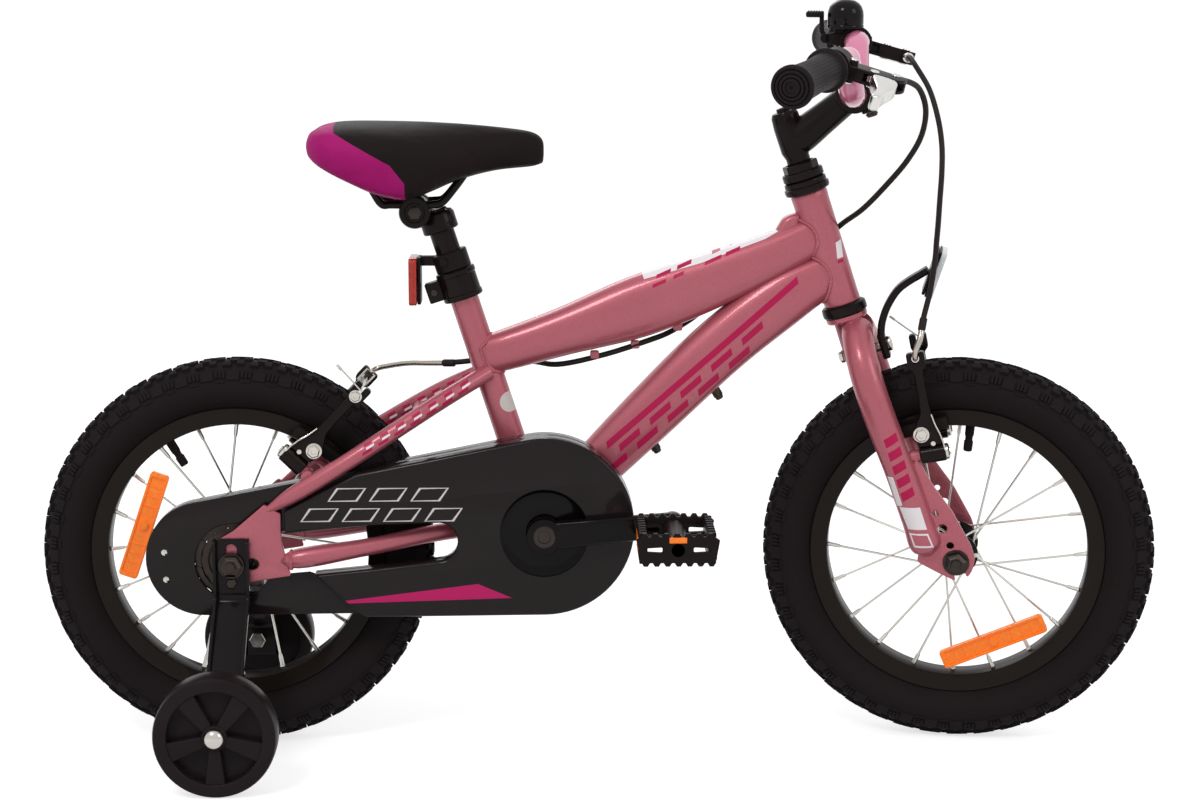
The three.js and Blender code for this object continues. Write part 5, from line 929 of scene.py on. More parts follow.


# The amber lens glows a little. This is painted glow, not a lamp, and it stands in for the light its prisms send
# back.
amber_lens = lens("amber lens", tint("#f06400"), tint("#fc9410"), 0.22)
hub_radius = 17
spoke_reach = 115.4
spoke_cross = math.radians(38)
rim_outline = [
    (116, 12), (116.6, 13), (118.5, 13.4), (124, 13.6), (129.6, 14.3), (130.6, 14.3), (131, 13.8), (131, 12.7),
    (130.2, 12.5), (124, 12.5), (122, 10.5),
]
nipple = [(0, 0), (2.3, 0), (2.3, 1.2), (1.95, 1.8), (1.8, 9.5), (1.5, 11.5), (1.0, 12)]
spoke_head = [(0, -1.3), (1.9, -1.3), (2.3, 0), (1.9, 1.3), (0, 1.3)]


def spokes(flange):
    """Spokes laced to both flanges, each with its nipple at the rim and its head in the flange."""
    parts = []
    for k, angle in enumerate(around(20)):
        side = 1 if k % 2 == 0 else -1
        lean = 1 if k % 4 < 2 else -1
        across, up = polar(hub_radius, angle + lean * spoke_cross)
        foot = Vector((across, side * (flange + lean * 1.7), up))
        across, up = polar(spoke_reach, angle)
        end = Vector((across, side * 3, up))
        way = (foot - end).normalized()
        parts += [
            rod(foot, end, 1.05, 0, 8),
            turned(nipple, end - way * 0.4, way, 8),
            turned(spoke_head, foot, (0, side, 0), 10),
        ]
    return together(*parts)


def mirrored(line):
    """The other half of a profile, run back from its end."""
    return [(radius, -out) for radius, out in reversed(line)]


def wheel_reflector(height, angle):
    """An amber bar with a raised rim and a round boss, on a clip behind it."""
    outline = eased([(-8.5, -47), (-7, -49), (7, -49), (8.5, -47), (8.5, 47), (7, 49), (-7, 49), (-8.5, 47)], 3)
    inner = eased([(-6.3, -45), (6.3, -45), (6.3, 45), (-6.3, 45)], 2)
    base = plate([outline], 4.2, 0.8, at_side(-height - 2.1))
    rim = plate([outline, inner], 5.8, 0.5, at_side(-height - 3.0))
    boss = rod((0, -height - 3, 0), (0, -height - 6, 0), 4.6, 0.8)
    ribs = [rod((-5.6, -height - 4.2, z), (5.6, -height - 4.2, z), 0.7, 0, 8) for z in (-36, -27, -18, 18, 27, 36)]
    shape = together(base, rim, boss, *ribs)
    shape.transform(Matrix.Rotation(-angle, 4, "Y") @ Matrix.Translation((86, 0, 0)))
    return shape


flange_profile = [
    (0, -5.5), (11, -5.5), (14.5, -2.2), (18.6, -1.5), (19.2, -0.8), (19.2, 0.8), (18.6, 1.5), (13, 2.2), (10.4, 5),
    (10, 6), (0, 6),
]


def hub(flange, half, freewheel):
    """A waisted shell between two flanges, with a wide seat on the right where a freewheel goes."""
    parts = [turned(flange_profile, (0, side * flange, 0), (0, side, 0), 36) for side in (-1, 1)]
    shell = [(0, -flange), (11, -flange), (10.2, -8), (10.2, 8), (11, flange), (0, flange)]
    parts.append(turned(shell, origin, leftward, 36))
    for side in (-1, 1):
        ends = (0, side * flange, 0), (0, side * half, 0)
        wide = freewheel and side < 0
        parts.append(rod(*ends, 16.8, 0.6, 36) if wide else rod(*ends, 9.8, 0.8, 32))
    return together(*parts)


def nut(side, start):
    """A domed hexagon nut on a washer, with room for the axle's end through it."""
    seat = (0, side * start, 0), (0, side, 0)
    hexagon = [(5.1, 0), (9.2, 0), (10.1, 1), (10.1, 6.4), (8.8, 7.6), (7, 8.8), (5.1, 8.8)]
    washer = [(5.1, 0.1), (11.4, 0.1), (11.8, 0.6), (11.4, 1.5), (5.1, 1.5)]
    return together(turned(hexagon, *seat, 6, ring=True), turned(washer, *seat, 32, ring=True))


def threaded(start, end, radius):
    """A threaded bar, its thread as fine rings."""
    pitch = 1.2
    way = Vector(end) - Vector(start)
    length = way.length
    profile = [(0, 0)]
    for k in range(int(length / pitch)):
        profile += [(radius - 0.45, k * pitch + 0.05), (radius, (k + 0.5) * pitch)]
    profile += [(radius - 0.5, length), (0, length)]
    return turned(profile, start, way, 20)


valve = [(0, 0), (3, 0), (3.9, 0.8), (4.1, 9), (3.3, 10), (3.3, 13), (4, 15), (4.2, 27), (0, 27)]
tyre_ring = [*tyre_outline, *mirrored(tyre_outline[:-1]), *mirrored(tyre_inside[1:]), *tyre_inside]
wheels = [  # flange, hub end, valve's and reflector's angles, reflector's seat, nut's seat, axle's and cone's ends
    ("front", steered @ Matrix.Translation(front_axle), "steering", 22, 38, 67.5, 276, 22.0, 48.8, 60, 43.2),
    ("rear", bike @ Matrix.Translation(rear_axle), "frame", 23, 47, 121.5, 161, 22.2, 64.9, 77, 55.7),
]
for name, place, holder, flange, half, valve_at, lens_at, lens_seat, nut_at, axle_end, cone_end in wheels:
    body = name + "_wheel"
    tyre = together(turned(tyre_ring, origin, leftward, tyre_steps, ring=True), tread())
    piece(name + "_tyre_rubber", tyre, place, tyre_rubber, body, "tyre", name + "_tyre", sharp=40)
    rim = turned([*rim_outline, *mirrored(rim_outline)], origin, leftward, tyre_steps, ring=True)
    valve_angle = math.radians(valve_at)
    out = Vector((math.cos(valve_angle), 0, math.sin(valve_angle)))
    rim = grouped([rim], [turned(valve, out * 90.5, out, 24)])
    piece(name + "_rim_ring", rim, place, [rim_enamel, tyre_rubber], body, "black_paint", name + "_rim")
    laced = name + "_hub_and_spokes"
    piece(name + "_hub", hub(flange, half, name == "rear"), place, hub_enamel, body, "black_paint", laced)
    piece(name + "_spokes", spokes(flange), place, spoke_steel, body, "steel", laced)
    bar = wheel_reflector(lens_seat, math.radians(lens_at))
    piece(name + "_reflector_bar", bar, place, amber_lens, body, "amber_lens", name + "_wheel_reflector")
    cones = [rod((0, side * (half + 0.3), 0), (0, side * cone_end, 0), 8, 1) for side in (-1, 1)]
    axle = together(threaded((0, -axle_end, 0), (0, axle_end, 0), 4.6), *cones)
    piece(name + "_axle_rod", axle, place, dull_steel, holder, "dark_steel", name + "_axle")
    for side_name, side in sides:
        piece(
            "%s_nut_%s" % (name, side_name), nut(side, nut_at), place, dull_steel, holder, "dark_steel",
            "%s_axle_nut_%s" % (name, side_name), sharp=25,
        )

# Stem: a black quill in the steerer, an oval arm that rises forward, and a split clamp round
# the bar with its bolt below. The bolt that draws the quill tight has a socket in its head.
def block(corner, other, edge):
    """A box between two corners, its edges rounded."""
    shape = bmesh.new()
    bmesh.ops.create_cube(shape, size=1)
    corner, other = Vector(corner), Vector(other)
    size = [abs(length) for length in other - corner]
    shape.transform(Matrix.Translation((corner + other) / 2) @ Matrix.Diagonal((*size, 1)))
    bmesh.ops.bevel(
        shape, geom=shape.edges[:], offset=edge, offset_type="OFFSET", affect="EDGES", segments=2, profile=0.5,
        material=-1, clamp_overlap=True,
    )
    return shape


clamp_height = 175
bar_middle = Vector((65, 0, clamp_height))
black_cast = enamel("black cast alloy", tint("#130c0b"), 0.24, 0.08, 0.00008)
arm_stations = [
    (Vector((-2, 0, 148.2)), 13, 12), (Vector((6, 0, 151.4)), 15, 14), (Vector((32, 0, 161.8)), 13.8, 13.4),
    (Vector((52, 0, 169.8)), 12.8, 14), (Vector((60, 0, 173)), 12.4, 14),
]
quill = [
    (0, 45), (9, 45), (10.4, 46), (10.5, 136), (12.6, 142), (12.9, 164), (12.2, 174), (10.6, 177.4), (7.4, 178),
    (0, 178),
]
bar_clamp = [
    (11.3, -22), (15.6, -22), (16.5, -21), (16.5, -1.4), (15.9, -0.8), (15.9, 0.8), (16.5, 1.4), (16.5, 21),
    (15.6, 22), (11.3, 22),
]
stem_body = together(
    turned(quill),
    turned([(6, 176), (6, 180.4), (5.4, 181), (3.2, 181), (3.2, 178.6), (0, 178.4)], steps=24),
    oval(arm_stations, 1.0),
    turned(bar_clamp, bar_middle, leftward, 44, ring=True),
    block((66, -14, 155.5), (80.5, 14, 160), 1.5),
)
stem_bolt = together(
    rod((73.2, 0, 150.5), (73.2, 0, 158), 4.6, 0.6),
    turned([(4.4, 0), (5.4, 0), (5.4, 1.6), (4.4, 1.6)], (73.2, 0, 152), steps=24, ring=True),
)
piece("stem_body", stem_body, steered, black_cast, "steering", "black_paint", "stem")
piece("stem_bolt", stem_bolt, steered, dull_steel, "steering", "dark_steel")

# Handlebar: one steel tube bent up on each side of the clamp and out to the grips, gloss pink.
bar_half = 250
straight_start = 88


def bar_start(side):
    return Vector((73, side * straight_start, clamp_height + 35))


def bar_tip(side):
    return Vector((37.2, side * bar_half, clamp_height + 38.1))


def bar_way(side):
    return (bar_tip(side) - bar_start(side)).normalized()


def bar_point(side, out):
    return bar_start(side).lerp(bar_tip(side), (out - straight_start) / (bar_half - straight_start))


riser_shares = [(0, 0, 0), (0.33, 0, 0.01), (0.55, 0.1, 0.16), (0.74, 0.55, 0.62), (0.88, 0.9, 0.93)]


def half_bar(side):
    rise = [
        (65 + 8 * ahead, side * straight_start * out, clamp_height + 35.5 * up) for out, ahead, up in riser_shares
    ]
    return [*rise, bar_start(side), bar_point(side, 96), bar_point(side, 169), bar_tip(side) - bar_way(side) * 5.4]


f = Finish("gloss pink bar enamel")
haze = f.noise(22.0, 3.0)
bar_enamel = f.made(
    base_color=f.over(tint("#d6698f"), tint("#e58fb0"), haze), roughness=haze.range(0.16, 0.26), coat_weight=0.8,
    coat_roughness=0.04, metallic=haze.range(0.05, 0.2), normal=f.noise(500.0, 1.0).bump(0.00005),
)
bar_shape = bent([*reversed(half_bar(-1)), *half_bar(1)[1:]], 11.1, 7, 7)
piece("handlebar_tube", bar_shape, steered, bar_enamel, "steering", "bar_pink", "handlebar")

# Grips: soft black sleeves with fine ribs along them, a flange at each end and a stepped cap.
grip_length = 102
grip_profile = [
    (11.4, 0), (17.3, 0), (18.3, 0.9), (18.3, 2.9), (17.4, 3.9), (15.4, 4.6), (15, 6.4), (14.6, 18), (14.3, 40),
    (14.9, 66), (15.6, 86), (16, 91), (17.2, 94), (17.6, 96), (17.5, 98.6), (16.4, 99.8), (14.6, 99.8),
    (14.4, 98.4), (13.6, 98.4), (13.4, 100.6), (11.4, 100.8), (11.2, 99.2), (10.4, 99.2), (10.2, 101.2),
    (8.2, 101.5), (8, 99.8), (7.2, 99.8), (7, 101.8), (5, 102), (4.8, 100.8), (1.6, 100.6), (1.3, 99.4),
    (0, 99.4), (0, 97.2), (11.4, 97.2),
]
grip_ribs = 30
grip_rubber = rubber("grip rubber", tint("#140f10"), tint("#241d1e"), 500.0, 0.5)
rib_depth = 0.034
for side_name, side in sides:
    sleeve = turned(grip_profile, steps=4 * grip_ribs, ring=True)
    for dot in sleeve.verts:
        if 6 < dot.co.z < 90 and dot.co.xy.length > 13:
            turn = math.atan2(dot.co.y, dot.co.x)
            dot.co.xy *= 1 - rib_depth * (0.5 - 0.5 * math.cos(grip_ribs * turn))
    sleeve.transform(aimed(bar_tip(side) - bar_way(side) * grip_length, bar_way(side)))
    piece("grip_sleeve_" + side_name, sleeve, steered, grip_rubber, "steering", "grip", "grip_" + side_name, sharp=50)

# Brake levers: a moulded clamp and forked bracket under each bar, a barrel adjuster that takes
# the cable, two plated screws, and an alloy blade on a pin.
lever_droop = math.radians(33)
lever_out = 126
barrel_ahead = 52
moulded_black = enamel("moulded black plastic", tint("#191313"), 0.34, 0.024, 0.0001)
lever_alloy = metal("lever alloy", tint("#dad8d4"), 0.22, 30.0)
blade_outline = [
    (36, 12), (41, 9.6), (50, 9.6), (57, 14), (59.6, 28), (59.8, 46), (60, 64), (61, 78), (60.6, 84.6), (58, 87.8),
    (55, 87), (53, 82), (52, 70), (50, 56), (45.6, 42), (39.6, 26),
]
blade_root = [(30.4, -2.6), (38, -2.6), (45.4, 12), (42, 14), (35.4, 14)]
cheek_outline = [(10.5, -8), (17, -13.8), (59.6, -13.8), (59.8, -2), (56, 7.8), (10.5, 7.8)]
barrel_profile = [
    (1.4, 10.4), (4.2, 10.4), (4.5, 9.4), (4, 8.6), (4.5, 7.6), (4, 6.8), (4.5, 5.8), (4, 5), (4.5, 4.2), (4.2, 3),
    (2.6, 2.6), (2.6, 0), (0, 0),
]
pin_head = [(0, 0), (3.4, 0), (3.9, 0.5), (3.6, 1.3), (2, 1.6), (1.7, 0.8), (0, 0.8)]
clamp_head = [(0, 0), (3, 0), (3.3, 0.5), (2.9, 1.4), (1.6, 1.6), (1.3, 0.6), (0, 0.6)]


def facing(across, along, out, start):
    return Matrix.Translation(start) @ Matrix((across, along, out)).transposed().to_4x4()


def lever_away(side):
    """The way from the bar to a lever: square to the bar, forward and drooping."""
    out = bar_way(side)
    down = Vector((math.cos(lever_droop), 0, -math.sin(lever_droop)))
    return (down - out * down.dot(out)).normalized()


for side_name, side in sides:
    out, away = bar_way(side), lever_away(side)
    seat = steered @ facing(away, out, away.cross(out), bar_point(side, lever_out))
    mount = [
        collar(11.3, 15, 8, (0.6, 0.8), origin, leftward, 36),
        *[plate([eased(cheek_outline, 4)], 2.6, 0.8, Matrix.Translation((0, 0, z))) for z in (-4.6, 4.6)],
        block((11.6, -11, -5.4), (27, 7.4, 5.4), 1.2),
        block((25, -13.6, -5.4), (59, -7.2, 5.4), 1.0),
        rod((13.5, -2, -9.6), (13.5, -2, 9.6), 4.6, 1.2),
    ]
    fittings = [
        rod((34, 2, -5.9), (34, 2, 5.9), 2.4),
        turned(barrel_profile, (barrel_ahead, -13.6, 0), (0, -1, 0), 20),
    ]
    for way in (1, -1):
        fittings += [turned(pin_head, (x, y, way * 5.8), (0, 0, way), 20) for x, y in ((34, 2), (50, -9.6))]
        fittings.append(turned(clamp_head, (13.5, -2, way * 9.2), (0, 0, way), 18))
    piece(
        "lever_bracket_" + side_name, grouped(mount, fittings), seat, [moulded_black, lever_alloy], "steering",
        "black_plastic", "lever_mount_" + side_name,
    )
    blade = together(
        plate([smoothed([(*p, 0) for p in blade_outline], 4, closed=True)], 13, 2.2, Matrix(), 3),
        plate([eased(blade_root, 2.5)], 5.4, 0.8, Matrix()),
        collar(2.7, 6, 2.8, (0.6, 0.6), (34, 2, 0), (0, 0, 1), 28),
    )
    name = "brake_lever_" + side_name
    piece("lever_blade_" + side_name, blade, seat, lever_alloy, side_name + "_lever", "steel", name)

# Bell: a black dome with a flat crown on a clamp that also carries a sprung thumb lever.
bell_seat = steered @ Matrix.Translation(bar_point(1, 101)) @ Matrix.Rotation(head_lean, 4, "Y")
bell_way = Matrix.Rotation(-head_lean, 3, "Y") @ bar_way(1)
dome_profile = [
    (14.9, 12.9), (16, 12.9), (16.5, 13.5), (16.5, 15.6), (16.1, 16.3), (16.4, 17), (16.4, 24.6), (15.9, 28.6),
    (14.4, 32.6), (12, 35.4), (9.4, 37), (8, 37.9), (6.6, 38), (6, 37.4), (5.4, 37.2), (0, 37.3), (0, 35), (10, 34.8),
    (14.2, 28), (14.9, 24),
]
bell_enamel = enamel("bell enamel", tint("#0e0a0b"), 0.08, 0.16, 0.00002, 0.3)
dome = turned(dome_profile, (-9, 0, 0), steps=48, ring=True)
piece("bell_cup", dome, bell_seat, bell_enamel, "steering", "gloss_plastic", "bell_dome")
ears = []
for way in (-1, 1):
    ears += [
        plate([eased([(-10, -3.6), (-27, -0.4), (-27, 8.4), (-10, 8.4)], 2)], 2.6, 0.5, at_side(way * 4.65)),
        rod((-27, way * 3.35, 4), (-27, way * 5.95, 4), 4.5, 0.5),
    ]
bell_foot = together(
    collar(11.3, 14.9, 6, (0.7, 0.8), origin, bell_way, 36),
    rod((-9, 0, 9), (-9, 0, 34.4), 3.4, 0.4),
    turned([(0, 12.8), (11.4, 12.8), (12, 13.4), (12, 14), (11.4, 14.4), (0, 14.4)], (-9, 0, 0), steps=36),
    block((-19, -4.8, 7.6), (-2, 4.8, 13), 1.2),
    *ears,
    rod((-27, -5.9, 4), (-27, 5.9, 4), 1.7),
)
piece("bell_bracket", bell_foot, bell_seat, moulded_black, "steering", "black_plastic", "bell_base")
arm_line = [
    (-24.9, 5.5), (-28.4, 11), (-28.6, 20), (-28.6, 28.2), (-32.4, 28.2), (-32.6, 18), (-32.4, 10.4), (-29.3, 3),
]
thumb = together(
    plate([eased(arm_line, 1.6)], 5.8, 0.6, at_side(0)),
    collar(1.9, 4.5, 2.9, (0.3, 0.4), (-27, 0, 4), leftward, 24),
    block((-44.8, -6, 22.6), (-28.8, 6, 27.9), 1.6),
    *[rod((x, -5.4, 28), (x, 5.4, 28), 0.5, 0, 8) for x in (-42.6, -40.2, -37.8, -35.4, -33)],
)
piece("bell_thumb_lever", thumb, bell_seat, moulded_black, "bell_thumb", "black_plastic", "bell_lever")

# Front reflector: a clear lens in a black tray, on a bent strap bolted through the fork crown.
lens_place = Matrix.Translation((87, 0, 2.4)) @ Matrix.Rotation(math.radians(36), 4, "Y")


def upright(outlines, thickness, rounding, ahead):
    """A plate that faces forward: its outline lists (left, up)."""
    place = Matrix(((0, 0, 1, ahead), (1, 0, 0, 0), (0, 1, 0, 0), (0, 0, 0, 1)))
    return plate(outlines, thickness, rounding, place)


lens_outline = eased([(-22, -21), (22, -21), (22, 21), (-22, 21)], 4)
face = grouped([upright([lens_outline], 5, 0.8, 0.8)], [upright([lens_outline], 1.6, 0.4, -2.7)])
clear_lens = lens("clear lens", tint("#d9dde0"), tint("#f6f8fa"))
lens_finishes = [clear_lens, moulded_black]
piece("front_lens", face, steered @ lens_place, lens_finishes, "steering", "clear_lens", "front_reflector")
strap_line = [(24.1, -46), (24.5, -38), (28.5, -27), (37.5, -14), (50.6, -2.6), (62, 2), (72, 4.6), (80.6, 6.9)]
bolt_head = [(0, 0), (6.4, 0), (6.9, 0.8), (6.9, 3), (5.6, 4), (3, 4), (2.8, 2.6), (0, 2.6)]
bolt_nut = [(0, 0), (5.4, 0), (6, 1), (5.6, 3), (3.8, 4.4), (0, 4.8)]
tray_back = upright([eased([(-21, -20), (21, -20), (21, 20), (-21, 20)], 4)], 2.6, 0.5, -5.3)
tray_back.transform(lens_place)
strap = grouped(
    [
        oval([(Vector((x, 0, z)), 3.4, 7.4) for x, z in strap_line], 0.5, 5),
        block((20.7, -7.5, -59), (27.5, 7.5, -36), 1.4),
        tray_back,
    ],
    [
        rod((13, 0, -47), (27, 0, -47), 4.6),
        turned(bolt_head, (27.4, 0, -47), (1, 0, 0), 28),
        turned(bolt_nut, (-12.9, 0, -47), (-1, 0, 0), 28),
    ],
)
piece(
    "front_lens_strap", strap, steered, [black_enamel, bright_steel], "steering", "black_plastic",
    "front_reflector_bracket",
)

# Rim brakes: long black arms on the bosses, rubber pads on nuts, a wire spring and its screw,
# an anchor bolt on one arm and a cradle for the noodle on the other.
arm_length = 92
pad_rubber = rubber("brake pad rubber", tint("#181413"), tint("#2a2524"), 200.0, 0.65)
pad_spot = Vector((-7, 0, 19.3))


def arm_seat(foot, way, up):
    """Where an arm stands: its x along the boss, its z up the arm."""
    return facing(way, up.cross(way), up, foot + way * 25.3)


arm_outline = [
    (-13.2, 24), (-13.2, 13), (-10.6, 7.6), (10.6, 7.6), (10, 12), (4.6, 30), (4, 52), (4, 75), (8, 78.6), (8, 92),
    (1.8, 92), (1.8, 83), (-1.8, 83), (-1.8, 92), (-8, 92), (-8, 78.6), (-4, 75), (-4, 52), (-4.8, 37),
]
cradle = [
    (-5.4, 77), (5.4, 77), (5.4, 91.4), (2.2, 91.4), (2.2, 83.6), (-2.2, 83.6), (-2.2, 91.4), (-5.4, 91.4),
]
spring_line = [(9, 48.6, -4), (10.8, 49.4, 4), (9.6, 50.4, 16), (6.4, 49.6, 27), (4.6, 48.8, 36)]
pad_washer = [(0, 0), (6.8, 0), (7, 0.4), (7, 1.6), (6, 1.9), (0, 1.9)]
pad_nut = [(0, 0), (5.2, 0), (5.8, 0.8), (5.8, 3.6), (4.8, 4.6), (2.6, 4.6), (2.4, 3.2), (0, 3.2)]
anchor_washer = [(0, 0), (5.4, 0), (5.6, 0.5), (5.6, 1.4), (0, 1.5)]
anchor_nut = [(0, 0), (4, 0), (4.6, 0.6), (4.6, 2.6), (3.8, 3.2), (2, 3.2), (1.8, 2), (0, 2)]


def brake_arm(side, pad_turn, anchored):
    shoe = block((-23, -4.4, -5), (23, 4.4, 5), 1.6)
    shoe.transform(Matrix.Translation((pad_spot.x, side * 21, pad_spot.z)) @ Matrix.Rotation(pad_turn, 4, "Y"))
    body = [
        plate([eased(arm_outline, 2.4)], 10, 1.6, at_side(side * 43)),
        collar(4.4, 8, 11, (0.6, 0.6), (0, side * 43, 0), (1, 0, 0), 32),
    ]
    way = (0, side, 0)

    def at_pad(out):
        return pad_spot.x, side * out, pad_spot.z

    fittings = [
        rod(at_pad(25), at_pad(47), 3.4),
        turned(pad_washer, at_pad(47.4), way, 28),
        turned(pad_nut, at_pad(49.2), way, 6),
        bent([(x, side * out, z) for x, out, z in spring_line], 0.8, 5, 3),
        rod((2, side * 48, 10.5), (2, side * 51.6, 10.5), 2.2, 0.4, 16),
        rod((11.2, side * 43, -3.4), (13, side * 43, -3.4), 3, 0.4, 16),
    ]
    if anchored:
        fittings.append(turned(anchor_washer, (0, side * 48.1, 80), way, 24))
        fittings.append(turned(anchor_nut, (0, side * 49.2, 80), way, 6))
    else:
        fittings.append(plate([eased(cradle, 1)], 1.2, 0.3, at_side(side * 37)))
    return grouped(body, [shoe], fittings)


def pad_turn_at(seat, middle):
    """The turn that lays a pad along the rim."""
    spot = (seat @ pad_spot - middle).normalized()
    return math.atan2(spot.dot(seat.col[0].xyz), spot.dot(seat.col[2].xyz))


rear_brake_up = Vector((brake_way.z, 0, -brake_way.x))
front_arm_seat = arm_seat(front_brake_foot, front_brake_way, front_brake_up)
rear_arm_seat = arm_seat(brake_foot, brake_way, rear_brake_up)
brakes = [
    ("front", steered, front_arm_seat, front_axle, 1),
    ("rear", bike, rear_arm_seat, rear_axle, -1),
]
for side_name, side in sides:
    for end, place, seat, middle, turned_by in brakes:
        shape = brake_arm(side * turned_by, pad_turn_at(seat, middle), side * turned_by > 0)
        arm_name = "%s_arm_%s" % (end, side_name)
        piece(
            arm_name, shape, place @ seat, [black_enamel, pad_rubber, bright_steel], arm_name, "black_plastic",
            "%s_brake_arm_%s" % (end, side_name),
        )

# Brake cables: black housings from each lever, a bent alloy noodle in each brake's cradle, the
# bare wire across to the other arm, and its loose end with a crimped cap.
cable_radius = 2.5
front_route = [
    (117.6, 88, 172), (123.1, 76, 152), (123.9, 60, 126), (121.2, 44, 104), (115.3, 26, 83), (107.5, 10, 61.7),
    (100.6, -9, 42.8), (96, -21, 31), (91.5, -29, 19), (80, -37, -5.5), (68, -44, -26), (64.4, -49, -33.4),
]
front_noodle = [(64.4, -49, -33.4), (60, -54, -42), (53.5, -55.5, -51)]
rear_route = [
    (266, -101, 591), (274.4, -86, 573), (273.5, -72, 550.3), (264.2, -56, 527.9), (247.5, -36, 503.1),
    (231, -14, 481.5), (217, 7, 467.6), (205, 20, 455), (188, 23, 441), (160, 24, 425), (110, 24.5, 402),
    (86, 22, 382), (62, 8, 369.5), (47, 0, 364.8), (5, 0, 351.2), (-37, 4, 341.8), (-60, 21, 342), (-100, 21, 344),
    (-122, 24, 341.5), (-138, 29, 339.5),
]
rear_noodle = [(-138, 29, 339.5), (-155, 36, 338.5), (-173, 45, 337), (-190, 53, 333.5), (-202, 56, 330.5)]
cable_black = rubber("cable housing", tint("#1a1615"), tint("#3a3531"), 900.0, 0.4)
noodle_alloy = metal("noodle alloy", tint("#b3aca4"), 0.24, 40.0)


def lever_mouth(side):
    """Where a housing leaves its lever's barrel, and a place 5 mm further on."""
    inward = -bar_way(side)
    mouth = bar_point(side, lever_out) + lever_away(side) * barrel_ahead + inward * 24.4
    return [mouth, mouth + inward * 5]


def brake_hook(seat, out):
    return seat @ Vector((0, out, arm_length - 4.5))


ferrule_profile = [(0, -9), (3.2, -9), (3.4, -8.4), (3.4, 1), (2.8, 2.6), (0, 2.8)]
noodle_end = [(0, 0), (3.3, 0), (3.6, 0.5), (3.6, 3), (2.6, 3.6), (0, 3.6)]
boot_folds = [dot for k in range(7) for dot in ((2.3, 9 + 2.2 * k), (3.1, 10.1 + 2.2 * k))]
tail_cap = [(0, -6), (1.2, -6), (1.3, -5.6), (1.2, 0), (0, 0)]


def brake_end(seat, noodle, tail):
    """The noodle with its ferrule, the wire between the arms in its boot, and the loose end."""
    hook, far = brake_hook(seat, -48.4), brake_hook(seat, 53.3)
    inward = (brake_hook(seat, 0) - hook).normalized()
    first, second = Vector(noodle[0]), Vector(noodle[1])
    tail_end = far + Vector(tail)
    tail_line = [far - inward * 0.4, far.lerp(tail_end, 0.4) - inward * 1.6, tail_end]
    return grouped(
        [bent([*noodle, hook - inward * 2, hook + inward * 9], 2.6, 8, 5)],
        [
            turned(ferrule_profile, first, second - first, 24),
            turned([(0, 9), *boot_folds, (1.6, 26), (0, 26)], hook, inward, 20),
        ],
        [
            rod(hook + inward * 8, far, 0.8, 0, 12),
            bent(tail_line, 0.8, 6, 3),
            turned(tail_cap, tail_end, tail_end - far, 12),
            turned(noodle_end, hook - inward * 2.4, inward, 24),
        ],
    )


end_finishes = [noodle_alloy, cable_black, bright_steel]
front_end = brake_end(front_arm_seat, front_noodle, (-20, 5, 24))
piece("front_noodle", front_end, steered, end_finishes, "steering", "steel", "front_brake_cable")
rear_end = brake_end(rear_arm_seat, rear_noodle, (-20, -5, 24))
piece("rear_noodle", rear_end, bike, end_finishes, "frame", "steel", "rear_brake_cable")


def housing_path(line, place):
    """A housing's middle line in the model's frame, and how long it is."""
    path = [place @ p for p in line]
    return path, sum((b - a).length for a, b in zip(path, path[1:]))


front_line = smoothed([*lever_mouth(1), *front_route], 8)
front_path, front_length = housing_path(front_line, steered)
front_housing = piece(
    "front_cable_housing", bent(front_line, cable_radius, 1, 4), steered, cable_black, "steering", "black_plastic",
    "front_brake_cable",
)
to_bike = bike.inverted() @ steered
rear_line = smoothed([*[to_bike @ p for p in lever_mouth(-1)], *rear_route], 8)
rear_path, rear_length = housing_path(rear_line, bike)
rear_housing = piece(
    "rear_cable_housing", bent(rear_line, cable_radius, 1, 4), bike, cable_black, None, "black_plastic",
    "rear_brake_cable", sharp=180,
)
bike @ Vector((271, -95, 588))
bike @ Vector((188, 23, 441))
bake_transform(rear_housing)

# Cranks: forged black arms on a squared axle in pressed cups. The right arm carries the toothed
# ring and a dished cover that fills the guard's opening.
crank_length = 112
crank_turn = Matrix.Translation(bracket_centre) @ Matrix.Rotation(math.radians(-5), 4, "Y")
crank_place = bike @ crank_turn
chain_pitch = 12.7
chain_out = 42
ring_teeth = 28
sprocket_teeth = 16
tooth_shares = [(-0.5, -3.9), (-0.36, -3.3), (-0.2, -0.6), (-0.11, 0.9), (0.11, 0.9), (0.2, -0.6), (0.36, -3.3)]


def pitch_radius(teeth):
    return chain_pitch / (2 * math.sin(math.pi / teeth))


def toothed(teeth, hole, windows=()):
    """A sprocket's plate, its teeth standing round the chain's pitch circle."""
    line = [
        polar(pitch_radius(teeth) + grow, angle + 2 * math.pi * share / teeth)
        for angle in around(teeth) for share, grow in tooth_shares
    ]
    return plate([line, hole, *windows], 2.6, 0.3, at_side(-chain_out), 1)


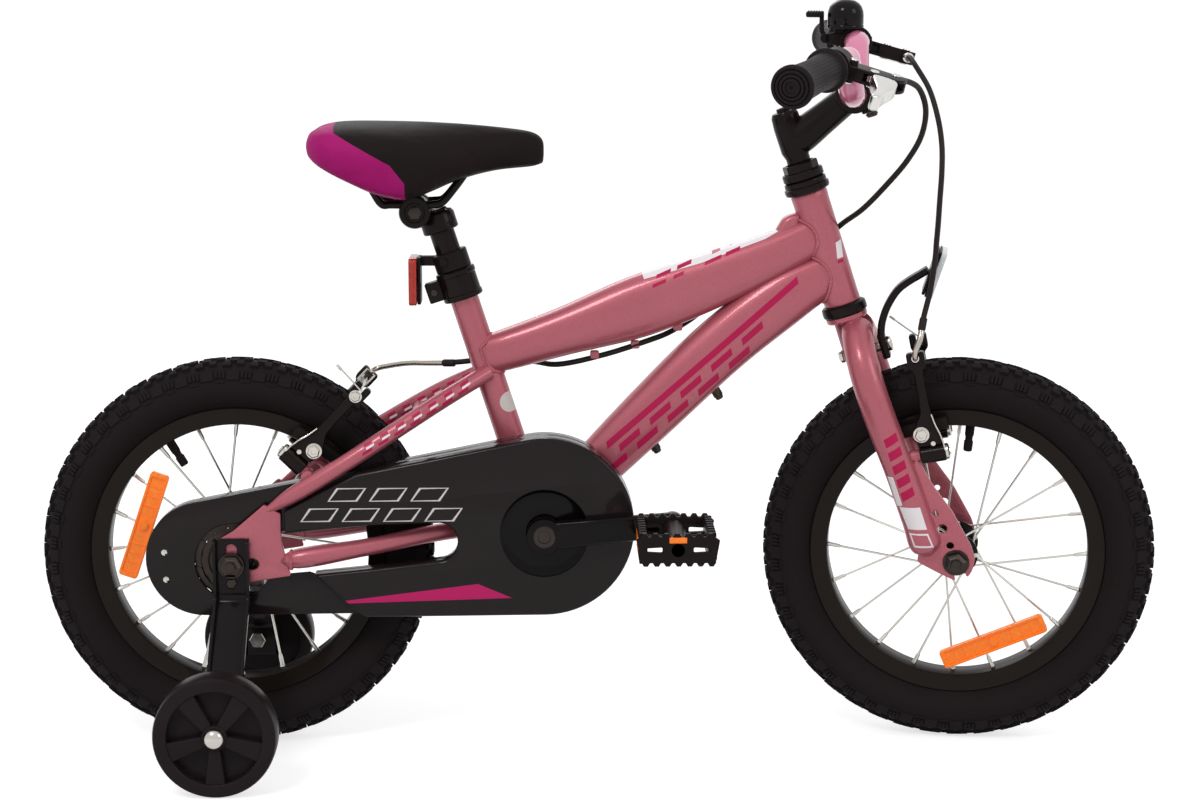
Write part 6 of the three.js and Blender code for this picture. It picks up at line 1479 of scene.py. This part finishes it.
def crank_arm(side):
    """The arm's black shapes, and its steel ones."""
    end = -side * crank_length
    way = (0, side, 0)
    outline = [(0, -12), (-side * 60, -11.2), (end, -10.6), (end, 10.6), (-side * 60, 11.2), (0, 12)]
    boss = [(8.4, 0), (12.6, 0), (14, 1.4), (14, 20), (8.4, 20)]
    bolt_cap = [(0, 0), (9.4, 0), (9.8, 0.5), (9, 1.4), (5.6, 1.8), (5.2, 0.8), (0, 0.8)]
    axle_flats = [(0, 0), (6.6, 0), (7.8, 1), (7.8, 5), (6.6, 5.8), (0, 5.8)]
    black = [
        plate([outline], 11.4, 3.2, at_side(side * 76), 3),
        rod((0, side * 60.4, 0), (0, side * 81.9, 0), 15.8, 1.6, 40),
        turned(boss, (0, side * 40.4, 0), way, 36, ring=True),
        rod((end, side * 70.2, 0), (end, side * 81.8, 0), 11, 1.6, 36),
    ]
    steel = [
        turned(bolt_cap, (0, side * 81.8, 0), way, 32),
        turned(axle_flats, (end, side * 82, 0), way, 6),
        rod((end, side * 86, 0), (end, side * 174, 0), 4.8, 0.6, 20),
    ]
    return black, steel


cover_profile = [
    (16.4, 60.2), (16.4, 61.6), (22, 61.0), (30, 60.9), (35.6, 61.2), (37.6, 62.4), (39.2, 63), (40.4, 62.8),
    (41, 62), (41, 60.6), (40.4, 60.1), (30, 60.1),
]
crank_black = enamel("crank enamel", tint("#0b0708"), 0.14, 0.096, 0.00004, 0.2)
for side_name, side in sides:
    black, steel = crank_arm(side)
    if side < 0:
        black.append(turned(cover_profile, origin, (0, -1, 0), 72, ring=True))
        windows = [disc(polar(40, angle), 8.5, 24) for angle in around(5)]
        steel.append(toothed(ring_teeth, disc((0, 0), 13.8), windows))
    piece(
        "crank_" + side_name, grouped(black, steel), crank_place, [crank_black, dull_steel], "crank", "gloss_plastic",
        "crank_arm_" + side_name,
    )
spindle = rod((0, -59.8, 0), (0, 59.8, 0), 8, 0.8, 8)
piece("crank_spindle", spindle, crank_place, dull_steel, "crank", "steel", "crank_axle", sharp=20)
cup = [(9, 34.4), (19.4, 34.4), (20, 35), (20, 37), (19, 38), (16.4, 38), (15.8, 37), (12, 37), (11.4, 38), (9, 38)]
bearing = together(
    *[turned(cup, origin, (0, side, 0), 16, ring=True) for side in (-1, 1)],
    turned([(9, -34.6), (15.8, -34.6), (15.8, 34.6), (9, 34.6)], origin, leftward, 24, ring=True),
)
piece("crank_bearing", bearing, crank_place, dull_steel, "frame", "steel", "bottom_bracket", sharp=20)

# Pedals: black moulded cages with teeth along their edges, round a barrel on the pedal axle,
# with a small amber reflector in the middle of each long side and in the outer end.
pedal_teeth = 7
pedal_pitch = 64 / pedal_teeth


def toothed_edge(way):
    return [
        (way * (pedal_pitch * (k + share) - 32), way * high)
        for k in range(pedal_teeth) for share, high in ((0.06, 11), (0.26, 13.9), (0.62, 13.9), (0.82, 11))
    ]


def pedal_end(out, thickness):
    outline = [(-34.8, 8), *toothed_edge(1), (34.8, 8), *toothed_edge(-1)]
    slots = [
        eased([(way * 27, -1.6), (way * 13, -2.4), (way * 13, 2.4), (way * 27, 1.6)], 1.4) for way in (-1, 1)
    ]
    return plate([outline, *slots], thickness, 0.7, at_side(out), 1)


barrel = [(5.3, 93), (10.4, 93), (11, 94), (9.6, 98), (9.2, 134), (9.6, 172), (10.4, 176), (5.3, 176)]
for side_name, side in sides:
    place = bike @ Matrix.Translation(crank_turn @ Vector((-side * crank_length, 0, 0)))
    cage = [pedal_end(side * 95.4, 6), pedal_end(side * 174.8, 5.6)]
    for x in (-29, 29):
        cage.append(block((x - 3.6, side * 94, -9), (x + 3.6, side * 176, 9), 1.2))
        for middle in [side * (102 + 9.4 * k) for k in range(8)]:
            for z in (-10.6, 10.6):
                cage.append(block((x - 3.2, middle - 2.4, z - 2.6), (x + 3.2, middle + 2.4, z + 2.6), 0.8))
    cage += [
        turned(barrel, origin, (0, side, 0), 32, ring=True),
        block((-28, side * 132, -4), (28, side * 138, 4), 1.0),
        rod((0, side * 174.6, 0), (0, side * 177.6, 0), 6.4, 0.8, 28),
    ]
    lenses = [block((x - 1.4, side * 116, -5.6), (x + 1.4, side * 154, 5.6), 0.7) for x in (-31.6, 31.6)]
    lenses.append(block((-7.4, side * 176.4, 6), (7.4, side * 177.9, 11), 0.5))
    piece(
        "pedal_cage_" + side_name, grouped(cage, lenses), place, [moulded_black, amber_lens], side_name + "_pedal",
        "black_plastic", "pedal_" + side_name,
    )

# Chain and freewheel: plated links pinned through rollers, round the ring and the sprocket.
freewheel = together(
    toothed(sprocket_teeth, disc((0, 0), 17.4)),
    turned([(17.4, 36.6), (23, 36.6), (24, 37.4), (24, 39.8), (17.4, 39.8)], origin, (0, -1, 0), ring=True),
    turned([(17.4, 43.8), (22.4, 43.8), (23, 44.4), (21, 45.9), (17.4, 45.9)], origin, (0, -1, 0), ring=True),
)
free_place = bike @ Matrix.Translation(rear_axle)
piece("freewheel_body", freewheel, free_place, dull_steel, "freewheel", "dark_steel", "rear_sprocket")


class Belt:
    """A belt's line round two circles, from the front one's top backward."""

    def __init__(self, front, front_radius, rear, rear_radius):
        self.front, self.front_radius = Vector(front), front_radius
        self.rear, self.rear_radius = Vector(rear), rear_radius
        span = self.rear - self.front
        base = math.atan2(span.y, span.x)
        spread = math.acos((front_radius - rear_radius) / span.length)
        self.top, self.low = base - spread, base + spread
        self.straight = math.sqrt(span.length**2 - (front_radius - rear_radius) ** 2)
        self.rear_arc = rear_radius * 2 * spread
        self.length = 2 * self.straight + self.rear_arc + front_radius * (2 * math.pi - 2 * spread)

    def line(self, angle):
        """The ends of the straight part that leaves both circles at an angle."""
        return self.front + polar(self.front_radius, angle), self.rear + polar(self.rear_radius, angle)

    def spot(self, distance):
        distance %= self.length
        if distance < self.straight:
            ahead, behind = self.line(self.top)
            return ahead.lerp(behind, distance / self.straight)
        distance -= self.straight
        if distance < self.rear_arc:
            return self.rear + polar(self.rear_radius, self.top + distance / self.rear_radius)
        distance -= self.rear_arc
        if distance < self.straight:
            ahead, behind = self.line(self.low)
            return behind.lerp(ahead, distance / self.straight)
        return self.front + polar(self.front_radius, self.low + (distance - self.straight) / self.front_radius)

    def height(self, x, angle):
        """How high the straight part at an angle runs at x."""
        ahead, behind = self.line(angle)
        return ahead.y + (behind.y - ahead.y) * (x - ahead.x) / (behind.x - ahead.x)

    def arcs(self, inset=0.0):
        """The front arc and the rear arc, drawn in by an inset."""
        ahead = arc(self.front, self.front_radius - inset, self.low - 2 * math.pi, self.top, 40)
        return ahead, arc(self.rear, self.rear_radius - inset, self.top, self.low, 30)


chain_belt = Belt((-49, 203), pitch_radius(ring_teeth), (-323, 175), pitch_radius(sprocket_teeth))
link_count = 2 * round(chain_belt.length / chain_pitch / 2)
link_end = arc((0, 0), 3.4, math.pi / 2, math.pi * 1.5, 4)
links = []
for k in range(link_count):
    a, b = [chain_belt.spot(chain_belt.length * pins / link_count) for pins in (k, k + 1)]
    reach = (b - a).length
    place = Matrix.Translation((a.x, -chain_out, a.y)) @ Matrix.Rotation(-math.atan2(b.y - a.y, b.x - a.x), 4, "Y")
    line = [*link_end, (reach / 2, -2.4), *[(reach - x, -y) for x, y in link_end], (reach / 2, 2.4)]
    for way in (-1, 1):
        links.append(plate([line], 0.8, 0, place @ at_side(way * (2.2 if k % 2 else 3.3)), 0))
    for half, radius, steps in ((3.9, 1.8, 8), (1.7, 3.2, 10)):
        links.append(rod((a.x, -chain_out - half, a.y), (a.x, -chain_out + half, a.y), radius, 0, steps))
piece("chain_links", together(*links), bike, dull_steel, "frame", "dark_steel", "chain")

# Chain guard: a moulded gloss tray with a rounded rim, stepped in behind the drop-out, with a
# long window for the stay. Its crimson wedge and outlined marks are transfers.
guard_belt = Belt((-49, 208), 79, (-349, 177.5), 51)
front_arc, rear_arc = guard_belt.arcs()
window_end = arc((-142, 195.3), 17, math.pi / 2, -math.pi / 2, 14)
face_line = [
    *front_arc, (-213, guard_belt.height(-213, guard_belt.top)), (-276, 222.5), (-276, 203), (-240, 206.6),
    (-204, 210), *window_end, (-201.9, 171.3), (-250.2, 166.5), (-218, 134.8),
    (-205.5, guard_belt.height(-205.5, guard_belt.low)),
]
hole_arc = arc((-323, 175), 34, math.radians(48.8), math.radians(338.5), 30)
back_line = [
    *rear_arc, (-206, guard_belt.height(-206, guard_belt.low)), (-240, 160), (-256, 165.7), *reversed(hole_arc),
    (-301, 200), (-276, 203.4), (-266, 204.6), (-266, 218), (-214, guard_belt.height(-214, guard_belt.top)),
]


def inset_face(inset):
    """The face's own outline drawn in, for the wall's inner side."""
    shape = bmesh.new()
    dots = [shape.verts.new((x, y, 0)) for x, y in face_line]
    shape.faces.new(dots)
    bmesh.ops.inset_region(shape, faces=shape.faces[:], thickness=inset, use_even_offset=True)
    inner = min(shape.faces, key=lambda one: one.calc_area() if len(one.verts) > 4 else 1e9)
    line = [tuple(v.co.xy) for v in inner.verts]
    shape.free()
    return line


f = Finish("gloss guard plastic")
x, y, z = f.spot().parts()
dust = f.noise(30.0, 4.0)
wedge = inside(x, z, [(-235.6, 140.4), (-77.7, 145.1), (-107.4, 157.8), (-224.1, 143.1)])
mark_line = 2
marks = []
for left, foot in [(-262 + 36 * k, 214) for k in range(4)] + [(-238 + 36 * k, 232) for k in range(3)]:
    corners = [(left, foot), (left + 26, foot), (left + 34, foot + 12), (left + 8, foot + 12)]
    middle = Vector((left + 17, foot + 6))
    small = [Vector(corner) + (middle - Vector(corner)).normalized() * mark_line for corner in corners]
    marks.append(inside(x, z, corners) * (1 - inside(x, z, small)))
outside = y < middle_shift - 0.0655
base = f.over(tint("#171112"), tint("#2a2122"), dust * 0.5)
base = f.over(base, tint("#c41a66"), wedge * outside)
base = f.over(base, tint("#d9d2d2"), either(marks) * outside)
guard_plastic = f.made(
    base_color=base, roughness=dust.range(0.12, 0.24), coat_weight=0.14, coat_roughness=0.04,
    specular_ior_level=0.09, normal=f.noise(160.0, 2.0).bump(0.0001),
)
inner_front, inner_rear = guard_belt.arcs(2)
shell = [
    plate([face_line, disc((-49, 203), 42.5, 64)], 8, 3.4, at_side(-62), 4),
    plate([[*front_arc, *rear_arc], [*inner_front, *inner_rear]], 18.4, 0.4, at_side(-40.2), 1),
    plate([face_line, inset_face(2.4)], 16, 0.4, at_side(-55), 1),
    plate([back_line], 2, 0.6, at_side(-48.6)),
    rod((-298, -47.8, 207), (-298, -55.4, 207), 5, 0.6),
]
rivet = [(0, 0), (2.8, 0), (3.2, 0.4), (2.6, 1.6), (1.2, 2.2), (0, 2.3)]
rivets = [turned(rivet, (x_at, -49.5, z_at), (0, -1, 0), 20) for x_at, z_at in ((-383.4, 183.7), (-382.3, 159.3))]
guard_finishes = [guard_plastic, bright_steel]
piece("guard_shell", grouped(shell, rivets), bike, guard_finishes, "frame", "gloss_plastic", "chain_guard")

# Training wheels: pressed steel channel brackets under the rear axle nuts, a bolt through each
# foot, and hard black plastic wheels with a raised rim and five wedge spokes.
hub_inner = 150.5
sheet_inner = 61.3
foot_inner = hub_inner - 3.3
bracket_black = enamel("bracket enamel", tint("#151011"), 0.22, 0.096, 0.0001)
wheel_plastic = enamel("hard wheel plastic", tint("#1b1516"), 0.36, 0.032, 0.00015, 0.7)


def bracket_line(side, depth):
    outward = min(foot_inner + depth, foot_inner + 3)
    line = [
        (sheet_inner, 150), (sheet_inner, 142), (foot_inner, 66), (foot_inner, 36.2), (outward, 36.2),
        (outward, 66 + depth / 2), (sheet_inner + depth, 142 + depth / 2), (sheet_inner + depth, 150),
    ]
    return eased([(side * out, up) for out, up in line], 2.5)


slot_line = [*arc((-323, 189), 5, 0, math.pi, 12), *arc((-323, 175), 5, math.pi, 2 * math.pi, 12)]
head_line = eased([(-338.8, 148), (-307.2, 148), (-307.2, 198.8), (-338.8, 198.8)], 5)
lip_line = [(0, 148), (9, 148), (9, 196), (4, 198.8), (0, 198.8)]
stop_bolt = [(0, 0), (4.6, 0), (5, 0.6), (5, 2.6), (4, 3.4), (0, 3.4)]
bolt_collar = [(5, -6), (7.4, -6), (8, -5.4), (8, -0.8), (7.4, 0), (5, 0)]
bolt_dome = [(0, 0), (8.6, 0), (9, 0.6), (8.6, 2.2), (6.6, 4.4), (3.4, 5.8), (0, 6)]
trainer_profile = [
    (5.3, -14), (10.2, -14), (11, -13.2), (11, -3), (40.5, -3), (40.5, -13.4), (41.2, -14), (48.6, -14),
    (51.4, -12.4), (52.3, -10), (52.5, 0), (52.3, 10), (51.4, 12.4), (48.6, 14), (41.2, 14), (40.5, 13.4),
    (40.5, 3), (11, 3), (11, 13.2), (10.2, 14), (5.3, 14),
]
trainer_place = bike @ Matrix.Translation((-326.5, 0, 52.5))
bolt_inner = foot_inner - 0.3
bolt_outer = hub_inner + 28.3
for side_name, side in sides:
    way = (0, side, 0)
    channel = [
        plate([head_line, slot_line], 3, 0.5, at_side(side * (sheet_inner + 1.5))),
        upright([bracket_line(side, 3)], 31.6, 0.6, -323),
    ]
    lip = eased([(side * (sheet_inner + out), up) for out, up in lip_line], 2)
    for x_at in (-337.4, -308.6):
        channel += [upright([lip], 2.8, 0.5, x_at), upright([bracket_line(side, 9)], 2.8, 0.5, x_at)]
    small_bolt = turned(stop_bolt, (-323.2, side * (sheet_inner + 3), 159.2), way, 6)
    piece(
        "bracket_channel_" + side_name, grouped(channel, [small_bolt]), bike, [bracket_black, dull_steel], "frame",
        "black_paint", "stabiliser_bracket_" + side_name,
    )
    bolt = together(
        threaded((0, side * (bolt_inner - 6), 0), (0, side * bolt_outer, 0), 4.9),
        turned(bolt_collar, (0, side * bolt_inner, 0), way, 6, ring=True),
        turned(bolt_dome, (0, side * bolt_outer, 0), way, 32),
    )
    name = "stabiliser_bolt_" + side_name
    piece("trainer_bolt_" + side_name, bolt, trainer_place, bright_steel, "frame", "steel", name)
    wheel = [turned(trainer_profile, origin, leftward, 72, ring=True)]
    for angle in around(5, 0.25):
        spoke = plate([eased([(10, -4.6), (41, -8.6), (41, 8.6), (10, 4.6)], 1.4)], 10.6, 1.0, at_side(side * 7.4))
        spoke.transform(Matrix.Rotation(angle, 4, "Y"))
        wheel.append(spoke)
    wheel_place = trainer_place @ Matrix.Translation((0, side * (hub_inner + 14), 0))
    piece(
        "trainer_wheel_" + side_name, together(*wheel), wheel_place, wheel_plastic, side_name + "_trainer",
        "black_plastic", "training_wheel_" + side_name,
    )

# Seat post: a black tube in a split clamp, with a plastic collar that holds the red reflector,
# and a serrated clamp on top that grips the saddle's two steel rails.
seat_place = bike @ Matrix.Translation(seat_foot) @ Matrix.Rotation(-seat_lean, 4, "Y")
ring_profile = [
    (12.9, 209.6), (17, 209.6), (17.9, 210.6), (17.9, 214), (17.2, 214.8), (17.2, 230.6), (17.9, 231.4), (17.9, 235),
    (17, 235.9), (11.4, 235.9), (11.4, 222.4), (12.9, 222.4),
]
clamp_ring = [
    turned(ring_profile, steps=44, ring=True),
    block((-29.6, -6.9, 213.6), (-16, -1.3, 232), 1.4),
    block((-29.6, 1.3, 213.6), (-16, 6.9, 232), 1.4),
]
clamp_shape = grouped(clamp_ring, [rod((-23, -9.8, 222.8), (-23, 9.8, 222.8), 3, 0.6, 20)])
clamp_finishes = [black_enamel, dull_steel]
piece("seat_clamp_ring", clamp_shape, seat_place, clamp_finishes, "frame", "black_paint", "seat_clamp")
post = turned([(0, 118.2), (9.6, 118.2), (11.1, 119), (11.1, 291), (10.2, 292), (0, 292)], steps=36)
piece("seat_post_tube", post, seat_place, black_enamel, "seat", "black_paint", "seat_post")
collar_at = seat_point(244.55)
lens_x = collar_at.x - 38
plate_x = lens_x + 9.8
plate_line = [(-14.8, -37.8), (14.8, -37.8), (14.8, 3.8), (-14.8, 3.8)]
reflector_collar = together(
    collar(11.4, 15.9, 8.2, (0.7, 0.8), collar_at, seat_way, 40),
    block((plate_x, -3.9, collar_at.z - 4.4), (collar_at.x - 12, 3.9, collar_at.z + 4.4), 1),
    upright([eased([(out, collar_at.z + up) for out, up in plate_line], 3)], 3, 0.6, plate_x),
    rod(collar_at + Vector((-6, -17.6, 0)), collar_at + Vector((-6, -14.4, 0)), 3.4, 0.6),
)
piece("reflector_collar", reflector_collar, bike, moulded_black, "seat", "black_plastic", "rear_reflector_bracket")
red_plastic = lens("red lens", tint("#9c1c14"), tint("#d8402c"))
red_outline = eased([(-21.8, -20.9), (21.8, -20.9), (21.8, 20.9), (-21.8, 20.9)], 4)
red_face = together(
    upright([red_outline], 5, 1.2, lens_x + 3.4), upright([red_outline], 2.4, 0.5, lens_x + 6.6),
)
red_place = bike @ Matrix.Translation((0, 0, collar_at.z - 17))
piece("rear_lens", red_face, red_place, red_plastic, "seat", "red_lens", "rear_reflector")
seat_top = seat_point(292)
grip_middle = Vector((seat_top.x - 16, 0, seat_top.z - 0.7))
cheek = [(0, 15), (13.2, 15), (14, 15.8), (14, 24.6), (13.2, 26.8), (9, 26.9), (8.4, 25.4), (0, 25.2)]
cheek_nut = [(0, 25), (5.4, 25), (6, 25.5), (6, 26.4), (5, 26.9), (0, 26.9)]
post_socket = [(11.4, 0), (15, 0), (16, 1), (16, 14), (14.4, 17), (11.4, 18)]
saddle_clamp = grouped(
    [
        rod(grip_middle - Vector((0, 15.2, 0)), grip_middle + Vector((0, 15.2, 0)), 13.2, 1, 36),
        turned(post_socket, seat_point(272.2), seat_way, ring=True),
        block(grip_middle + Vector((-1, -12.8, -6.8)), seat_top + Vector((-2, 12.8, 5.6)), 1.4),
        *[turned(cheek, grip_middle, (0, side, 0)) for side in (-1, 1)],
    ],
    [turned(cheek_nut, grip_middle, (0, side, 0), 6) for side in (-1, 1)],
)
piece("saddle_clamp_body", saddle_clamp, bike, clamp_finishes, "seat", "black_paint", "saddle_clamp")
rail_height = seat_top.z + 6.3
saddle_tail = seat_top.x - 111.8
saddle_length = 212
saddle_depth = 70
saddle_top = seat_top.z + 77.3


def ceiling(x):
    return seat_top.z + 38.3 + 10 * (x - saddle_tail) / saddle_length


rail_shares = [
    (0.24, 1.25, 0), (0.28, 1.12, 0.6), (0.32, 1.02, 1), (0.35, 1, 1), (0.53, 1, 1), (0.56, 0.97, 0.96),
    (0.62, 0.8, 0.55), (0.69, 0.5, 0),
]


def rail_line(side):
    line = []
    for along, out, drop in rail_shares:
        x_at = saddle_tail + saddle_length * along
        high = ceiling(x_at) - 3.8
        line.append((x_at, side * 22 * out, high + (rail_height - high) * drop))
    return line


nose_x, _, nose_z = rail_line(-1)[-1]
rails = bent([*rail_line(-1), (nose_x + 3, 0, nose_z), *reversed(rail_line(1))], 3.5, 8, 4)
piece("saddle_rail_wire", rails, bike, black_enamel, "seat", "dark_steel", "saddle_rails")

# Saddle: foam under grained vinyl drawn tight over a plastic shell, charcoal with a magenta
# rear. The skin is inflated a little over its shell as cloth, so that it sits full.
saddle_shares = [
    (0.006, 0.8, 0.66, 0.42), (0.024, 0.91, 0.57, 0.66), (0.08, 0.975, 0.45, 0.86), (0.18, 0.99, 0.3, 0.96),
    (0.3, 0.975, 0.15, 0.98), (0.41, 0.955, 0.085, 0.91), (0.51, 0.94, 0.165, 0.745), (0.61, 0.925, 0.28, 0.55),
    (0.72, 0.92, 0.37, 0.39), (0.82, 0.915, 0.42, 0.3), (0.91, 0.9, 0.44, 0.26), (0.965, 0.85, 0.46, 0.2),
    (0.99, 0.75, 0.5, 0.11),
]
half_section = [(0.3, 1), (0.62, 0.965), (0.86, 0.84), (0.985, 0.6), (0.99, 0.38), (0.94, 0.12), (0.86, 0)]


def saddle_loop(along, top, under, width):
    """The cushion's section that far along, from its top and under side and its width."""
    low, high = [saddle_top - saddle_depth * (1 - share) for share in (under, top)]
    half = [(saddle_depth * width * out, low + (high - low) * up) for out, up in half_section]
    x_at = saddle_tail + saddle_length * along
    return [(x_at, y, z) for y, z in half] + [(x_at, -y, z) for y, z in reversed(half)]


def saddle_skin():
    """The cushion's outside, drawn through its sections."""
    shape = bmesh.new()
    rings = []
    for shares in smoothed(saddle_shares, 4):
        loop = [shape.verts.new(p) for p in smoothed(saddle_loop(*shares), 3)]
        rings.append([shape.edges.new(pair) for pair in zip(loop, loop[1:] + loop[:1])])
    for one, other in zip(rings, rings[1:]):
        bmesh.ops.bridge_loops(shape, edges=one + other)
    for end in (rings[0], rings[-1]):
        bmesh.ops.contextual_create(shape, geom=end)
    bmesh.ops.recalc_face_normals(shape, faces=shape.faces)
    return shape


def evaluated(thing):
    return bpy.data.meshes.new_from_object(thing.evaluated_get(bpy.context.evaluated_depsgraph_get()))


def blown_up(mesh, voxel, pressure, cap):
    """The mesh as cloth under pressure: its underside is pinned, and no point moves past the cap."""
    pad = placed("pad", mesh)
    even = pad.modifiers.new("even", "REMESH")
    even.mode = "VOXEL"
    even.voxel_size = voxel
    pad.data = evaluated(pad)
    pad.modifiers.clear()
    start = [dot.co.copy() for dot in pad.data.vertices]
    held = pad.vertex_groups.new(name="held")
    held.add([dot.index for dot in pad.data.vertices if dot.normal.z < -0.6], 1.0, "REPLACE")
    cloth = pad.modifiers.new("Cloth", "CLOTH").settings
    cloth.use_pressure = True
    cloth.uniform_pressure_force = pressure
    cloth.effector_weights.gravity = 0
    cloth.vertex_group_mass = "held"
    for count in range(1, cloth_frames + 1):
        bpy.context.scene.frame_set(count)
    blown = evaluated(pad)
    bpy.data.objects.remove(pad)
    bpy.context.scene.frame_set(1)
    for dot, spot in zip(blown.vertices, start):
        move = dot.co - spot
        if move.length > cap:
            dot.co = spot + move * (cap / move.length)
    return blown


f = Finish("saddle vinyl")
x, _, z = f.spot().parts()
soil = f.noise(24.0, 4.0)
rear = [
    inside(x, z, [(-300, 470), (-168, 470), (-168, 508), (-180, 524), (-214, 543), (-300, 591)]),
    inside(x, z, [(-300, 536), (-213, 536), (-231, 559), (-236, 575), (-300, 575)]),
]
charcoal = f.over(tint("#130d0d"), tint("#211a19"), soil)
rose = f.over(tint("#9c0f62"), tint("#b32379"), soil)
vinyl = f.made(
    base_color=f.over(charcoal, rose, either(rear)), roughness=soil.range(0.5, 0.66), specular_ior_level=0.08,
    normal=(f.cells(900.0) * 0.6 + soil * 0.3).bump(0.00025),
)
skin_room = 1.2
cloth_frames = 20
skin = saddle_skin()
skin.normal_update()
for dot in skin.verts:
    dot.co -= dot.normal * skin_room
skin.transform(bike)
cushion_mesh = mesh_of("saddle_cushion", skin)
cushion_mesh = blown_up(cushion_mesh, voxel=0.0045, pressure=9.0, cap=0.005)
cushion = placed("saddle_cushion", cushion_mesh)
cushion_mesh.materials.clear()
cushion_mesh.materials.append(vinyl)
cushion_mesh.shade_smooth()
cushion.modifiers.new("smooth", "SUBSURF").render_levels = 1
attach(cushion, "seat")
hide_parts("saddle")
